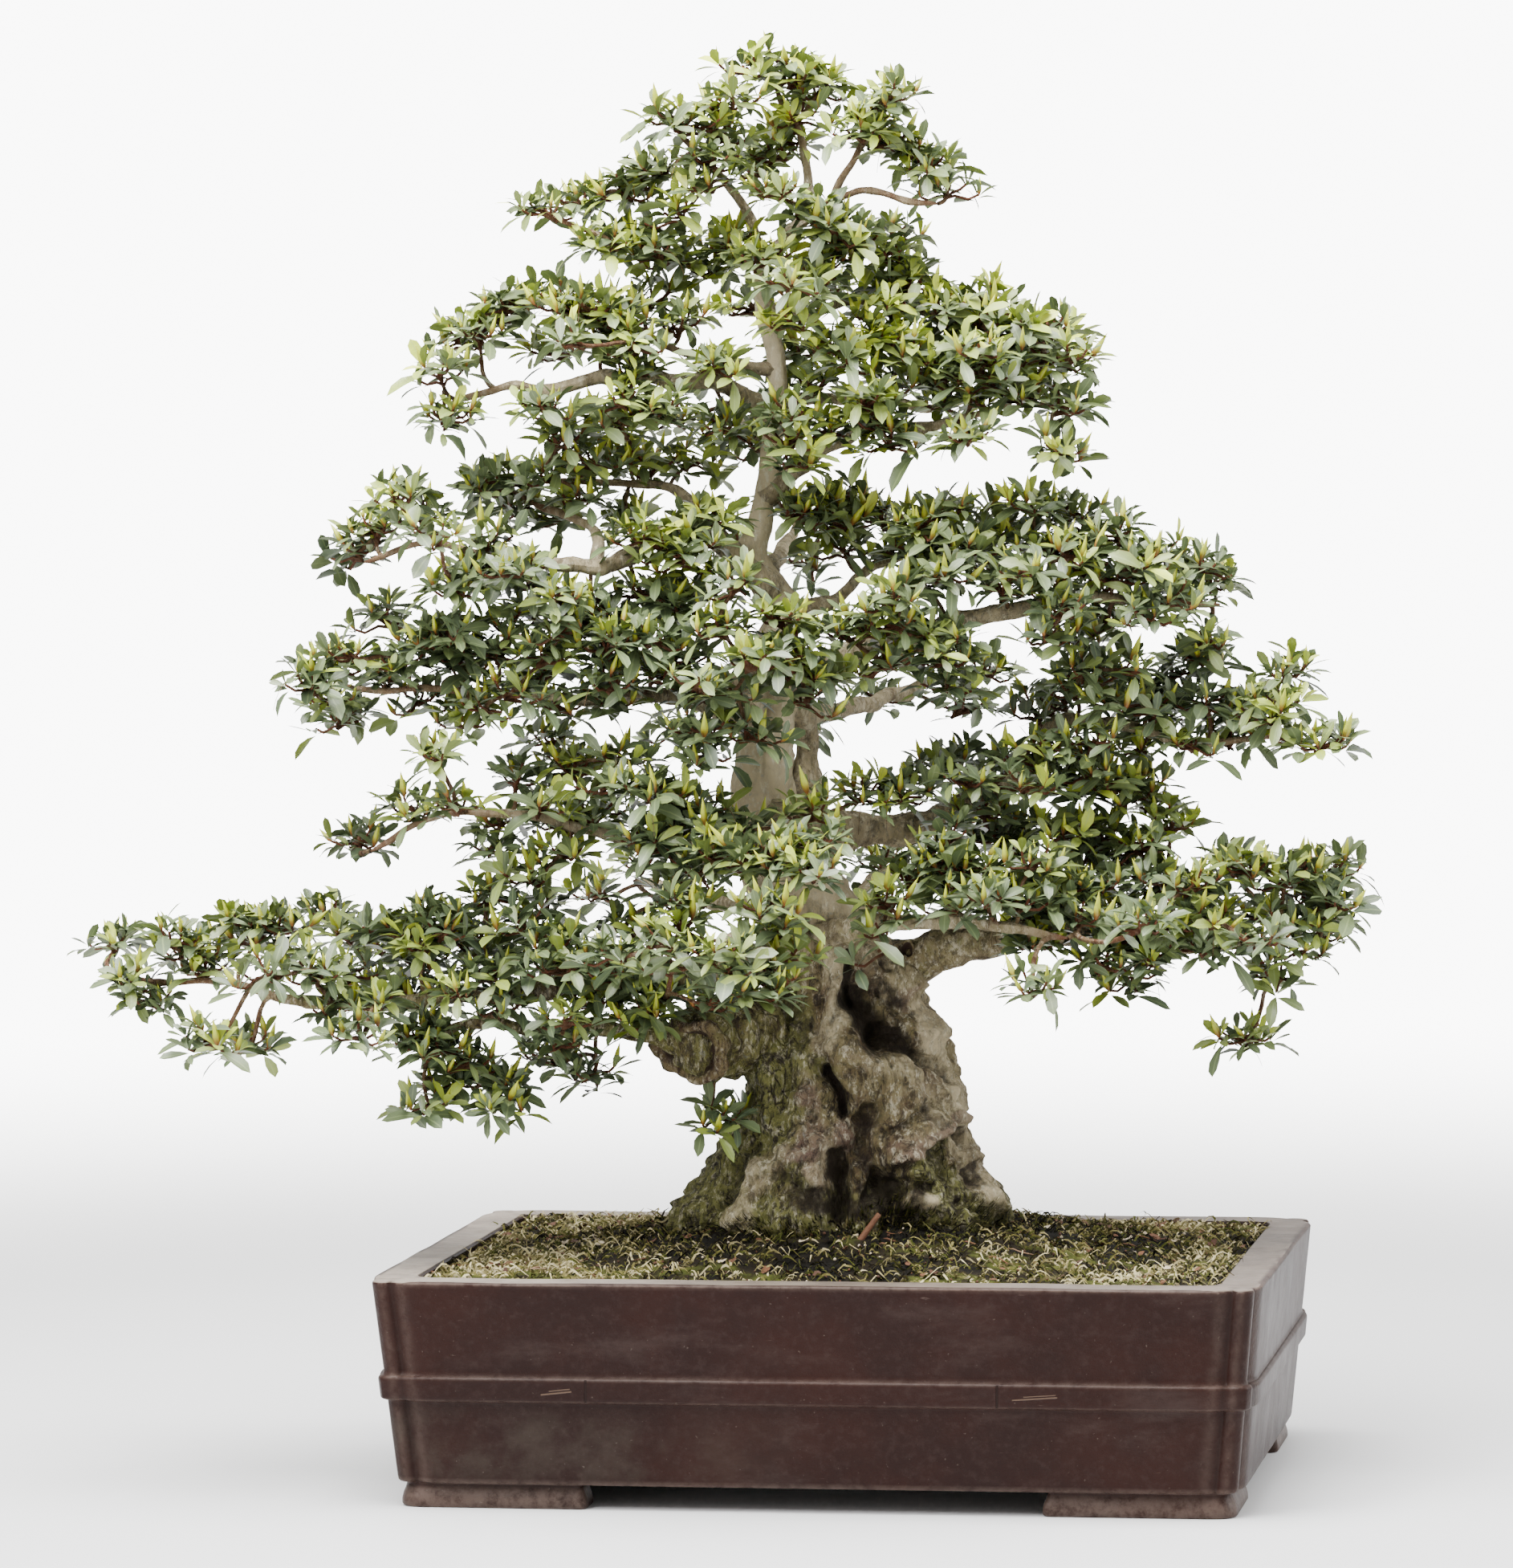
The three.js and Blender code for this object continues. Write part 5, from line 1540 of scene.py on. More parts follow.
    def scrap_leaves(self, sheaf: Sheaf) -> None:
        """Adds fallen leaves and bark scraps: little curled ovals of four stations by three.

        A point at (s, t) along and across lies at s L along, t w(s) across and up by curl (s^2 - t^2).

        Args:
            sheaf: Gathers the points.
        """
        rng = np.random.default_rng(Seed.SCRAPS)
        middle = self.spots(self.scraps, Seed.SCRAP_SPOTS, 3.0) + 2.0 * UP
        count = len(middle)
        length = rng.uniform(2.5, 7.5, count)
        heading = rng.uniform(0, TAU, count)
        along = np.stack([np.cos(heading), np.sin(heading), rng.uniform(-0.35, 0.45, count)], axis=-1)
        across = unit(np.cross(UP, along)) + UP * rng.uniform(-0.7, 0.7, count)[:, None]
        s = np.array([-1.0, -0.45, 0.35, 1.0])[None, :, None]
        t = np.array([-1.0, 0.0, 1.0])[None, None, :]
        width = np.array([0.12, 0.42, 0.36, 0.08])[None, :, None]
        curl = rng.uniform(-0.35, 0.5, count)[:, None, None]
        lift = (curl * (s * s - t * t)) * length[:, None, None] * 0.35
        half = 0.5 * length[:, None, None, None]
        points = middle[:, None, None] + half * s[..., None] * along[:, None, None]
        points = points + (length[:, None, None] * t * width)[..., None] * across[:, None, None]
        points = points + lift[..., None] * UP
        dark = rng.random(count) < 0.82
        tone = np.where(dark, rng.uniform(0.0, 0.45, count), rng.uniform(0.85, 1.0, count))
        sheaf.add_grids(points, wrap=False, tone=tone[:, None])

    def grain_balls(self, sheaf: Sheaf) -> None:
        """Adds crumbs of soil and pale grit, each a short drum of five sides with narrow ends.

        Args:
            sheaf: Gathers the points.
        """
        rng = np.random.default_rng(Seed.GRAINS)
        foot = self.spots(self.grains, Seed.GRAIN_SPOTS, 1.0)
        count = len(foot)
        radius = rng.uniform(0.35, 1.15, count)
        centre = foot + 0.6 * radius[:, None] * UP + 0.8 * UP
        z = np.array([-0.9, -0.35, 0.45, 0.9])
        ring = np.array([0.15, 0.95, 0.85, 0.15])
        centres = centre[:, None] + radius[:, None, None] * z[None, :, None] * UP
        grids = tube_grid(centres, radius[:, None] * ring, 5)
        pale = rng.random(count) < 0.3
        tone = np.where(pale, 0.95, rng.uniform(0, 0.35, count))
        sheaf.add_grids(grids, tone=np.repeat(tone[:, None], 4, axis=1))

    def fallen_twigs(self, sheaf: Sheaf, place: Placement) -> None:
        """Adds a few thin sticks, and the short red-brown one that stands in front of the trunk.

        Args:
            sheaf: Gathers the points.
            place: Where the pot stands and how the tree is turned.
        """
        rng = np.random.default_rng(Seed.STICKS)
        middle = self.spots(self.sticks, Seed.STICK_SPOTS, 8.0) * LEVEL
        count = len(middle)
        heading = rng.uniform(0, TAU, count)
        length = rng.uniform(8, 26, count)
        run = bearing(heading)
        s = np.linspace(-0.5, 0.5, 5)[None, :, None]
        path = middle[:, None] + length[:, None, None] * s * run[:, None]
        path[..., 2] = self.surface(path[..., 0], path[..., 1]) + 1.8
        path[..., 2] += 0.5 * lattice_noise(path * LEVEL, 9.0, Seed.STICK_BEND)
        radius = rng.uniform(0.35, 0.8, count)[:, None] * np.array([0.2, 1.0, 1.0, 0.8, 0.15])
        sheaf.add_grids(tube_grid(path, radius, 5), tone=rng.uniform(0.1, 0.7, count)[:, None] + np.zeros(5))
        stick = place.tree_to_pot(np.array(self.stick_path))
        centres = along_path(stick, 3.0)
        width = np.linspace(2.4, 1.6, len(centres))
        sheaf.add_tube(tube_grid(centres, width, 8), tone=0.3)

    def build(self, place: Placement, stump: Stump) -> None:
        """Makes the moss mat with its shoots, and the litter that lies on it.

        Args:
            place: Where the pot stands and how the tree is turned.
            stump: The trunk that the moss climbs.
        """
        moss = Sheaf()
        self.mat(moss)
        self.strand_fan(moss)
        self.climbing_moss(moss, stump, place)
        mat = moss.build("moss_mat", place.pot, MossFinish().material())
        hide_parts("moss")
        litter = Sheaf()
        self.scrap_leaves(litter)
        self.grain_balls(litter)
        self.fallen_twigs(litter, place)
        scraps = litter.build("moss_litter", place.pot, LitterFinish().material())
        for piece in (mat, scraps):
            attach(piece, "root")


# ---------------------------------------------------------------- stump, trunk and limbs


@dataclass(frozen=True)
class Stroke:
    """One worked line on the front or rear of the stump, in the tree's x and z.

    Attributes:
        path: Points along the line, as (x, z).
        width: Half width of the line.
        lift: How far it raises the surface; less than zero cuts in.
        dark: How dark it is, 0 to 1.
        pink: How far it shows pink healed bark.
        pale: How far it shows pale bare bark.
        green: How far algae covers it.
        front: True on the front of the tree.
    """

    path: tuple[tuple[float, float], ...]
    width: float
    lift: float
    dark: float = 0.0
    pink: float = 0.0
    pale: float = 0.0
    green: float = 0.0
    front: bool = True


STROKES = (
    Stroke(((-14, 333), (-10, 311), (-8, 291), (-18, 272)), 7, 6, pale=0.55),
    Stroke(((12, 322), (26, 315), (37, 305)), 8, 5, pale=0.35),
    Stroke(((45, 291), (50, 269), (56, 249), (64, 227)), 9, 3, pale=0.8),
    Stroke(((-58, 286), (-55, 264), (-51, 239), (-48, 217)), 10, 5, green=0.9),
    Stroke(((-31, 239), (-27, 222), (-29, 206), (-31, 195)), 8, 7, pink=0.75),
    Stroke(((25, 247), (36, 241), (42, 230)), 21, 7, pale=0.25, green=0.25),
    Stroke(((-2, 265), (15, 259), (31, 254)), 8, 5, pale=0.45),
    Stroke(((53, 238), (62, 227)), 10, 5, dark=0.15),
    Stroke(((28, 202), (39, 207), (53, 218), (59, 224)), 4.5, 5, pink=1),
    Stroke(((25, 209), (36, 215)), 5, 3, pink=0.4),
    Stroke(((62, 216), (74, 197), (83, 180), (92, 169)), 9, 6, pale=0.7, green=0.35),
    Stroke(((-71, 212), (-82, 198), (-95, 182), (-106, 168)), 9, 6, dark=0.25, green=0.7),
    Stroke(((-38, 205), (-54, 192), (-67, 178), (-71, 161)), 7, 8, pale=0.5, pink=0.15),
    Stroke(((-16, 211), (-17, 197), (-22, 189)), 7, 6, pink=0.4, pale=0.45),
    Stroke(((-8, 217), (-5, 210)), 6, 4, pink=0.8, pale=0.3),
    Stroke(((40, 194), (49, 180), (52, 165)), 8, 6, dark=0.2, green=0.8),
    Stroke(((38, 175), (42, 173)), 5, 5, pale=0.9, green=0.3),
    Stroke(((3, 194), (14, 192), (25, 194)), 8, 4, dark=0.25),
    Stroke(((-40, 308), (-43, 295)), 8, 4, dark=0.3),
    Stroke(((-29, 269), (-32, 253), (-30, 242)), 8, 4, dark=0.1, pale=0.2),
    Stroke(((31, 301), (33, 288)), 3, 4, pink=0.6),
    Stroke(((-79, 251), (-74, 240)), 9, 3, dark=0.2, pale=0.2),
    Stroke(((50, 278), (51, 276)), 5, 4, pale=0.5),
    Stroke(((-4, 325), (-5, 307), (-2, 293)), 3.2, -8, dark=1),
    Stroke(((1, 296), (9, 284), (15, 277)), 10.5, -17, dark=1),
    Stroke(((15, 277), (26, 270), (35, 262)), 6.5, -9, dark=0.95),
    Stroke(((14, 307), (22, 300), (29, 290)), 7, -8, dark=0.72),
    Stroke(((-17, 254), (-12, 242), (-5, 227)), 4.6, -13, dark=1),
    Stroke(((-25, 258), (-20, 256)), 3.5, -4, dark=0.6),
    Stroke(((-42, 298), (-37, 286), (-32, 277)), 9, -6, dark=0.62),
    Stroke(((11, 230), (6, 217), (5, 203), (13, 189)), 6.5, -9, dark=0.75),
    Stroke(((21, 183), (25, 169), (28, 153)), 10.5, -22, dark=1),
    Stroke(((8, 178), (10, 161)), 6, -10, dark=0.9),
    Stroke(((-13, 202), (-10, 183), (-13, 166)), 6.5, -12, dark=0.95),
    Stroke(((50, 205), (56, 188), (60, 170)), 6, -7, dark=0.6, green=0.6),
    Stroke(((-44, 278), (-42, 256), (-43, 231)), 3, -4, dark=0.45),
    Stroke(((-60, 205), (-73, 189), (-82, 168)), 4.2, -6, dark=0.7, green=0.3),
    Stroke(((40, 230), (29, 222), (16, 216)), 4, -5, dark=0.55),
    Stroke(((32, 267), (46, 257), (54, 246)), 3.4, -5, dark=0.7),
    Stroke(((-35, 181), (-19, 176), (-3, 170)), 9, -3, dark=0.85),
    Stroke(((73, 190), (76, 183)), 4, -7, dark=0.9),
    Stroke(((64, 205), (68, 191), (72, 172)), 4, -5, dark=0.5, green=0.5),
    Stroke(((-67, 278), (-69, 264)), 5, -3, dark=0.5),
    Stroke(((-21, 294), (-24, 280)), 3.5, -3, dark=0.35),
    Stroke(((53, 216), (63, 210), (67, 216)), 3.6, -4, dark=0.75),
    Stroke(((36, 197), (25, 194), (17, 197)), 4, -4, dark=0.6),
    Stroke(((-55, 239), (-58, 217), (-66, 206)), 3.6, -3, dark=0.4),
    Stroke(((41, 183), (36, 169), (38, 158)), 4.5, -6, dark=0.85),
    Stroke(((30, 330), (0, 300), (-8, 270)), 7, 5, pale=0.5, front=False),
    Stroke(((-30, 300), (-20, 262), (-24, 226)), 9, 7, pale=0.3, front=False),
    Stroke(((20, 290), (24, 250), (16, 214)), 10, 8, green=0.4, front=False),
    Stroke(((48, 270), (52, 240), (60, 214)), 8, 5, pale=0.6, front=False),
    Stroke(((0, 268), (2, 240), (-2, 208)), 6, -12, dark=0.9, front=False),
    Stroke(((-44, 256), (-48, 232), (-52, 206)), 5, -8, dark=0.7, front=False),
    Stroke(((38, 250), (38, 228), (44, 204)), 4, -7, dark=0.7, front=False),
    Stroke(((8, 306), (0, 290), (4, 276)), 8, -9, dark=0.8, front=False),
    Stroke(((-20, 214), (-30, 196), (-40, 172)), 8, 8, pink=0.4, pale=0.4, front=False),
    Stroke(((24, 210), (34, 192), (40, 170)), 8, 7, green=0.6, front=False),
    Stroke(((0, 196), (-4, 180), (0, 164)), 8, -14, dark=1, front=False),
    Stroke(((-66, 212), (-84, 192), (-100, 172)), 8, 6, green=0.6, front=False),
    Stroke(((70, 206), (84, 186), (94, 168)), 8, 6, pale=0.5, front=False),
    Stroke(((-12, 250), (-30, 244), (-40, 236)), 5, 4, pink=0.9, front=False),
    Stroke(((14, 240), (28, 232)), 14, 7, pale=0.3, front=False),
)


@dataclass
class Stump:
    """The old trunk: one skin from under the soil to the tip, with root flares, ridges and hollows.

    Attributes:
        levels: Height, radius and root flare of the stump.
        upper: Middle (x, y), height and radius of the trunk above it.
        roots: Each root's direction in degrees and its strength.
        burls: Each burl's middle (x, y, z), its size and how far it stands out.
        root_width: A root's width in degrees.
        flattening: The stump's depth as a share of its width.
        sides: Points in each ring.
    """

    levels: tuple[tuple[float, float, float], ...] = (
        (72, 58, 10), (140, 77, 30), (165, 76, 29), (188, 71, 18), (212, 67, 7),
        (240, 62, 0), (266, 57, 0), (290, 49, 0),
    )  # fmt: skip
    upper: tuple[tuple[float, float, float, float], ...] = (
        (-9, 5, 312, 42.5), (-24, 8, 346, 35), (-47, 2, 394, 27), (-55, -1, 430, 18.5), (-54, -2, 452, 16.5),
        (-46, 2, 486, 15), (-45, 2, 518, 13.5), (-39, 2, 535, 12.5), (-52, 1, 556, 12), (-60, 0, 570, 11),
        (-56, 0, 586, 8.5), (-51, 2, 606, 7), (-46, 1, 640, 6.4), (-42, 0, 674, 6), (-44, 2, 695, 5.5),
        (-50, 2, 716, 5), (-52, 0, 737, 4.5), (-48, 0, 758, 4),
    )  # fmt: skip
    roots: tuple[tuple[float, float], ...] = (
        (184, 1), (222, 0.75), (256, 0.5), (291, 0.85), (322, 0.6), (357, 1), (38, 0.7), (80, 0.6),
        (118, 0.7), (150, 0.6),
    )  # fmt: skip
    burls: tuple[tuple[float, float, float, float, float], ...] = (
        (-72, -20, 246, 13, 6), (46, -18, 274, 9, 5), (44, -42, 214, 15, 5), (62, 10, 232, 14, 5),
        (-60, 30, 236, 18, 7), (30, 44, 262, 18, 7), (-20, 52, 214, 16, 6),
    )  # fmt: skip
    root_width: float = 15.0
    flattening: float = 0.86
    sides: int = 232

    def centre_line(self, z: Array) -> tuple[Array, Array, Array, Array]:
        """The middle, the body's radius and the root flare at each height.

        Args:
            z: Heights.

        Returns:
            The middle's x and y, the radius and the flare.
        """
        low = np.array([(*self.lean(level), level, body, flare) for level, body, flare in self.levels])
        high = np.array([(*row, 0.0) for row in self.upper])
        table = np.concatenate([low, high])
        read = smooth_table(z, table[:, 2], table[:, [0, 1, 3, 4]])
        return read[..., 0], read[..., 1], read[..., 2], np.maximum(read[..., 3], 0.0)

    def lean(self, z: float) -> tuple[float, float]:
        """How far the stump's middle leans off upright at one height."""
        part = max(0.0, (z - 266.0) / 74.0)
        return (-3.0 - 15.0 * part**2, 8.0 * part)

    def root_swell(self, angle: Array) -> Array:
        """Sum over the surface roots of strength times e^-(apart/width)^2, with the angle in degrees.

        Args:
            angle: Directions round the trunk, in radians.

        Returns:
            The swell in each direction.
        """
        degrees = np.degrees(angle)
        total = np.zeros_like(angle)
        for direction, strength in self.roots:
            apart = (degrees - direction + 540.0) % 360.0 - 180.0
            total = total + strength * np.exp(-((apart / self.root_width) ** 2))
        return total

    def plain(self, angle: Array, z: Array) -> tuple[Array, Array]:
        """The smooth skin and its outward direction, before any carving.

        The radius is the body's plus the flare times the root swell, with faint ridges that wind upwards,
        and is flattened from front to back low down.

        Args:
            angle: Directions round the trunk, in radians.
            z: Heights.

        Returns:
            The points and the outward directions.
        """
        x, y, body, flare = self.centre_line(z)
        wander = angle + 0.12 * np.sin(z / 23.0) * ease(z, 230.0, 180.0)
        ridged = 0.055 * body * np.sin(5 * angle + z / 31.0) + 0.04 * body * np.sin(8 * angle - z / 24.0)
        radius = body + flare * self.root_swell(wander) + ridged * ease(z, 560.0, 360.0)
        flat = 1.0 - (1.0 - self.flattening) * ease(z, 360.0, 300.0)
        outward = np.stack([np.cos(angle) * flat, np.sin(angle), np.zeros_like(angle)], axis=-1)
        right, rear = radius * np.cos(angle), radius * flat * np.sin(angle)
        points = np.stack([x + right, y + rear, z + 0 * angle], axis=-1)
        return points, unit(outward)

    def worked(self, points: Array, outward: Array) -> dict[str, Array]:
        """How the strokes and burls change the skin at each point.

        At the distance d from its wavering line a ridge has the strength e^-(d/w)^2, and a cut, which has
        steeper sides, e^-(d/w)^4. Both fade where the skin turns away from the tree's front or rear.

        Args:
            points: Points on the smooth skin.
            outward: Its outward directions.

        Returns:
            The lift in millimetres, and the shares of dark, pink, pale and green.
        """
        made = {name: np.zeros(points.shape[:-1]) for name in ("lift", "dark", "pink", "pale", "green")}
        sway = noise_vectors(points, 15.0, Seed.STROKE_SWAY, 2)
        jitter = noise_vectors(points, 5.0, Seed.STROKE_JITTER, 2)
        flat = points[..., [0, 2]] + 3.6 * sway + 1.6 * jitter
        for stroke in STROKES:
            near = np.full(points.shape[:-1], 1e3)
            path = np.array(stroke.path, dtype=float)
            for start, end in zip(path[:-1], path[1:]):
                run = end - start
                share = np.clip(((flat - start) @ run) / (run @ run), 0, 1)
                near = np.minimum(near, np.linalg.norm(flat - start - share[..., None] * run, axis=-1))
            facing = ease(outward[..., 1] * (-1 if stroke.front else 1), 0.02, 0.40)
            profile = np.exp(-((near / stroke.width) ** (2 if stroke.lift > 0 else 4))) * facing
            wide = np.exp(-((near / (1.12 * stroke.width)) ** 5)) * facing
            made["lift"] += stroke.lift * profile
            for name in ("dark", "pink", "pale", "green"):
                made[name] = np.maximum(made[name], getattr(stroke, name) * wide)
        for x, y, z, size, height in self.burls:
            apart = np.linalg.norm(points - np.array([x, y, z]), axis=-1)
            made["lift"] += height * np.exp(-((apart / size) ** 2))
        return made

    def rough(self, points: Array) -> Array:
        """Bark relief: lumps, rounded plates with sharp valleys, and crumbs, all from lattice noise.

        The plates are |n| of a noise n that is stretched along the trunk, less its usual size.

        Args:
            points: Points on the smooth skin.

        Returns:
            How far each is raised, in millimetres.
        """
        plates = np.abs(rough_noise(points * np.array([1.0, 1.0, 0.55]), 12.0, Seed.PLATES)) - 0.32
        crumbs = rough_noise(points, 4.6, Seed.CRUMBS, 2)
        return 3.0 * rough_noise(points, 21.0, Seed.LUMPS, 2) + 6.0 * plates + 1.7 * crumbs

    def skin(self, angle: Array, z: Array) -> tuple[Array, Array]:
        """Points on the carved skin and its outward direction, for what grows on it."""
        points, outward = self.plain(angle, z)
        return points + outward * self.worked(points, outward)["lift"][..., None], outward

    def add(self, sheaf: Sheaf) -> None:
        """Adds the whole trunk as one tube of rings.

        Args:
            sheaf: Gathers the points.
        """
        low, mid = np.arange(74.0, 150.0, 8.0), np.arange(150.0, 350.0, 1.3)
        high = np.concatenate([np.arange(350.0, 480.0, 4.0), np.arange(480.0, 759.0, 7.0)])
        z = np.concatenate([low, mid, high])[:, None]
        angle = (TAU * np.arange(self.sides) / self.sides)[None, :]
        z, angle = np.broadcast_arrays(z, angle)
        points, outward = self.plain(angle, z)
        worked = self.worked(points, outward)
        body = self.centre_line(z)[2]
        scale = np.clip(body / 40.0, 0.10, 1.0)
        rough = self.rough(points) * scale
        grid = points + outward * (worked["lift"] + rough)[..., None]
        # Painted shade in the valleys of the relief and in the cut strokes.
        hollow_shade = ease(-rough, 0.8, 3.8) * 0.62 + ease(-worked["lift"], 3.0, 9.0) * 0.30
        patch = rough_noise(points, 24.0, Seed.BARK_PATCHES, 2)
        side = outward[..., 0] + 0.35 * patch
        green = ease(side, 0.05, -0.70) * ease(z, 330, 270) * 0.42 + 0.10 * ease(z, 330, 260)
        green = np.maximum(green, ease(z + 14 * patch, 204, 176) * 0.50)
        # Paler on the right side, where the light falls: painted light; paler high up: the bark's own pale
        # colour.
        pale = ease(side, 0.15, 0.8) * 0.45 * ease(z, 190, 215) + ease(z, 310, 370) * 1.0
        sheaf.add_tube(
            grid,
            shade=np.clip(np.maximum(worked["dark"], hollow_shade), 0, 1),
            scar=np.clip(worked["pink"] + 0.18 * ease(patch, 0.2, 0.9), 0, 1),
            algae=np.clip(np.maximum(green, worked["green"]) - 0.6 * worked["pale"], 0, 1),
            pale=np.clip(np.maximum(pale, worked["pale"]), 0, 1),
            young=0.0,
            stout=ease(body, 5.0, 12.0),
        )


# Limbs: points along each one in the tree's axes, with the radius there.
LIMBS: dict[str, tuple[tuple[float, float, float, float], ...]] = {
    "trunk_loop": (
        (-37, 8, 396, 14), (-29, 16, 415, 9), (-25, 20, 435, 6.5), (-25, 18, 453, 6), (-30, 12, 470, 8),
        (-43, 4, 480, 10),
    ),
    "apex_left": ((-48, 0, 752, 3.5), (-59, 0, 777, 3), (-102, -12, 831, 2)),
    "apex_middle": ((-47, 4, 754, 3.5), (-21, 14, 794, 3), (-24, 14, 817, 2.5), (-42, 8, 859, 2)),
    "apex_right": ((-36, 8, 769, 3), (-9, 4, 788, 2.5), (11, -4, 824, 2), (23, -4, 839, 2)),
    "apex_far_right": ((-9, 4, 788, 2), (18, -10, 794, 2), (38, -14, 786, 2), (57, -14, 785, 2)),
    "top_left": ((-44, 1, 684, 3.5), (-109, -18, 699, 2), (-124, -20, 708, 2)),
    "top_right": ((-51, 1, 724, 3.5), (-25, 6, 715, 3), (-6, 10, 724, 2.5), (68, 4, 713, 2)),
    "high_left": (
        (-46, 0, 657, 5.5), (-86, -14, 677, 5), (-105, -18, 675, 4.5), (-123, -22, 681, 4),
        (-147, -26, 681, 4), (-184, -30, 673, 3.5), (-206, -30, 676, 2.5), (-244, -26, 666, 2),
    ),
    "high_right": (
        (-51, 2, 605, 5.5), (-4, -12, 642, 4.5), (18, -14, 652, 4), (44, -14, 649, 3.5),
        (67, -12, 653, 2.5), (95, -8, 661, 2), (117, -4, 678, 2),
    ),
    "high_right_rear": ((-44, 0, 665, 4), (16, 46, 666, 3.5), (63, 54, 661, 2.5), (94, 50, 673, 2)),
    "upper_left": (
        (-47, -4, 548, 7), (-72, -20, 572, 6.5), (-90, -30, 583, 5.5), (-109, -38, 586, 5),
        (-137, -48, 569, 5), (-155, -52, 564, 4.5), (-173, -56, 566, 4), (-225, -56, 574, 2.5),
        (-251, -50, 581, 2), (-297, -38, 569, 2),
    ),
    "upper_left_top": ((-75, -18, 575, 5), (-104, -8, 610, 3), (-127, 0, 615, 2.5), (-182, 10, 617, 2)),
    "upper_left_rear": ((-155, -48, 565, 3.5), (-154, -36, 583, 3), (-196, -8, 605, 2)),
    "upper_right": (
        (-36, 4, 493, 9), (2, -14, 510, 7), (59, -24, 526, 6), (115, -26, 539, 4.5), (169, -20, 543, 3),
        (229, -10, 537, 2),
    ),
    "upper_right_top": ((-36, 6, 532, 5.5), (-14, 14, 541, 4), (27, 24, 566, 3), (52, 28, 574, 2)),
    "middle_left": (
        (-48, 0, 466, 8), (-132, -34, 486, 4.5), (-155, -40, 483, 4), (-187, -44, 486, 3),
        (-260, -42, 491, 2), (-290, -38, 489, 2), (-315, -34, 495, 2),
    ),
    "middle_left_rear": (
        (-48, 6, 485, 6), (-109, 56, 497, 4), (-142, 70, 503, 3), (-180, 78, 515, 2), (-220, 80, 520, 2),
    ),
    "middle_right": (
        (-37, 10, 391, 12), (1, 24, 399, 9), (36, 30, 398, 8.5), (65, 32, 410, 7), (108, 28, 431, 6),
        (132, 22, 462, 4.5), (159, 16, 464, 4), (214, 4, 450, 2.5), (264, -4, 456, 2),
    ),
    "lower_left_upper": (
        (-60, -6, 380, 7), (-129, -36, 395, 4.5), (-212, -52, 415, 2.5), (-256, -48, 412, 2),
        (-296, -40, 391, 2),
    ),
    "low_left": (
        (-36, -20, 321, 10), (-80, -44, 318, 8.5), (-169, -54, 310, 7), (-304, -42, 298, 4),
        (-332, -38, 299, 3.5), (-391, -26, 312, 2), (-428, -18, 310, 2), (-458, -12, 318, 2),
    ),
    "stump_left": (
        (-51, -10, 275, 15), (-81, -27, 273, 15), (-98, -38, 270, 14), (-112, -44, 274, 8),
        (-159, -48, 283, 4.5), (-195, -58, 282, 3.5),
        (-228, -64, 287, 3.5), (-253, -66, 279, 2.5), (-262, -66, 263, 2),
    ),
    "low_right": (
        (-6, 14, 303, 12), (61, -8, 325, 11), (118, -20, 336, 8), (222, -28, 327, 4), (287, -18, 330, 2),
    ),
    "low_right_front": (
        (-21, -20, 335, 7), (19, -50, 344, 5), (67, -74, 347, 4), (97, -86, 344, 3), (130, -92, 337, 2),
    ),
    "low_front": ((-31, -24, 328, 7), (-65, -110, 343, 4), (-87, -180, 341, 2)),
    "middle_front": ((-46, -18, 413, 5.5), (-21, -130, 385, 2)),
    "upper_front": ((-44, -12, 492, 5.5), (-66, -110, 506, 2)),
    "low_back": ((0, 30, 324, 10), (8, 90, 345, 8), (40, 250, 367, 2.5)),
    "low_back_left": ((-30, 30, 339, 8), (-138, 200, 356, 2.5)),
    "middle_back": ((-42, 14, 436, 7), (-80, 170, 464, 2.5)),
    "middle_back_right": ((-37, 14, 466, 6.5), (38, 120, 480, 4), (70, 160, 489, 2.5)),
    "upper_back": ((-52, 3, 555, 6), (-27, 140, 593, 2)),
    "high_back": ((-47, 1, 635, 4), (-77, 105, 665, 2)),
    "top_back": ((-46, 1, 698, 3.5), (-26, 84, 739, 2)),
}  # fmt: skip

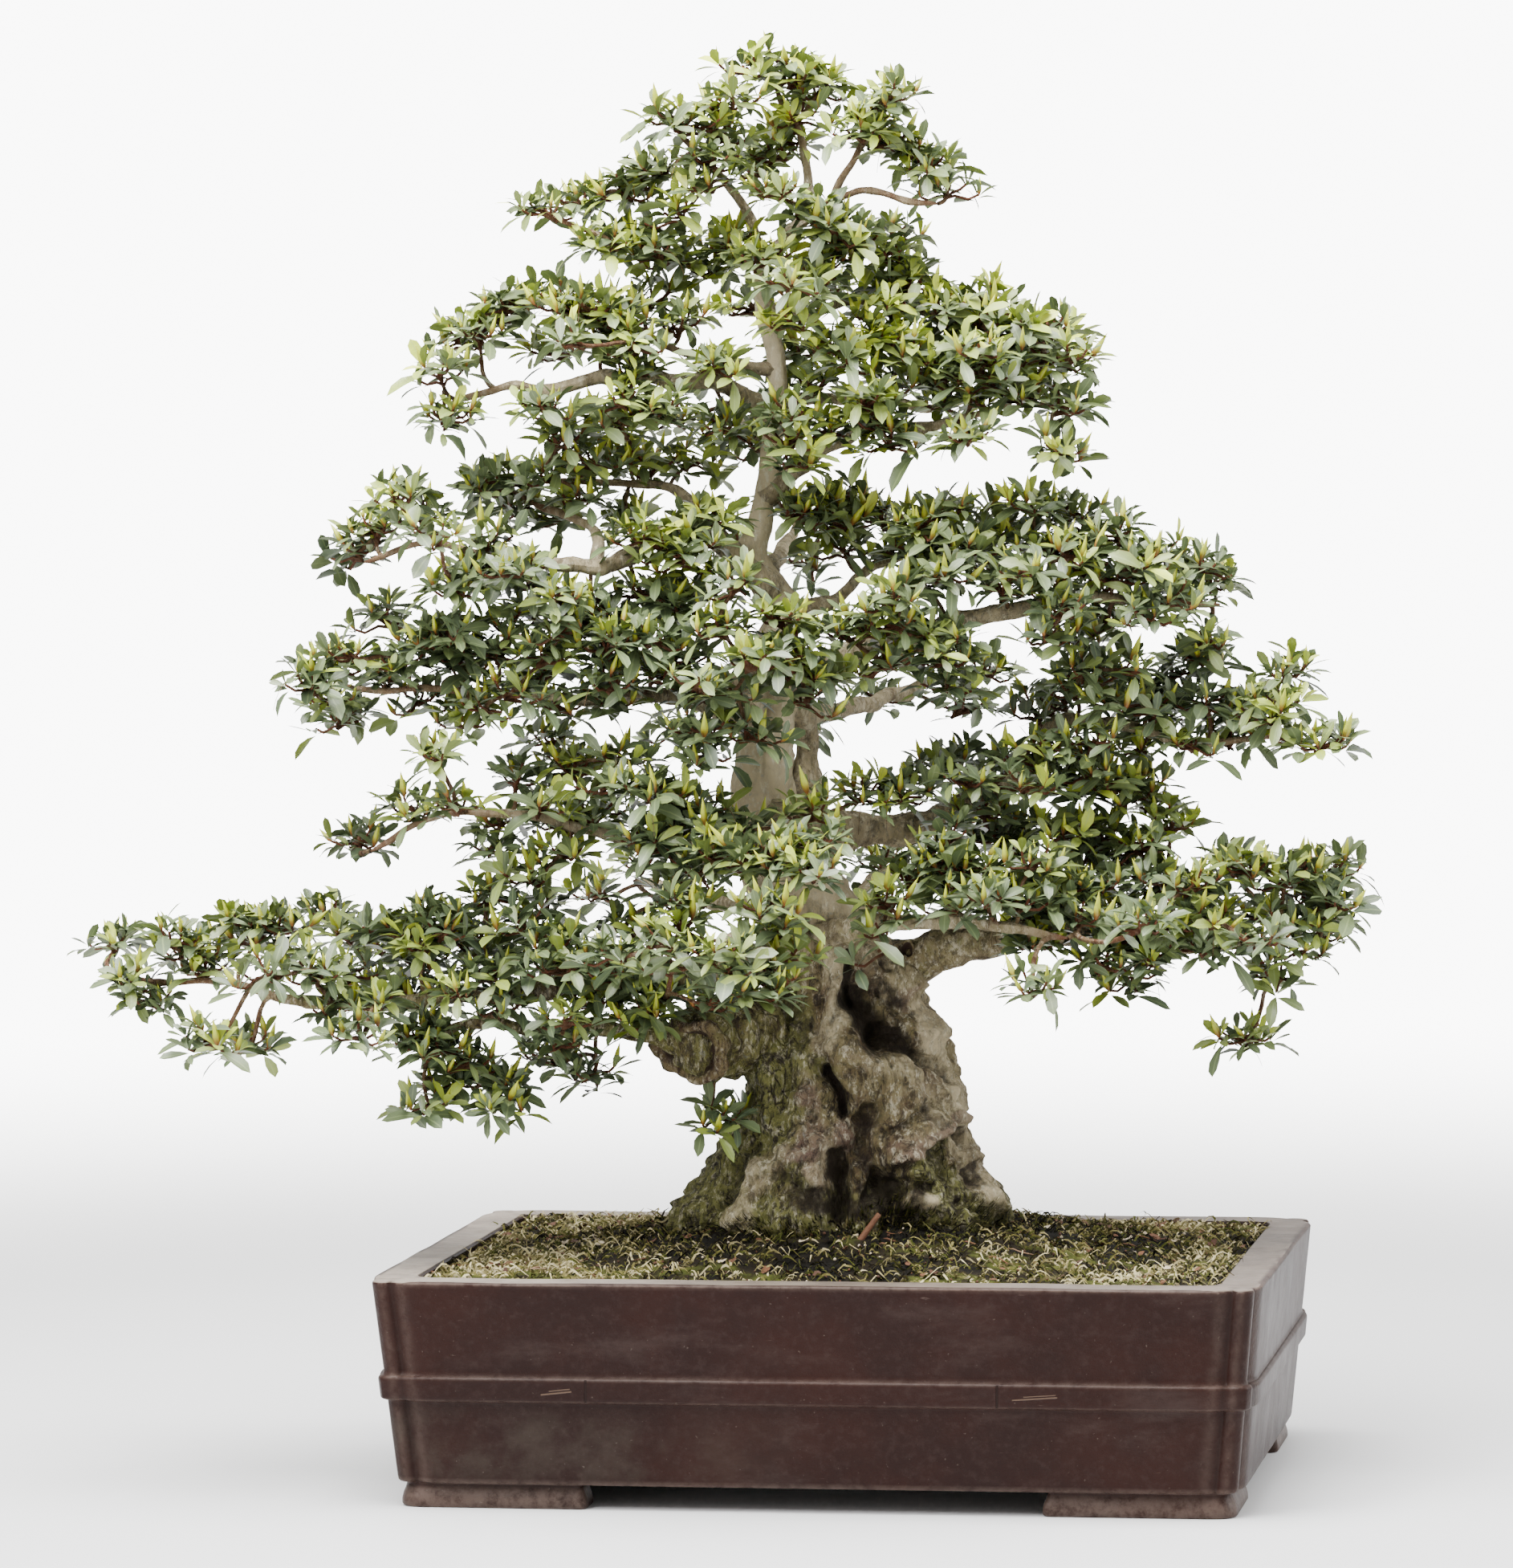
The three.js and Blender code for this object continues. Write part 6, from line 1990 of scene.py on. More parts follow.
# Shelves of foliage: how far each spreads in depth, and the middle of each cluster of tufts.
SHELVES: dict[str, tuple[float, tuple[tuple[float, float, float], ...]]] = {
    "apex_left": (24, (
        (-60, -10, 870), (-105, -15, 840), (-75, -35, 830), (-85, -30, 800), (-115, 15, 810),
        (-140, -5, 795),
    )),
    "apex_middle": (22, (
        (-40, 20, 876), (-15, -5, 855), (-35, 30, 830), (-45, -30, 795), (-55, 35, 810), (-5, -30, 770),
    )),
    "apex_right": (22, ((30, -5, 855), (10, -25, 830), (40, 20, 820), (65, -15, 795), (50, -5, 810))),
    "apex_left_tip": (18, ((-185, -10, 785), (-165, 15, 790), (-145, -25, 765))),
    "crown_left": (26, (
        (-105, -25, 755), (-130, 10, 765), (-75, 30, 765), (-50, -45, 755), (-35, -65, 740),
    )),
    "crown_right": (24, ((5, 5, 765), (-15, -20, 745), (35, 30, 745), (30, 40, 770))),
    "top_right": (30, (
        (60, -10, 725), (40, 35, 740), (90, 10, 725), (40, -25, 695), (80, -30, 700), (10, -30, 705),
    )),
    "top_left": (0, ((-10, -45, 700), (-35, -50, 715), (-100, -20, 715), (-80, -40, 690), (-120, 10, 730))),
    "high_left_crown": (40, ((-160, -35, 725), (-190, -15, 730), (-135, -45, 715), (-165, -60, 705))),
    "high_left_tip": (34, ((-240, -30, 705), (-250, -45, 685), (-245, -25, 660), (-215, -5, 720))),
    "high_left_low": (30, (
        (-185, -50, 665), (-135, -60, 685), (-140, -45, 655), (-175, -20, 645), (-80, -45, 650),
        (-110, -60, 665), (-95, -20, 630),
    )),
    "high_right_core": (0, ((-35, -55, 660), (10, -50, 665), (25, -35, 640), (-35, -50, 630))),
    "high_right_tip": (40, (
        (75, -25, 645), (55, -35, 680), (90, -20, 680), (135, 0, 700), (135, -15, 660), (130, 0, 635),
        (110, 25, 690),
    )),
    "high_right_back": (16, ((65, 50, 695), (100, 60, 705), (120, 50, 670), (30, 60, 680))),
    "upper_left_high": (44, (
        (-120, -15, 625), (-160, 15, 625), (-185, 0, 625), (-145, 30, 645), (-225, -5, 615),
        (-205, -25, 600), (-180, 25, 595),
    )),
    "upper_left_tip": (44, ((-275, -40, 610), (-305, -35, 575), (-290, -15, 590), (-250, -65, 590))),
    "upper_left_low": (52, ((-220, -70, 580), (-240, -55, 555), (-195, -80, 555), (-160, -60, 545))),
    "upper_front": (0, (
        (-125, -70, 585), (-85, -40, 595), (-100, -65, 570), (-100, -65, 540), (-125, -50, 550),
        (-80, -95, 530), (-60, -120, 510), (-35, -90, 520), (-25, -75, 485),
    )),
    "upper_right_high": (20, ((-5, 10, 605), (20, 35, 595), (-5, 0, 575), (-30, -10, 595))),
    "upper_right_crown": (48, ((45, -5, 590), (85, -5, 590), (60, -45, 560), (25, -40, 550))),
    "upper_right_mid": (58, ((130, 0, 590), (105, -40, 565), (145, -50, 560), (120, -50, 520))),
    "upper_right_tip": (52, ((180, -10, 570), (225, -10, 550), (200, -45, 545), (160, -40, 525))),
    "upper_right_low": (20, ((-5, -60, 525), (60, -55, 520), (60, -45, 490), (30, -70, 530))),
    "middle_left_tip": (48, ((-330, -35, 500), (-290, -30, 535), (-305, -55, 515), (-315, -45, 470))),
    "middle_left_mid": (60, (
        (-275, -60, 510), (-245, -30, 530), (-235, -70, 500), (-215, -50, 515), (-250, -60, 455),
        (-235, -45, 470),
    )),
    "middle_left_near": (50, (
        (-175, -65, 530), (-195, -70, 495), (-145, -75, 495), (-140, -50, 525), (-105, -85, 510),
        (-90, -60, 455), (-90, -100, 485), (-120, -30, 535),
    )),
    "middle_right_tip": (46, ((265, -5, 480), (265, -25, 455), (240, 20, 470), (290, 0, 455))),
    "middle_right_mid": (60, ((205, 5, 495), (225, 15, 515), (195, -30, 465), (175, 35, 485))),
    "middle_right_crown": (60, (
        (145, 15, 500), (115, 10, 470), (105, -5, 445), (135, -20, 475), (130, 0, 425), (160, 20, 430),
        (190, -5, 410), (90, 50, 435),
    )),
    "middle_right_near": (30, ((35, -5, 425), (65, 20, 440), (10, -25, 425))),
    "left_shelf_mid": (50, (
        (-305, -40, 395), (-270, -60, 420), (-240, -70, 425), (-225, -60, 390), (-205, -35, 435),
    )),
    "left_shelf_inner": (50, ((-155, -35, 435), (-175, -70, 390), (-130, -60, 430), (-185, -15, 455))),
    "front_middle": (0, (
        (-90, -65, 420), (-115, -85, 395), (-80, -110, 390), (-50, -135, 395), (-25, -85, 415),
        (-25, -160, 385),
    )),
    "low_front": (0, (
        (-100, -130, 365), (-80, -190, 340), (-115, -160, 340), (-55, -170, 365), (-40, -150, 335),
        (-60, -190, 316),
    )),
    "low_left_tip": (50, ((-460, -10, 330), (-435, -25, 300), (-420, 5, 340), (-400, -45, 320))),
    "low_left_outer": (66, ((-375, 5, 350), (-395, -40, 285), (-375, -25, 270), (-360, -60, 325))),
    "low_left_mid": (78, ((-325, -5, 345), (-325, -75, 320), (-300, -60, 290), (-295, 25, 320))),
    "low_left_inner": (84, ((-260, -20, 355), (-265, -85, 320), (-225, -90, 320), (-230, 15, 335))),
    "low_left_near": (80, ((-190, -30, 350), (-180, -90, 325), (-145, -75, 340), (-150, -105, 315))),
    "low_left_under": (22, ((-260, -65, 240), (-265, -80, 280), (-215, -75, 240), (-235, -50, 265))),
    "low_left_hanging": (30, (
        (-160, -70, 255), (-175, -100, 295), (-185, -40, 260), (-130, -80, 295), (-84, -34, 228),
        (-105, -70, 305),
    )),
    "low_right_crown": (20, ((20, -70, 360), (50, -40, 385), (15, -95, 330), (80, -100, 365))),
    "low_right_mid": (76, ((100, -5, 385), (115, -65, 355), (105, -90, 315), (140, -25, 370))),
    "low_right_outer": (80, ((175, 10, 390), (175, -65, 355), (175, -60, 310), (210, -20, 370))),
    "low_right_tip": (62, (
        (240, 5, 370), (215, -65, 345), (250, -50, 340), (260, -45, 305), (295, -10, 355),
        (295, -35, 330), (240, -35, 270), (280, 15, 380),
    )),
    "low_back": (0, (
        (20, 170, 372), (60, 205, 350), (-5, 215, 388), (45, 256, 380), (80, 243, 395), (10, 130, 335),
    )),
    "low_back_left": (0, (
        (-90, 150, 372), (-130, 205, 368), (-160, 170, 350), (-60, 190, 388), (-110, 235, 340),
    )),
    "middle_back": (0, ((-75, 130, 472), (-60, 175, 488), (-110, 165, 455), (-30, 190, 455))),
    "middle_back_right": (0, ((50, 130, 500), (90, 165, 492), (20, 160, 478), (75, 110, 470))),
    "upper_back": (0, ((-40, 120, 600), (0, 150, 592), (-70, 145, 575), (-25, 160, 560))),
    "high_back": (0, ((-85, 100, 680), (-50, 118, 660), (-110, 92, 655))),
    "top_back": (0, ((-30, 78, 750), (-5, 95, 735), (-60, 80, 725))),
}  # fmt: skip

# Single clusters between and under the shelves, by region.
FILLING: dict[str, tuple[tuple[float, float, float], ...]] = {
    "CROWN": (
        (0, -20, 772), (-60, -40, 750), (22, 10, 757), (-22, -35, 738), (-85, 20, 748), (-105, -20, 782),
        (-140, 5, 765), (30, -25, 675), (0, -40, 690), (-30, 30, 695), (25, -20, 722), (70, 25, 714),
        (104, -10, 706), (125, 10, 712), (30, 30, 730),
    ),
    "HIGH": (
        (-150, -20, 704), (-205, -5, 728), (-180, 20, 698), (-130, -55, 700), (-12, -40, 650), (-22, 15, 676),
        (140, -10, 690), (108, -15, 668), (62, 20, 664), (85, -30, 690), (-60, 25, 640), (-155, -30, 632),
    ),
    "UPPER": (
        (-215, -15, 618), (-165, -25, 608), (-135, 20, 594), (40, 20, 575), (72, -30, 576), (98, 20, 582),
        (125, -25, 574), (95, -45, 550), (150, 15, 546), (165, -25, 584), (36, -40, 556), (20, -60, 506),
        (-20, -70, 500), (-225, -40, 562), (-200, -75, 566), (-172, -40, 530), (-150, -75, 520),
        (-205, -50, 532), (-118, -85, 522), (-95, -50, 550), (-68, -85, 556), (-45, -95, 536),
        (62, -20, 598), (112, -22, 600), (146, 10, 592), (192, -10, 568), (222, -8, 562),
        (44, -25, 586), (86, 8, 562), (120, -42, 550), (166, -32, 556), (206, -15, 546),
    ),
    "MIDDLE": (
        (-265, -30, 486), (-222, -70, 482), (-180, -40, 480), (-205, -80, 492), (-150, -50, 486),
        (-250, -60, 522), (-282, -20, 498), (-120, -60, 500), (-75, -95, 490), (-58, -90, 462),
        (150, -30, 456), (182, 20, 450), (210, -25, 453), (236, 10, 455), (170, -35, 500), (145, 25, 514),
        (120, -30, 456), (220, -10, 480), (252, -25, 470), (194, 25, 478), (160, -25, 478), (104, 20, 402),
        (130, -20, 400), (162, 15, 398), (200, 0, 402), (80, -15, 414), (146, -20, 440), (180, 15, 426),
        (70, -45, 432), (110, -52, 430), (270, -12, 496),
    ),
    "SHELF": (
        (-215, -30, 410), (-190, -60, 420), (-155, -20, 415), (-140, -60, 450), (-115, -75, 430),
        (-170, -45, 442), (-200, -65, 376), (-95, -90, 380), (-70, -60, 408), (-110, -55, 366),
        (-180, 5, 405), (-128, -85, 402),
    ),
    "LOW_LEFT": (
        (-385, 15, 335), (-350, -25, 346), (-340, -60, 325), (-312, 10, 336), (-286, -50, 346),
        (-270, 30, 330), (-246, -70, 346), (-230, 10, 332), (-290, -80, 302), (-266, -20, 300),
        (-240, -90, 312), (-320, -55, 300), (-222, -40, 364), (-200, -80, 350), (-206, -20, 322),
        (-180, -95, 340), (-175, -55, 316), (-150, -100, 325), (-160, -70, 300), (-132, -60, 312),
        (-110, -115, 326), (-85, -100, 302), (-268, -70, 276), (-216, -85, 300), (-140, -40, 342),
        (-120, -85, 292),
    ),
    "LOW_RIGHT": (
        (76, -60, 380), (100, -20, 356), (60, -75, 360), (124, -60, 370), (130, -10, 346), (90, 15, 394),
        (150, -40, 366), (110, -80, 386), (36, -45, 376), (170, 10, 350), (190, -40, 370), (216, 5, 364),
        (240, -45, 376), (225, -15, 345), (200, -60, 345), (255, 15, 345), (180, -15, 390), (266, -35, 370),
        (285, -5, 360), (240, -30, 330), (160, -50, 335), (275, -25, 325), (145, 20, 392),
        (112, -62, 334), (152, -62, 320), (184, -50, 324), (214, -48, 328), (264, -32, 342), (292, -20, 342),
        (298, 5, 372), (100, -85, 362), (140, -72, 352), (62, -45, 398),
    ),
}  # fmt: skip


@dataclass
class Network:
    """The living wood so far: places that a new twig may leave from.

    Attributes:
        points: Points along each stem.
        headings: The stem's direction at each.
        radii: Its radius at each.
        from_above: What each millimetre costs by which a twig would start above its end.
    """

    points: list[Array] = field(default_factory=list)
    headings: list[Array] = field(default_factory=list)
    radii: list[Array] = field(default_factory=list)
    from_above: float = 0.6

    def add(self, centres: Array, radii: Array) -> None:
        """Adds one stem's points, with the direction and the radius at each.

        Args:
            centres: The stem's points.
            radii: Its radius at each.
        """
        self.points.append(centres)
        self.headings.append(unit(np.gradient(centres, axis=0)))
        self.radii.append(radii)

    def nearest(self, target: Array) -> tuple[Array, Array, float]:
        """The best place to leave for `target`: near its stem's surface, and rather from below than above.

        Args:
            target: Where the twig is to end.

        Returns:
            The place, the stem's direction there and its radius.
        """
        points = np.concatenate(self.points)
        radii = np.concatenate(self.radii)
        gap = target - points
        cost = np.linalg.norm(gap, axis=1) - radii + self.from_above * np.maximum(-gap[:, 2], 0.0)
        best = int(np.argmin(cost))
        return points[best], np.concatenate(self.headings)[best], float(radii[best])


def bezier(start: Array, first: Array, second: Array, end: Array, count: int) -> Array:
    """Cubic curves: (1-t)^3 start + 3t(1-t)^2 first + 3t^2(1-t) second + t^3 end, for a batch of curves.

    Args:
        start: First points.
        first: Points that the curves leave towards.
        second: Points that they arrive from.
        end: Last points.
        count: Points on each curve.

    Returns:
        The points with the axes (curve, point, xyz).
    """
    t = np.linspace(0.0, 1.0, count)[:, None]
    parts = [(1 - t) ** 3, 3 * t * (1 - t) ** 2, 3 * t**2 * (1 - t), t**3]
    return sum(part * point[..., None, :] for part, point in zip(parts, (start, first, second, end)))


@dataclass(frozen=True)
class Cut:
    """A healed pruning cut.

    Attributes:
        centre: Its middle in the tree's axes.
        facing: The direction that it faces.
        radius: The callus ring's radius.
        depth: How far the face lies under the ring.
        squat: Its height as a share of its width.
    """

    centre: tuple[float, float, float]
    facing: tuple[float, float, float]
    radius: float
    depth: float
    squat: float = 1.0


@dataclass
class Limbs:
    """Every limb that leaves the trunk, with its collar, knots and healed cuts.

    Attributes:
        spacing: How far apart the rings along a limb are.
        knot_swell: How far a limb swells at each of its table's points, as a share of its radius.
        cuts: The healed cuts.
        cut_profile: A cut's rings, as shares of its radius and of its depth.
        cut_sides: Points round each of them.
        tip_taper: Shares of the radius at a limb's last points.
    """

    spacing: float = 3.2
    knot_swell: float = 0.24
    cuts: tuple[Cut, ...] = (
        Cut((-100, -53, 267), (-0.50, -0.84, -0.20), 24.0, 6.5, 0.74),
        Cut((34, -17, 326), (0.15, -0.97, 0.20), 4.6, 4.0, 1.25),
        Cut((-61, -25, 392), (-0.60, -0.75, 0.25), 4.5, 3.0),
    )
    cut_profile: tuple[tuple[float, float], ...] = (
        (0.60, -3.2), (0.84, -2.3), (1.02, -1.2), (1.12, -0.45), (1.10, -0.05), (0.98, 0.18), (0.84, 0.12),
        (0.74, -0.12), (0.62, -0.5), (0.45, -0.72), (0.22, -0.8), (0.04, -0.82),
    )  # fmt: skip
    cut_sides: int = 40
    tip_taper: tuple[float, ...] = (0.92, 0.82, 0.62, 0.30)

    def sides(self, radius: float) -> int:
        """Points round a limb of this radius."""
        return 20 if radius > 9 else 14 if radius > 5 else 9 if radius > 2.8 else 7

    def limb(self, name: str, stump: Stump) -> tuple[Array, Array, Array]:
        """One limb's path, its radius at every point of every ring, and its plain radius along the path.

        The radius follows the table, swells at each of the table's points and flares where the limb leaves
        the trunk's skin; noise makes it knobby.

        Args:
            name: The limb's name in LIMBS.
            stump: The trunk that it leaves.

        Returns:
            The path and both sets of radii.
        """
        table = np.array(LIMBS[name], dtype=float)
        path = along_path(table, self.spacing)
        centres, radius = path[:, :3], path[:, 3].copy()
        steps = np.linalg.norm(np.diff(centres, axis=0), axis=1)
        run = np.concatenate([[0.0], np.cumsum(steps)])
        start = float(stump.centre_line(np.array([centres[0, 2]]))[2][0])
        collar = 0.40 * np.exp(-((np.maximum(run - 0.8 * start, 0.0) / (1.3 * table[0, 3] + 2.0)) ** 2))
        knots = np.linalg.norm(centres[:, None] - table[None, 1:-1, :3], axis=2).min(axis=1, initial=1e3)
        swell = self.knot_swell * np.exp(-((knots / (1.4 * radius + 1.0)) ** 2))
        radius *= 1.0 + np.minimum(collar, 0.9) + swell
        radius[-len(self.tip_taper):] *= np.array(self.tip_taper)
        bend = noise_vectors(centres, 17.0, Seed.LIMB_BEND)
        clear = ease(run, 0.6 * start, start + 20)[:, None]
        centres = centres + bend * (0.34 * radius + 1.1)[:, None] * clear
        sides = self.sides(float(table[:, 3].mean()))
        rough = tube_grid(centres, radius, sides)
        relief = 0.11 * rough_noise(rough, 8.0, Seed.LIMB_RELIEF) + 0.07 * (
            1.0 - 2.0 * np.abs(lattice_noise(rough * np.array([0.35, 1.0, 1.0]), 3.4, Seed.LIMB_STRIPES))
        )
        return centres, radius[:, None] * (1.0 + relief), radius

    def add(self, sheaf: Sheaf, stump: Stump, network: Network) -> None:
        """Adds all limbs and notes where twigs may leave them.

        Args:
            sheaf: Gathers the points.
            stump: The trunk that the limbs leave.
            network: The living wood, which the limbs are added to.
        """
        for name in LIMBS:
            centres, radius, plain = self.limb(name, stump)
            grid = tube_grid(centres, radius, radius.shape[1])
            height = centres[:, 2:]
            low = ease(height, 420.0, 300.0) * 0.22 + ease(height, 290.0, 270.0) * 0.2
            # shade: painted shade where the relief dips under the limb's plain radius.
            sheaf.add_tube(
                grid,
                shade=np.clip(0.16 - 1.6 * (radius / plain[:, None] - 1.0), 0.0, 0.75),
                scar=0.15,
                algae=np.broadcast_to(low, radius.shape),
                pale=np.broadcast_to(0.15 + 0.43 * ease(height, 290.0, 352.0), radius.shape),
                young=np.broadcast_to(ease(plain, 3.4, 1.3)[:, None] * 0.75 + 0.05, radius.shape),
                stout=np.broadcast_to(ease(plain, 2.2, 6.0)[:, None], radius.shape),
            )
            keep = slice(3, None) if len(centres) > 8 else slice(1, None)
            network.add(centres[keep], plain[keep])

    def healed_cut(self, cut: Cut) -> tuple[Array, Array]:
        """A ring of callus round a sunken face: the profile of (radius share, height) turned once round.

        Args:
            cut: The cut.

        Returns:
            Points with the axes (ring, side, xyz), and how dark each is.
        """
        rows = np.array(self.cut_profile)
        facing = unit(np.array(cut.facing))
        across = unit(np.cross(UP, facing))
        upward = np.cross(facing, across)
        angle = TAU * np.arange(self.cut_sides) / self.cut_sides
        wavy = 1.0 + 0.09 * np.sin(3 * angle + cut.radius) + 0.05 * np.sin(7 * angle)
        spoke = np.cos(angle)[:, None] * across + cut.squat * np.sin(angle)[:, None] * upward
        reach = (rows[:, 0:1] * cut.radius * wavy)[..., None]
        grid = np.array(cut.centre) + reach * spoke + (rows[:, 1] * cut.depth)[:, None, None] * facing
        ragged = 0.7 + 1.6 * ease(cut.radius, 8.0, 20.0)
        grid = grid + ragged * rough_noise(grid, 5.0, Seed.CALLUS)[..., None] * facing
        dark = np.where(np.arange(len(rows)) > 5, ease(rows[:, 0], 0.94, 0.70), 0.0)
        return grid, np.broadcast_to(dark[:, None], grid.shape[:2])

    def add_cuts(self, sheaf: Sheaf) -> None:
        """Adds the healed pruning cuts.

        Args:
            sheaf: Gathers the points.
        """
        for cut in self.cuts:
            grid, dark = self.healed_cut(cut)
            sheaf.add_tube(grid, shade=dark * 0.95, scar=0.1, algae=0.15, pale=0.1, young=0.10, stout=1.0)


# ---------------------------------------------------------------- foliage


REAR_SHELVES = tuple(name for name in SHELVES if "_back" in name and name != "high_right_back")


class Region(Enum):
    """A stretch of the tree whose foliage makes one set of pieces, by the first words of its shelves."""

    CROWN = ("apex", "crown", "top")
    HIGH = ("high",)
    UPPER = ("upper",)
    MIDDLE = ("middle",)
    SHELF = ("left_shelf", "front")
    LOW_LEFT = ("low_left", "low_front")
    LOW_RIGHT = ("low_right",)
    REAR = ("rear",)

    def shelves(self) -> list[str]:
        """The shelves of this region; those at the rear belong to the rear alone.

        Returns:
            The shelves' names.
        """
        if self is Region.REAR:
            return list(REAR_SHELVES)
        return [name for name in SHELVES if name.startswith(self.value) and name not in REAR_SHELVES]


@dataclass
class Tufts:
    """A batch of leaf tufts.

    Attributes:
        places: Where each tuft sits.
        growth: The direction that it grows in.
        size: Its size as a share of the usual one.
        fresh: How young and light its leaves are, 0 to 1.
        forks: Where its short twig leaves the hub's twig.
        headings: The direction of the hub's twig there.
        region: Its region's number.
    """

    places: Array
    growth: Array
    size: Array
    fresh: Array
    forks: Array
    headings: Array
    region: Array


@dataclass
class Foliage:
    """Twigs, whorled leaf tufts and pointed buds on every shelf.

    Attributes:
        tufts_each: Tufts round each hub.
        reach: How far they spread from it.
        dome: How far the middle ones stand over the outer ones.
        leaves_each: Leaves in a tuft, before some are dropped.
        leaf_length: Length of the lowest and of the innermost leaves.
        leaf_half_width: Half a leaf's width as a share of its length.
        leaf_lift: How steeply the innermost leaves stand, in radians.
        bud_length: Length of a bud.
        bud_share: The share of tufts that carry one.
        bud_radii: A bud's radius at each of bud_heights, which are shares of its length.
        dropped: The share of tufts left out, and of those at the rear.
        missing_leaves: The share of leaves left out.
        style_share: The share of tufts with a withered thread.
        sag: How far a hub moves up for each millimetre that it moves back.
        gap_range: How far apart two hubs may be for one more halfway between them.
        clear_views: Places in front that are kept free of leaves, as x, z, half width and half height.
        seed: Where the random draws start.
        open_shelves: Shelves that get no hubs between their own.
    """

    tufts_each: int = 8
    reach: float = 18.0
    dome: float = 7.0
    leaves_each: int = 8
    leaf_length: tuple[float, float] = (19.5, 14.5)
    leaf_half_width: float = 0.182
    bud_length: float = 14.0
    bud_share: float = 0.62
    bud_heights: tuple[float, ...] = (0.0, 0.16, 0.36, 0.68, 1.0)
    bud_radii: tuple[float, ...] = (0.60, 1.55, 1.80, 1.05, 0.06)
    leaf_lift: float = math.radians(62)
    dropped: tuple[float, float] = (0.08, 0.14)
    missing_leaves: float = 0.10
    style_share: float = 0.05
    sag: float = 0.055
    gap_range: tuple[float, float] = (26.0, 92.0)
    seed: int = Seed.FOLIAGE
    clear_views: tuple[tuple[float, float, float, float], ...] = ((-92, 270, 46, 27), (48, 326, 44, 26))
    open_shelves: tuple[str, ...] = (
        "left_shelf_mid", "low_right_tip", "apex_left_tip", "top_left", *REAR_SHELVES,
    )  # fmt: skip

    def hubs(self) -> tuple[Array, Array]:
        """The middle of each cluster of tufts, and its region's number.

        Over the whole table in order, the depth of cluster n is moved by spread * (2 frac(0.618 n) - 1), and
        its height by a small share of that.

        Returns:
            The middles and the regions' numbers.
        """
        owner = {name: k for k, region in enumerate(Region) for name in region.shelves()}
        rows, order = [], 0
        for name, (spread, places) in SHELVES.items():
            middles = np.array(places, dtype=float)
            depth = spread * (2 * (((order + 1 + np.arange(len(middles))) * GOLDEN_SHARE) % 1) - 1)
            order += len(middles)
            whole = middles + depth[:, None] * np.array([0.0, 1.0, self.sag])
            if name not in self.open_shelves:
                whole = np.concatenate([whole, self.between(middles, -0.7 * depth)])
            rows.append(np.column_stack([whole, np.full(len(whole), owner[name])]))
        for key, places in FILLING.items():
            number = list(Region).index(Region[key])
            rows.append(np.column_stack([np.array(places, dtype=float), np.full(len(places), number)]))
        table = np.concatenate(rows)
        return table[:, :3], table[:, 3].astype(int)

    def between(self, middles: Array, depth: Array) -> Array:
        """Clusters halfway between neighbours on one shelf, each moved to the other side in depth.

        Args:
            middles: The shelf's clusters.
            depth: For each cluster, how far a new one beside it moves in depth.

        Returns:
            The new clusters.
        """
        apart = np.linalg.norm((middles[:, None] - middles[None])[..., [0, 2]], axis=-1)
        apart += 1e3 * (apart < 1.0)
        near = np.stack([np.arange(len(middles)), np.argmin(apart, axis=1)], axis=1)
        one, two = np.unique(np.sort(near, axis=1), axis=0).T
        kept = (apart[one, two] > self.gap_range[0]) & (apart[one, two] < self.gap_range[1])
        one, two = one[kept], two[kept]
        moved = 0.5 * (depth[one] + depth[two])[:, None] * np.array([0.0, 1.0, self.sag])
        return 0.5 * (middles[one] + middles[two]) + moved

    def branchlets(self, network: Network) -> tuple[Array, Array, Array, Array]:
        """Grows a curved twig to every hub, nearest first, each from the nearest living wood.

        Args:
            network: The living wood, which the twigs are added to.

        Returns:
            Hubs in the order grown, their growth directions, their regions, and the twigs' paths.
        """
        hubs, region = self.hubs()
        wood = np.concatenate(network.points)
        apart = [np.linalg.norm(wood - hub, axis=1).min() for hub in hubs]
        order = np.argsort(apart)
        paths, growths = [], []
        for index in order:
            hub = hubs[index]
            root, heading, radius = network.nearest(hub)
            run = hub - root
            length = float(np.linalg.norm(run))
            outward = unit(run * np.array([1.0, 1.0, 0.4]))
            growth = unit(0.75 * outward + 0.62 * UP)
            leave = unit(0.55 * heading * np.sign(heading @ run + 1e-6) + 0.6 * run / max(length, 1.0))
            path = bezier(root, root + 0.38 * length * leave, hub - 0.36 * length * growth, hub, 9)
            paths.append(path)
            growths.append(growth)
            thick = min(0.75 * radius, 1.15 + 0.010 * length)
            network.add(path[2:], np.linspace(thick, 0.95, 7))
        return hubs[order], np.array(growths), region[order], np.array(paths)

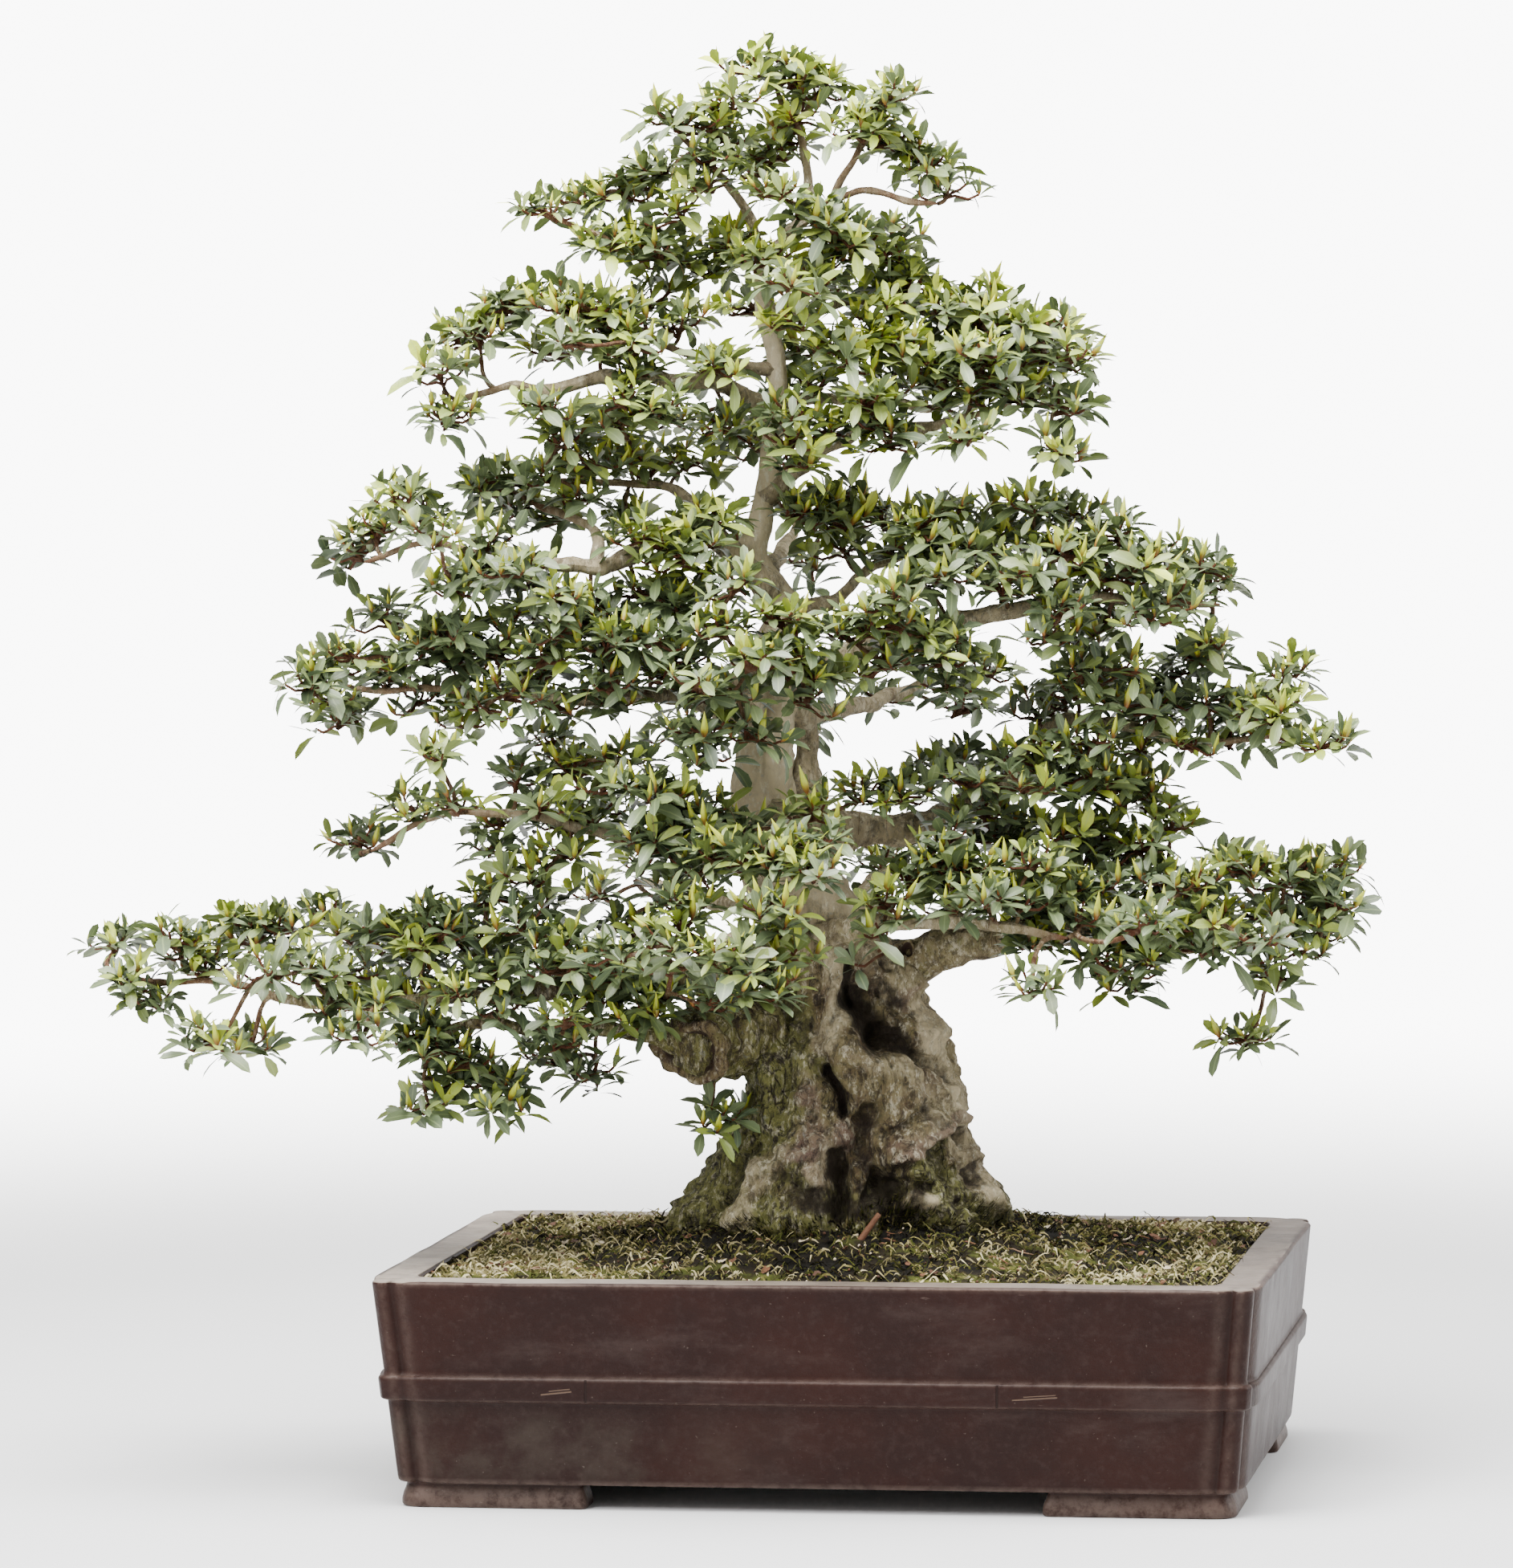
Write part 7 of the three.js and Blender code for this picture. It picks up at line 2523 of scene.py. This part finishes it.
    def tufts(self, hubs: Array, growths: Array, region: Array) -> Tufts:
        """Sets tufts round each hub like seeds on a sunflower, on a shallow dome.

        Tuft k of n lies at reach sqrt((k + 0.5) / n) from the hub, each turned by the golden angle from the
        one before, and grows up and outwards.

        Args:
            hubs: Middles of the clusters.
            growths: The direction that each grows in.
            region: Each one's region.

        Returns:
            The tufts that are kept.
        """
        rng = np.random.default_rng(self.seed)
        n, count = self.tufts_each, len(hubs)
        k = np.arange(n)[None, :]
        share = np.sqrt((k + 0.5) / n) * rng.uniform(0.82, 1.18, (count, n))
        turn = k * GOLDEN_ANGLE + rng.uniform(0, TAU, (count, 1)) + rng.normal(0, 0.25, (count, n))
        spoke = bearing(turn)
        lift = self.dome * (0.5 - share**2) + rng.normal(0.0, 3.4, (count, n))
        places = hubs[:, None] + self.reach * share[..., None] * spoke + lift[..., None] * UP
        growth = 0.45 * share[..., None] * spoke + 0.92 * UP + 0.28 * growths[:, None]
        growth = unit(growth + rng.normal(0.0, 0.20, (count, n, 3)))
        forks = hubs[:, None] - growths[:, None] * rng.uniform(5.0, 12.0, (count, n, 1))
        size = rng.uniform(0.80, 1.15, (count, n))
        patch = lattice_noise(hubs, 70.0, Seed.FRESH_PATCHES)[:, None]
        fresh = np.clip(rng.uniform(0, 1, (count, n)) + 0.22 * patch, 0, 1)
        headings = np.broadcast_to(growths[:, None], places.shape)
        regions = np.repeat(region, n)
        rear = regions == list(Region).index(Region.REAR)
        kept = rng.random(count * n) > np.where(rear, self.dropped[1], self.dropped[0])
        places, growth, forks, headings = (v.reshape(-1, 3) for v in (places, growth, forks, headings))
        for x, z, half_width, half_height in self.clear_views:
            apart = np.hypot((places[:, 0] - x) / half_width, (places[:, 2] - z) / half_height)
            kept &= (apart > 1.0) | (places[:, 1] > 0.0)
        arrays = (places, growth, size.reshape(-1), fresh.reshape(-1), forks, headings, regions)
        return Tufts(*(values[kept] for values in arrays))

    def leaf_frames(self, tufts: Tufts) -> tuple[Array, ...]:
        """Foot, direction, upper side, length and rank (0 lowest, 1 innermost) of every leaf.

        Args:
            tufts: The tufts.

        Returns:
            Those arrays for the leaves that are kept, and which of all leaves those are.
        """
        rng = np.random.default_rng(self.seed + 1)
        count, n = len(tufts.places), self.leaves_each
        helper = np.where(np.abs(tufts.growth[:, :1]) > 0.7, [[0.0, 1.0, 0.0]], [[1.0, 0.0, 0.0]])
        a = unit(np.cross(helper, tufts.growth))[:, None]
        b = np.cross(tufts.growth, a[:, 0])[:, None]
        rank = np.broadcast_to(np.arange(n) / (n - 1), (count, n)) + rng.normal(0, 0.05, (count, n))
        turn = np.arange(n)[None] * GOLDEN_ANGLE + rng.uniform(0, TAU, (count, 1))
        turn = (turn + rng.normal(0, 0.18, (count, n)))[..., None]
        out = a * np.cos(turn) + b * np.sin(turn)
        tilt = self.leaf_lift * np.clip(rank, 0, 1) + rng.normal(0, 0.15, (count, n))
        tilt = tilt[..., None]
        axis = tufts.growth[:, None]
        direction = out * np.cos(tilt) + axis * np.sin(tilt)
        upper = axis * np.cos(tilt) - out * np.sin(tilt)
        foot = tufts.places[:, None] + axis * (-4.5 + 5.0 * rank[..., None]) + 0.5 * out
        low, high = self.leaf_length
        length = (low + (high - low) * rank) * tufts.size[:, None] * rng.uniform(0.72, 1.22, (count, n))
        kept = rng.random((count, n)) > self.missing_leaves
        return foot[kept], direction[kept], upper[kept], length[kept], rank[kept], kept

    def add_leaves(self, sheaves: list[Sheaf], tufts: Tufts) -> None:
        """Adds every leaf to its region's sheaf.

        A leaf's rib runs from its foot along its direction by L s and bends down by L droop s^2. At three
        stations the blade reaches L w(s) to each side of it and rises by a share of that, so that it folds
        along the rib; foot and tip are single points.

        Args:
            sheaves: One for each region, which gather the points.
            tufts: The tufts.
        """
        rng = np.random.default_rng(self.seed + 2)
        foot, direction, upper, length, rank, kept = self.leaf_frames(tufts)
        count = len(foot)
        s = np.array([0.28, 0.58, 0.84, 0.0, 1.0])
        outline = np.array([0.58, 1.0, 0.84])
        column = np.array([-1.0, 0.0, 1.0])
        droop = rng.normal(0.20, 0.13, count) + 0.12 * (1 - rank)
        twist = rng.normal(0.0, 0.28, count)[:, None]
        side = unit(np.cross(direction, upper) + twist * upper)
        size = length[:, None, None]
        rib = foot[:, None] + size * (s[None, :, None] * direction[:, None])
        rib = rib - size * (droop[:, None] * s**2)[..., None] * upper[:, None]
        half = self.leaf_half_width * rng.uniform(0.82, 1.2, count)[:, None] * length[:, None] * outline
        fold = rng.uniform(0.05, 0.5, count)[:, None] * half
        blade = rib[:, :3, None] + (half[..., None] * column)[..., None] * side[:, None, None]
        blade = blade + (fold[..., None] * np.abs(column))[..., None] * upper[:, None, None]
        blade = np.concatenate([blade.reshape(count, 9, 3), rib[:, 3:]], axis=1)
        fresh = np.broadcast_to(tufts.fresh[:, None], kept.shape)[kept]
        tone = 0.20 + 0.34 * ease(fresh, 0.45, 1.0) + 0.26 * rank * ease(fresh, 0.15, 0.85)
        tone = tone + rng.normal(0, 0.11, count)
        tone = tone + 0.13 * ease(foot[:, 2], 450.0, 780.0) - 0.05 * ease(foot[:, 2], 420.0, 280.0)
        ends = np.array([0.0, 0.0])
        values = {
            "tone": np.clip(tone, 0, 1)[:, None],
            "across": np.concatenate([np.tile(np.abs(column), 3), ends])[None],
            "along": np.concatenate([np.repeat(s[:3], 3), s[3:]])[None],
            "bronzed": (rng.random(count) < 0.3)[:, None] * 1.0,
        }
        region = np.broadcast_to(tufts.region[:, None], kept.shape)[kept]
        quads = grid_quads(3, 3, wrap=False)
        fans = np.array([[9, 1, 0], [9, 2, 1], [6, 7, 10], [7, 8, 10]])
        for k, sheaf in enumerate(sheaves):
            own = region == k
            number = int(own.sum())
            chosen = {name: np.broadcast_to(value, (count, 11))[own] for name, value in values.items()}
            sheaf.add(blade[own], [repeat_faces(quads, number, 11), repeat_faces(fans, number, 11)], **chosen)

    def add_buds(self, sheaves: list[Sheaf], tufts: Tufts) -> None:
        """Adds a bud to some tufts: a slim cone with a rounded foot, from a profile turned once round.

        Args:
            sheaves: One for each region, which gather the points.
            tufts: The tufts.
        """
        rng = np.random.default_rng(self.seed + 3)
        chosen = rng.random(len(tufts.places)) < self.bud_share
        size = tufts.size[chosen] * rng.uniform(0.7, 1.3, int(chosen.sum()))
        heights = np.array(self.bud_heights) * self.bud_length
        lean = unit(tufts.growth[chosen] + rng.normal(0, 0.10, (len(size), 3)))
        reach = (size[:, None] * heights)[..., None]
        centres = tufts.places[chosen][:, None] + reach * lean[:, None]
        grids = tube_grid(centres, size[:, None] * np.array(self.bud_radii), 5)
        along = np.broadcast_to(heights / self.bud_length, (len(size), len(heights)))
        for k, sheaf in enumerate(sheaves):
            own = tufts.region[chosen] == k
            sheaf.add_grids(grids[own], along=along[own])

    def add_twigs(self, sheaves: list[Sheaf], tufts: Tufts, paths: Array, region: Array) -> None:
        """Adds the curved twigs to the hubs and the short ones from them to every tuft.

        Args:
            sheaves: One for each region, which gather the points.
            tufts: The tufts.
            paths: Paths of the twigs to the hubs.
            region: Each hub's region.
        """
        length = np.linalg.norm(paths[:, -1] - paths[:, 0], axis=1)
        thick = (1.2 + 0.010 * length)[:, None] * np.linspace(1.0, 0.72, 9)
        knobs = 1.0 + 0.18 * lattice_noise(paths, 5.0, Seed.TWIG_KNOBS)
        jog = 0.7 * noise_vectors(paths, 9.0, Seed.TWIG_BEND)
        jog[:, [0, -1]] = 0.0
        big = tube_grid(paths + jog, thick * knobs, 6)
        run = tufts.places - tufts.forks
        span = np.linalg.norm(run, axis=1)[:, None]
        first = tufts.forks + 0.40 * span * tufts.headings
        second = tufts.places - 0.42 * span * tufts.growth
        small_paths = bezier(tufts.forks, first, second, tufts.places, 4)
        small = tube_grid(small_paths, np.broadcast_to(np.linspace(1.2, 0.9, 4), small_paths.shape[:2]), 3)
        for k, sheaf in enumerate(sheaves):
            own, own_small = region == k, tufts.region == k
            self.add_bark(sheaf, big[own], np.linspace(0.25, 0.85, 9))
            self.add_bark(sheaf, small[own_small], np.linspace(0.7, 1.0, 4))

    def add_bark(self, sheaf: Sheaf, grids: Array, young: Array) -> None:
        """Adds a batch of twigs with the bark's values.

        Args:
            sheaf: Gathers the points.
            grids: Points with the axes (twig, ring, side, xyz).
            young: How young the bark is at each ring.
        """
        shape = grids.shape[:2]
        values = {name: np.zeros(shape) for name in ("shade", "scar", "algae", "pale", "stout")}
        sheaf.add_grids(grids, young=np.broadcast_to(young, shape), **values)

    def add_styles(self, sheaves: list[Sheaf], tufts: Tufts) -> None:
        """Adds withered threads left by last year's flowers, hanging in a curve from some tufts.

        Args:
            sheaves: One for each region, which gather the points.
            tufts: The tufts.
        """
        rng = np.random.default_rng(self.seed + 4)
        chosen = rng.random(len(tufts.places)) < self.style_share
        start = tufts.places[chosen]
        count = len(start)
        turn = rng.uniform(0, TAU, count)
        out = bearing(turn)
        length = rng.uniform(10, 22, count)[:, None]
        paths = bezier(start, start + 0.4 * length * out, start + length * (0.8 * out - 0.35 * UP),
                       start + length * (0.95 * out - 0.95 * UP), 7)
        grids = tube_grid(paths, np.broadcast_to(np.linspace(0.28, 0.14, 7), paths.shape[:2]), 3)
        for k, sheaf in enumerate(sheaves):
            self.add_bark(sheaf, grids[tufts.region[chosen] == k], np.full(7, 0.55))

    def build(self, place: Placement, network: Network, bark: Material) -> None:
        """Grows all foliage and makes each region's leaves, buds and twigs.

        Args:
            place: Where the pot stands and how the tree is turned.
            network: The living wood so far.
            bark: The bark for the twigs.
        """
        hubs, growths, region, paths = self.branchlets(network)
        tufts = self.tufts(hubs, growths, region)
        leaves, buds, twigs = ([Sheaf() for _ in Region] for _ in range(3))
        self.add_leaves(leaves, tufts)
        self.add_buds(buds, tufts)
        self.add_twigs(twigs, tufts, paths, region)
        self.add_styles(twigs, tufts)
        looks = {"leaves": LeafFinish().material(), "buds": BudFinish().material(), "twigs": bark}
        for k, part in enumerate(Region):
            nodes = [f"spray_{name}" for name in part.shelves()]
            for word, sheaf in (("leaves", leaves[k]), ("buds", buds[k]), ("twigs", twigs[k])):
                piece = sheaf.build(f"{part.name.lower()}_{word}", place.tree, looks[word])
                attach(piece, "root")
                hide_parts(*nodes)
                log.info("%s: %d faces", piece.name, len(piece.data.polygons))


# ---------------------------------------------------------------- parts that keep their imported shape


@dataclass
class Fittings:
    """Soil, drainage netting and wire clips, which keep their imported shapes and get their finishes."""

    def dress(self, nodes: dict[str, Piece]) -> None:
        """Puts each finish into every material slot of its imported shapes.

        Args:
            nodes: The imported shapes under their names.
        """
        looks = {
            "soil": SoilFinish().material(),
            "drain_screen": NettingFinish().material(),
            "screen_clip": WireFinish().material(),
        }
        for name, shape in nodes.items():
            for word, look in looks.items():
                if name.startswith(word):
                    for held in shape.material_slots:
                        held.material = look
                    log.info("%s: dressed", name)


# ---------------------------------------------------------------- studio


@dataclass(frozen=True)
class Lamp:
    """A square softbox: where it hangs and the point it faces, its power in watts and its side, in metres."""

    name: str
    at: Point
    aim: Point
    power: float
    size: float = 1.4


def stand(name: str, data: bpy.types.ID, axes: Array, at: Array | Point) -> Piece:
    """Puts a lamp or a camera in the scene.

    Args:
        name: The object's name.
        data: Its lamp or camera data.
        axes: Its own right, up and backward directions, one row each.
        at: Where it stands, in metres.

    Returns:
        The object.
    """
    made = bpy.data.objects.new(name, data)
    made.matrix_world = Matrix([[*(axis[k] for axis in axes), at[k]] for k in range(3)] + [[0, 0, 0, 1]])
    bpy.context.scene.collection.objects.link(made)
    return made


@dataclass
class Studio:
    """A plain pale floor, soft light and the camera.

    Attributes:
        eye: Where the camera stands, in the tree's axes and millimetres.
        focal_pixels: Its focal length in pixels of the rendered image.
        down: How far it looks down, in radians.
        roll: How far it is turned about its own axis, in radians.
        image_height: The rendered image's height in pixels.
        sensor: The width of the camera's sensor in millimetres.
        far_limit: The distance in metres beyond which it sees nothing.
        floor_radius: The floor's radius in metres.
        floor_rings: Rings of quads in the floor.
        floor_sides: Points in each of them.
        air_light: How strongly the surround lights the scene.
        air_seen: How bright the surround looks to the camera.
        air_colour: The surround's colour.
        lamps: The softboxes.
    """

    eye: tuple[float, float, float] = (-58.1, -4500.0, 676.1)
    focal_pixels: float = 9060.1
    down: float = 0.055
    roll: float = 0.010
    image_height: float = 1953.0
    sensor: float = 36.0
    far_limit: float = 50.0
    floor_radius: float = 3.4
    floor_rings: int = 24
    floor_sides: int = 96
    air_light: float = 1.25
    air_seen: float = 9.5
    air_colour: Colour = (1.0, 0.998, 0.995)
    lamps: tuple[Lamp, ...] = (
        Lamp("key softbox", (-1.5, -2.2, 2.4), (0.0, 0.0, 0.75), 124.0),
        Lamp("right softbox", (2.4, 0.5, 1.2), (0.1, 0.0, 0.25), 60.0),
        Lamp("top softbox", (-0.1, -0.4, 2.0), (0.0, 0.0, 0.75), 172.0),
    )

    def floor(self) -> None:
        """Adds the floor: a round sheet of rings whose paint fades out at its edge."""
        rings, sides = self.floor_rings, self.floor_sides
        share = np.linspace(0.0, 1.0, rings + 1)[1:, None, None]
        step = np.arange(sides)
        grid = share * bearing(TAU * step / sides) * self.floor_radius / MM
        fan = np.stack([np.full(sides, rings * sides), step, (step + 1) % sides], axis=-1)
        sheet = Sheaf()
        points = np.concatenate([grid.reshape(-1, 3), np.zeros((1, 3))])
        sheet.add(points, [grid_quads(rings, sides, wrap=True)[:, ::-1], fan])
        sheet.build("studio_floor", lambda points: points * MM, FloorFinish().material())

    def world(self) -> None:
        """Sets an even, almost white surround."""
        world = bpy.data.worlds.new("studio air")
        world.use_nodes = True
        tree = world.node_tree
        back = tree.nodes["Background"]
        back.inputs["Color"].default_value = (*self.air_colour, 1.0)
        seen = tree.nodes.new("ShaderNodeLightPath").outputs["Is Camera Ray"]
        strength = tree.nodes.new("ShaderNodeMapRange")
        strength.inputs["To Min"].default_value = self.air_light
        strength.inputs["To Max"].default_value = self.air_seen
        tree.links.new(seen, strength.inputs["Value"])
        tree.links.new(strength.outputs["Result"], back.inputs["Strength"])
        bpy.context.scene.world = world

    def hang(self, lamp: Lamp) -> None:
        """Hangs one softbox, with its back along the line from its aim.

        Args:
            lamp: The softbox.
        """
        data = bpy.data.lights.new(lamp.name, "AREA")
        data.shape, data.size, data.energy = "SQUARE", lamp.size, lamp.power
        away = unit(np.array(lamp.at) - np.array(lamp.aim))
        right = unit(np.cross(UP, away))
        stand(lamp.name, data, np.stack([right, np.cross(away, right), away]), lamp.at)

    def camera(self, place: Placement) -> None:
        """Stands the camera in front of the tree.

        Its view direction is the tree's y axis tipped down; its own right and up are the tree's, turned by
        the roll.

        Args:
            place: Where the pot stands and how the tree is turned.
        """
        forward = np.array([0.0, math.cos(self.down), -math.sin(self.down)])
        level_up = np.array([0.0, math.sin(self.down), math.cos(self.down)])
        level_right = np.array([1.0, 0.0, 0.0])
        right = level_right * math.cos(self.roll) - level_up * math.sin(self.roll)
        upward = level_right * math.sin(self.roll) + level_up * math.cos(self.roll)
        turned = [place.tree_to_pot(axis) for axis in (right, upward, -forward)]
        data = bpy.data.cameras.new("studio camera")
        data.sensor_fit = "AUTO"
        data.sensor_width = self.sensor
        data.lens = self.focal_pixels * self.sensor / self.image_height
        data.clip_end = self.far_limit
        eye = place.tree(np.array(self.eye))
        bpy.context.scene.camera = stand("studio camera", data, turned, eye)

    def build(self, place: Placement) -> None:
        """Sets up floor, surround, lamps and camera.

        Args:
            place: Where the pot stands and how the tree is turned.
        """
        self.floor()
        self.world()
        for lamp in self.lamps:
            self.hang(lamp)
        self.camera(place)


def main() -> None:
    """Loads the frame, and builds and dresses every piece."""
    logging.basicConfig(level=logging.INFO, format="%(name)s %(message)s")
    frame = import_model()
    place = Placement.from_frame()
    Studio().build(place)
    log.info("pot centre at %.2f, %.2f mm", *place.centre)
    pot = Pot().build(place, StonewareFinish())
    log.info("pot: %d faces", len(pot.data.polygons))
    stump, network = Stump(), Network()
    bark = BarkFinish().material()
    wood, limbs = Sheaf(), Sheaf()
    stump.add(wood)
    Limbs().add(limbs, stump, network)
    Limbs().add_cuts(limbs)
    for name, sheaf in (("old_trunk", wood), ("limbs", limbs)):
        piece = sheaf.build(name, place.tree, bark)
        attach(piece, "root")
        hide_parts("trunk")
        log.info("%s: %d faces", name, len(piece.data.polygons))
    Ground().build(place, stump)
    log.info("moss and litter laid")
    Foliage().build(place, network, bark)
    Fittings().dress(frame["nodes"])


if __name__ == "__main__":
    main()
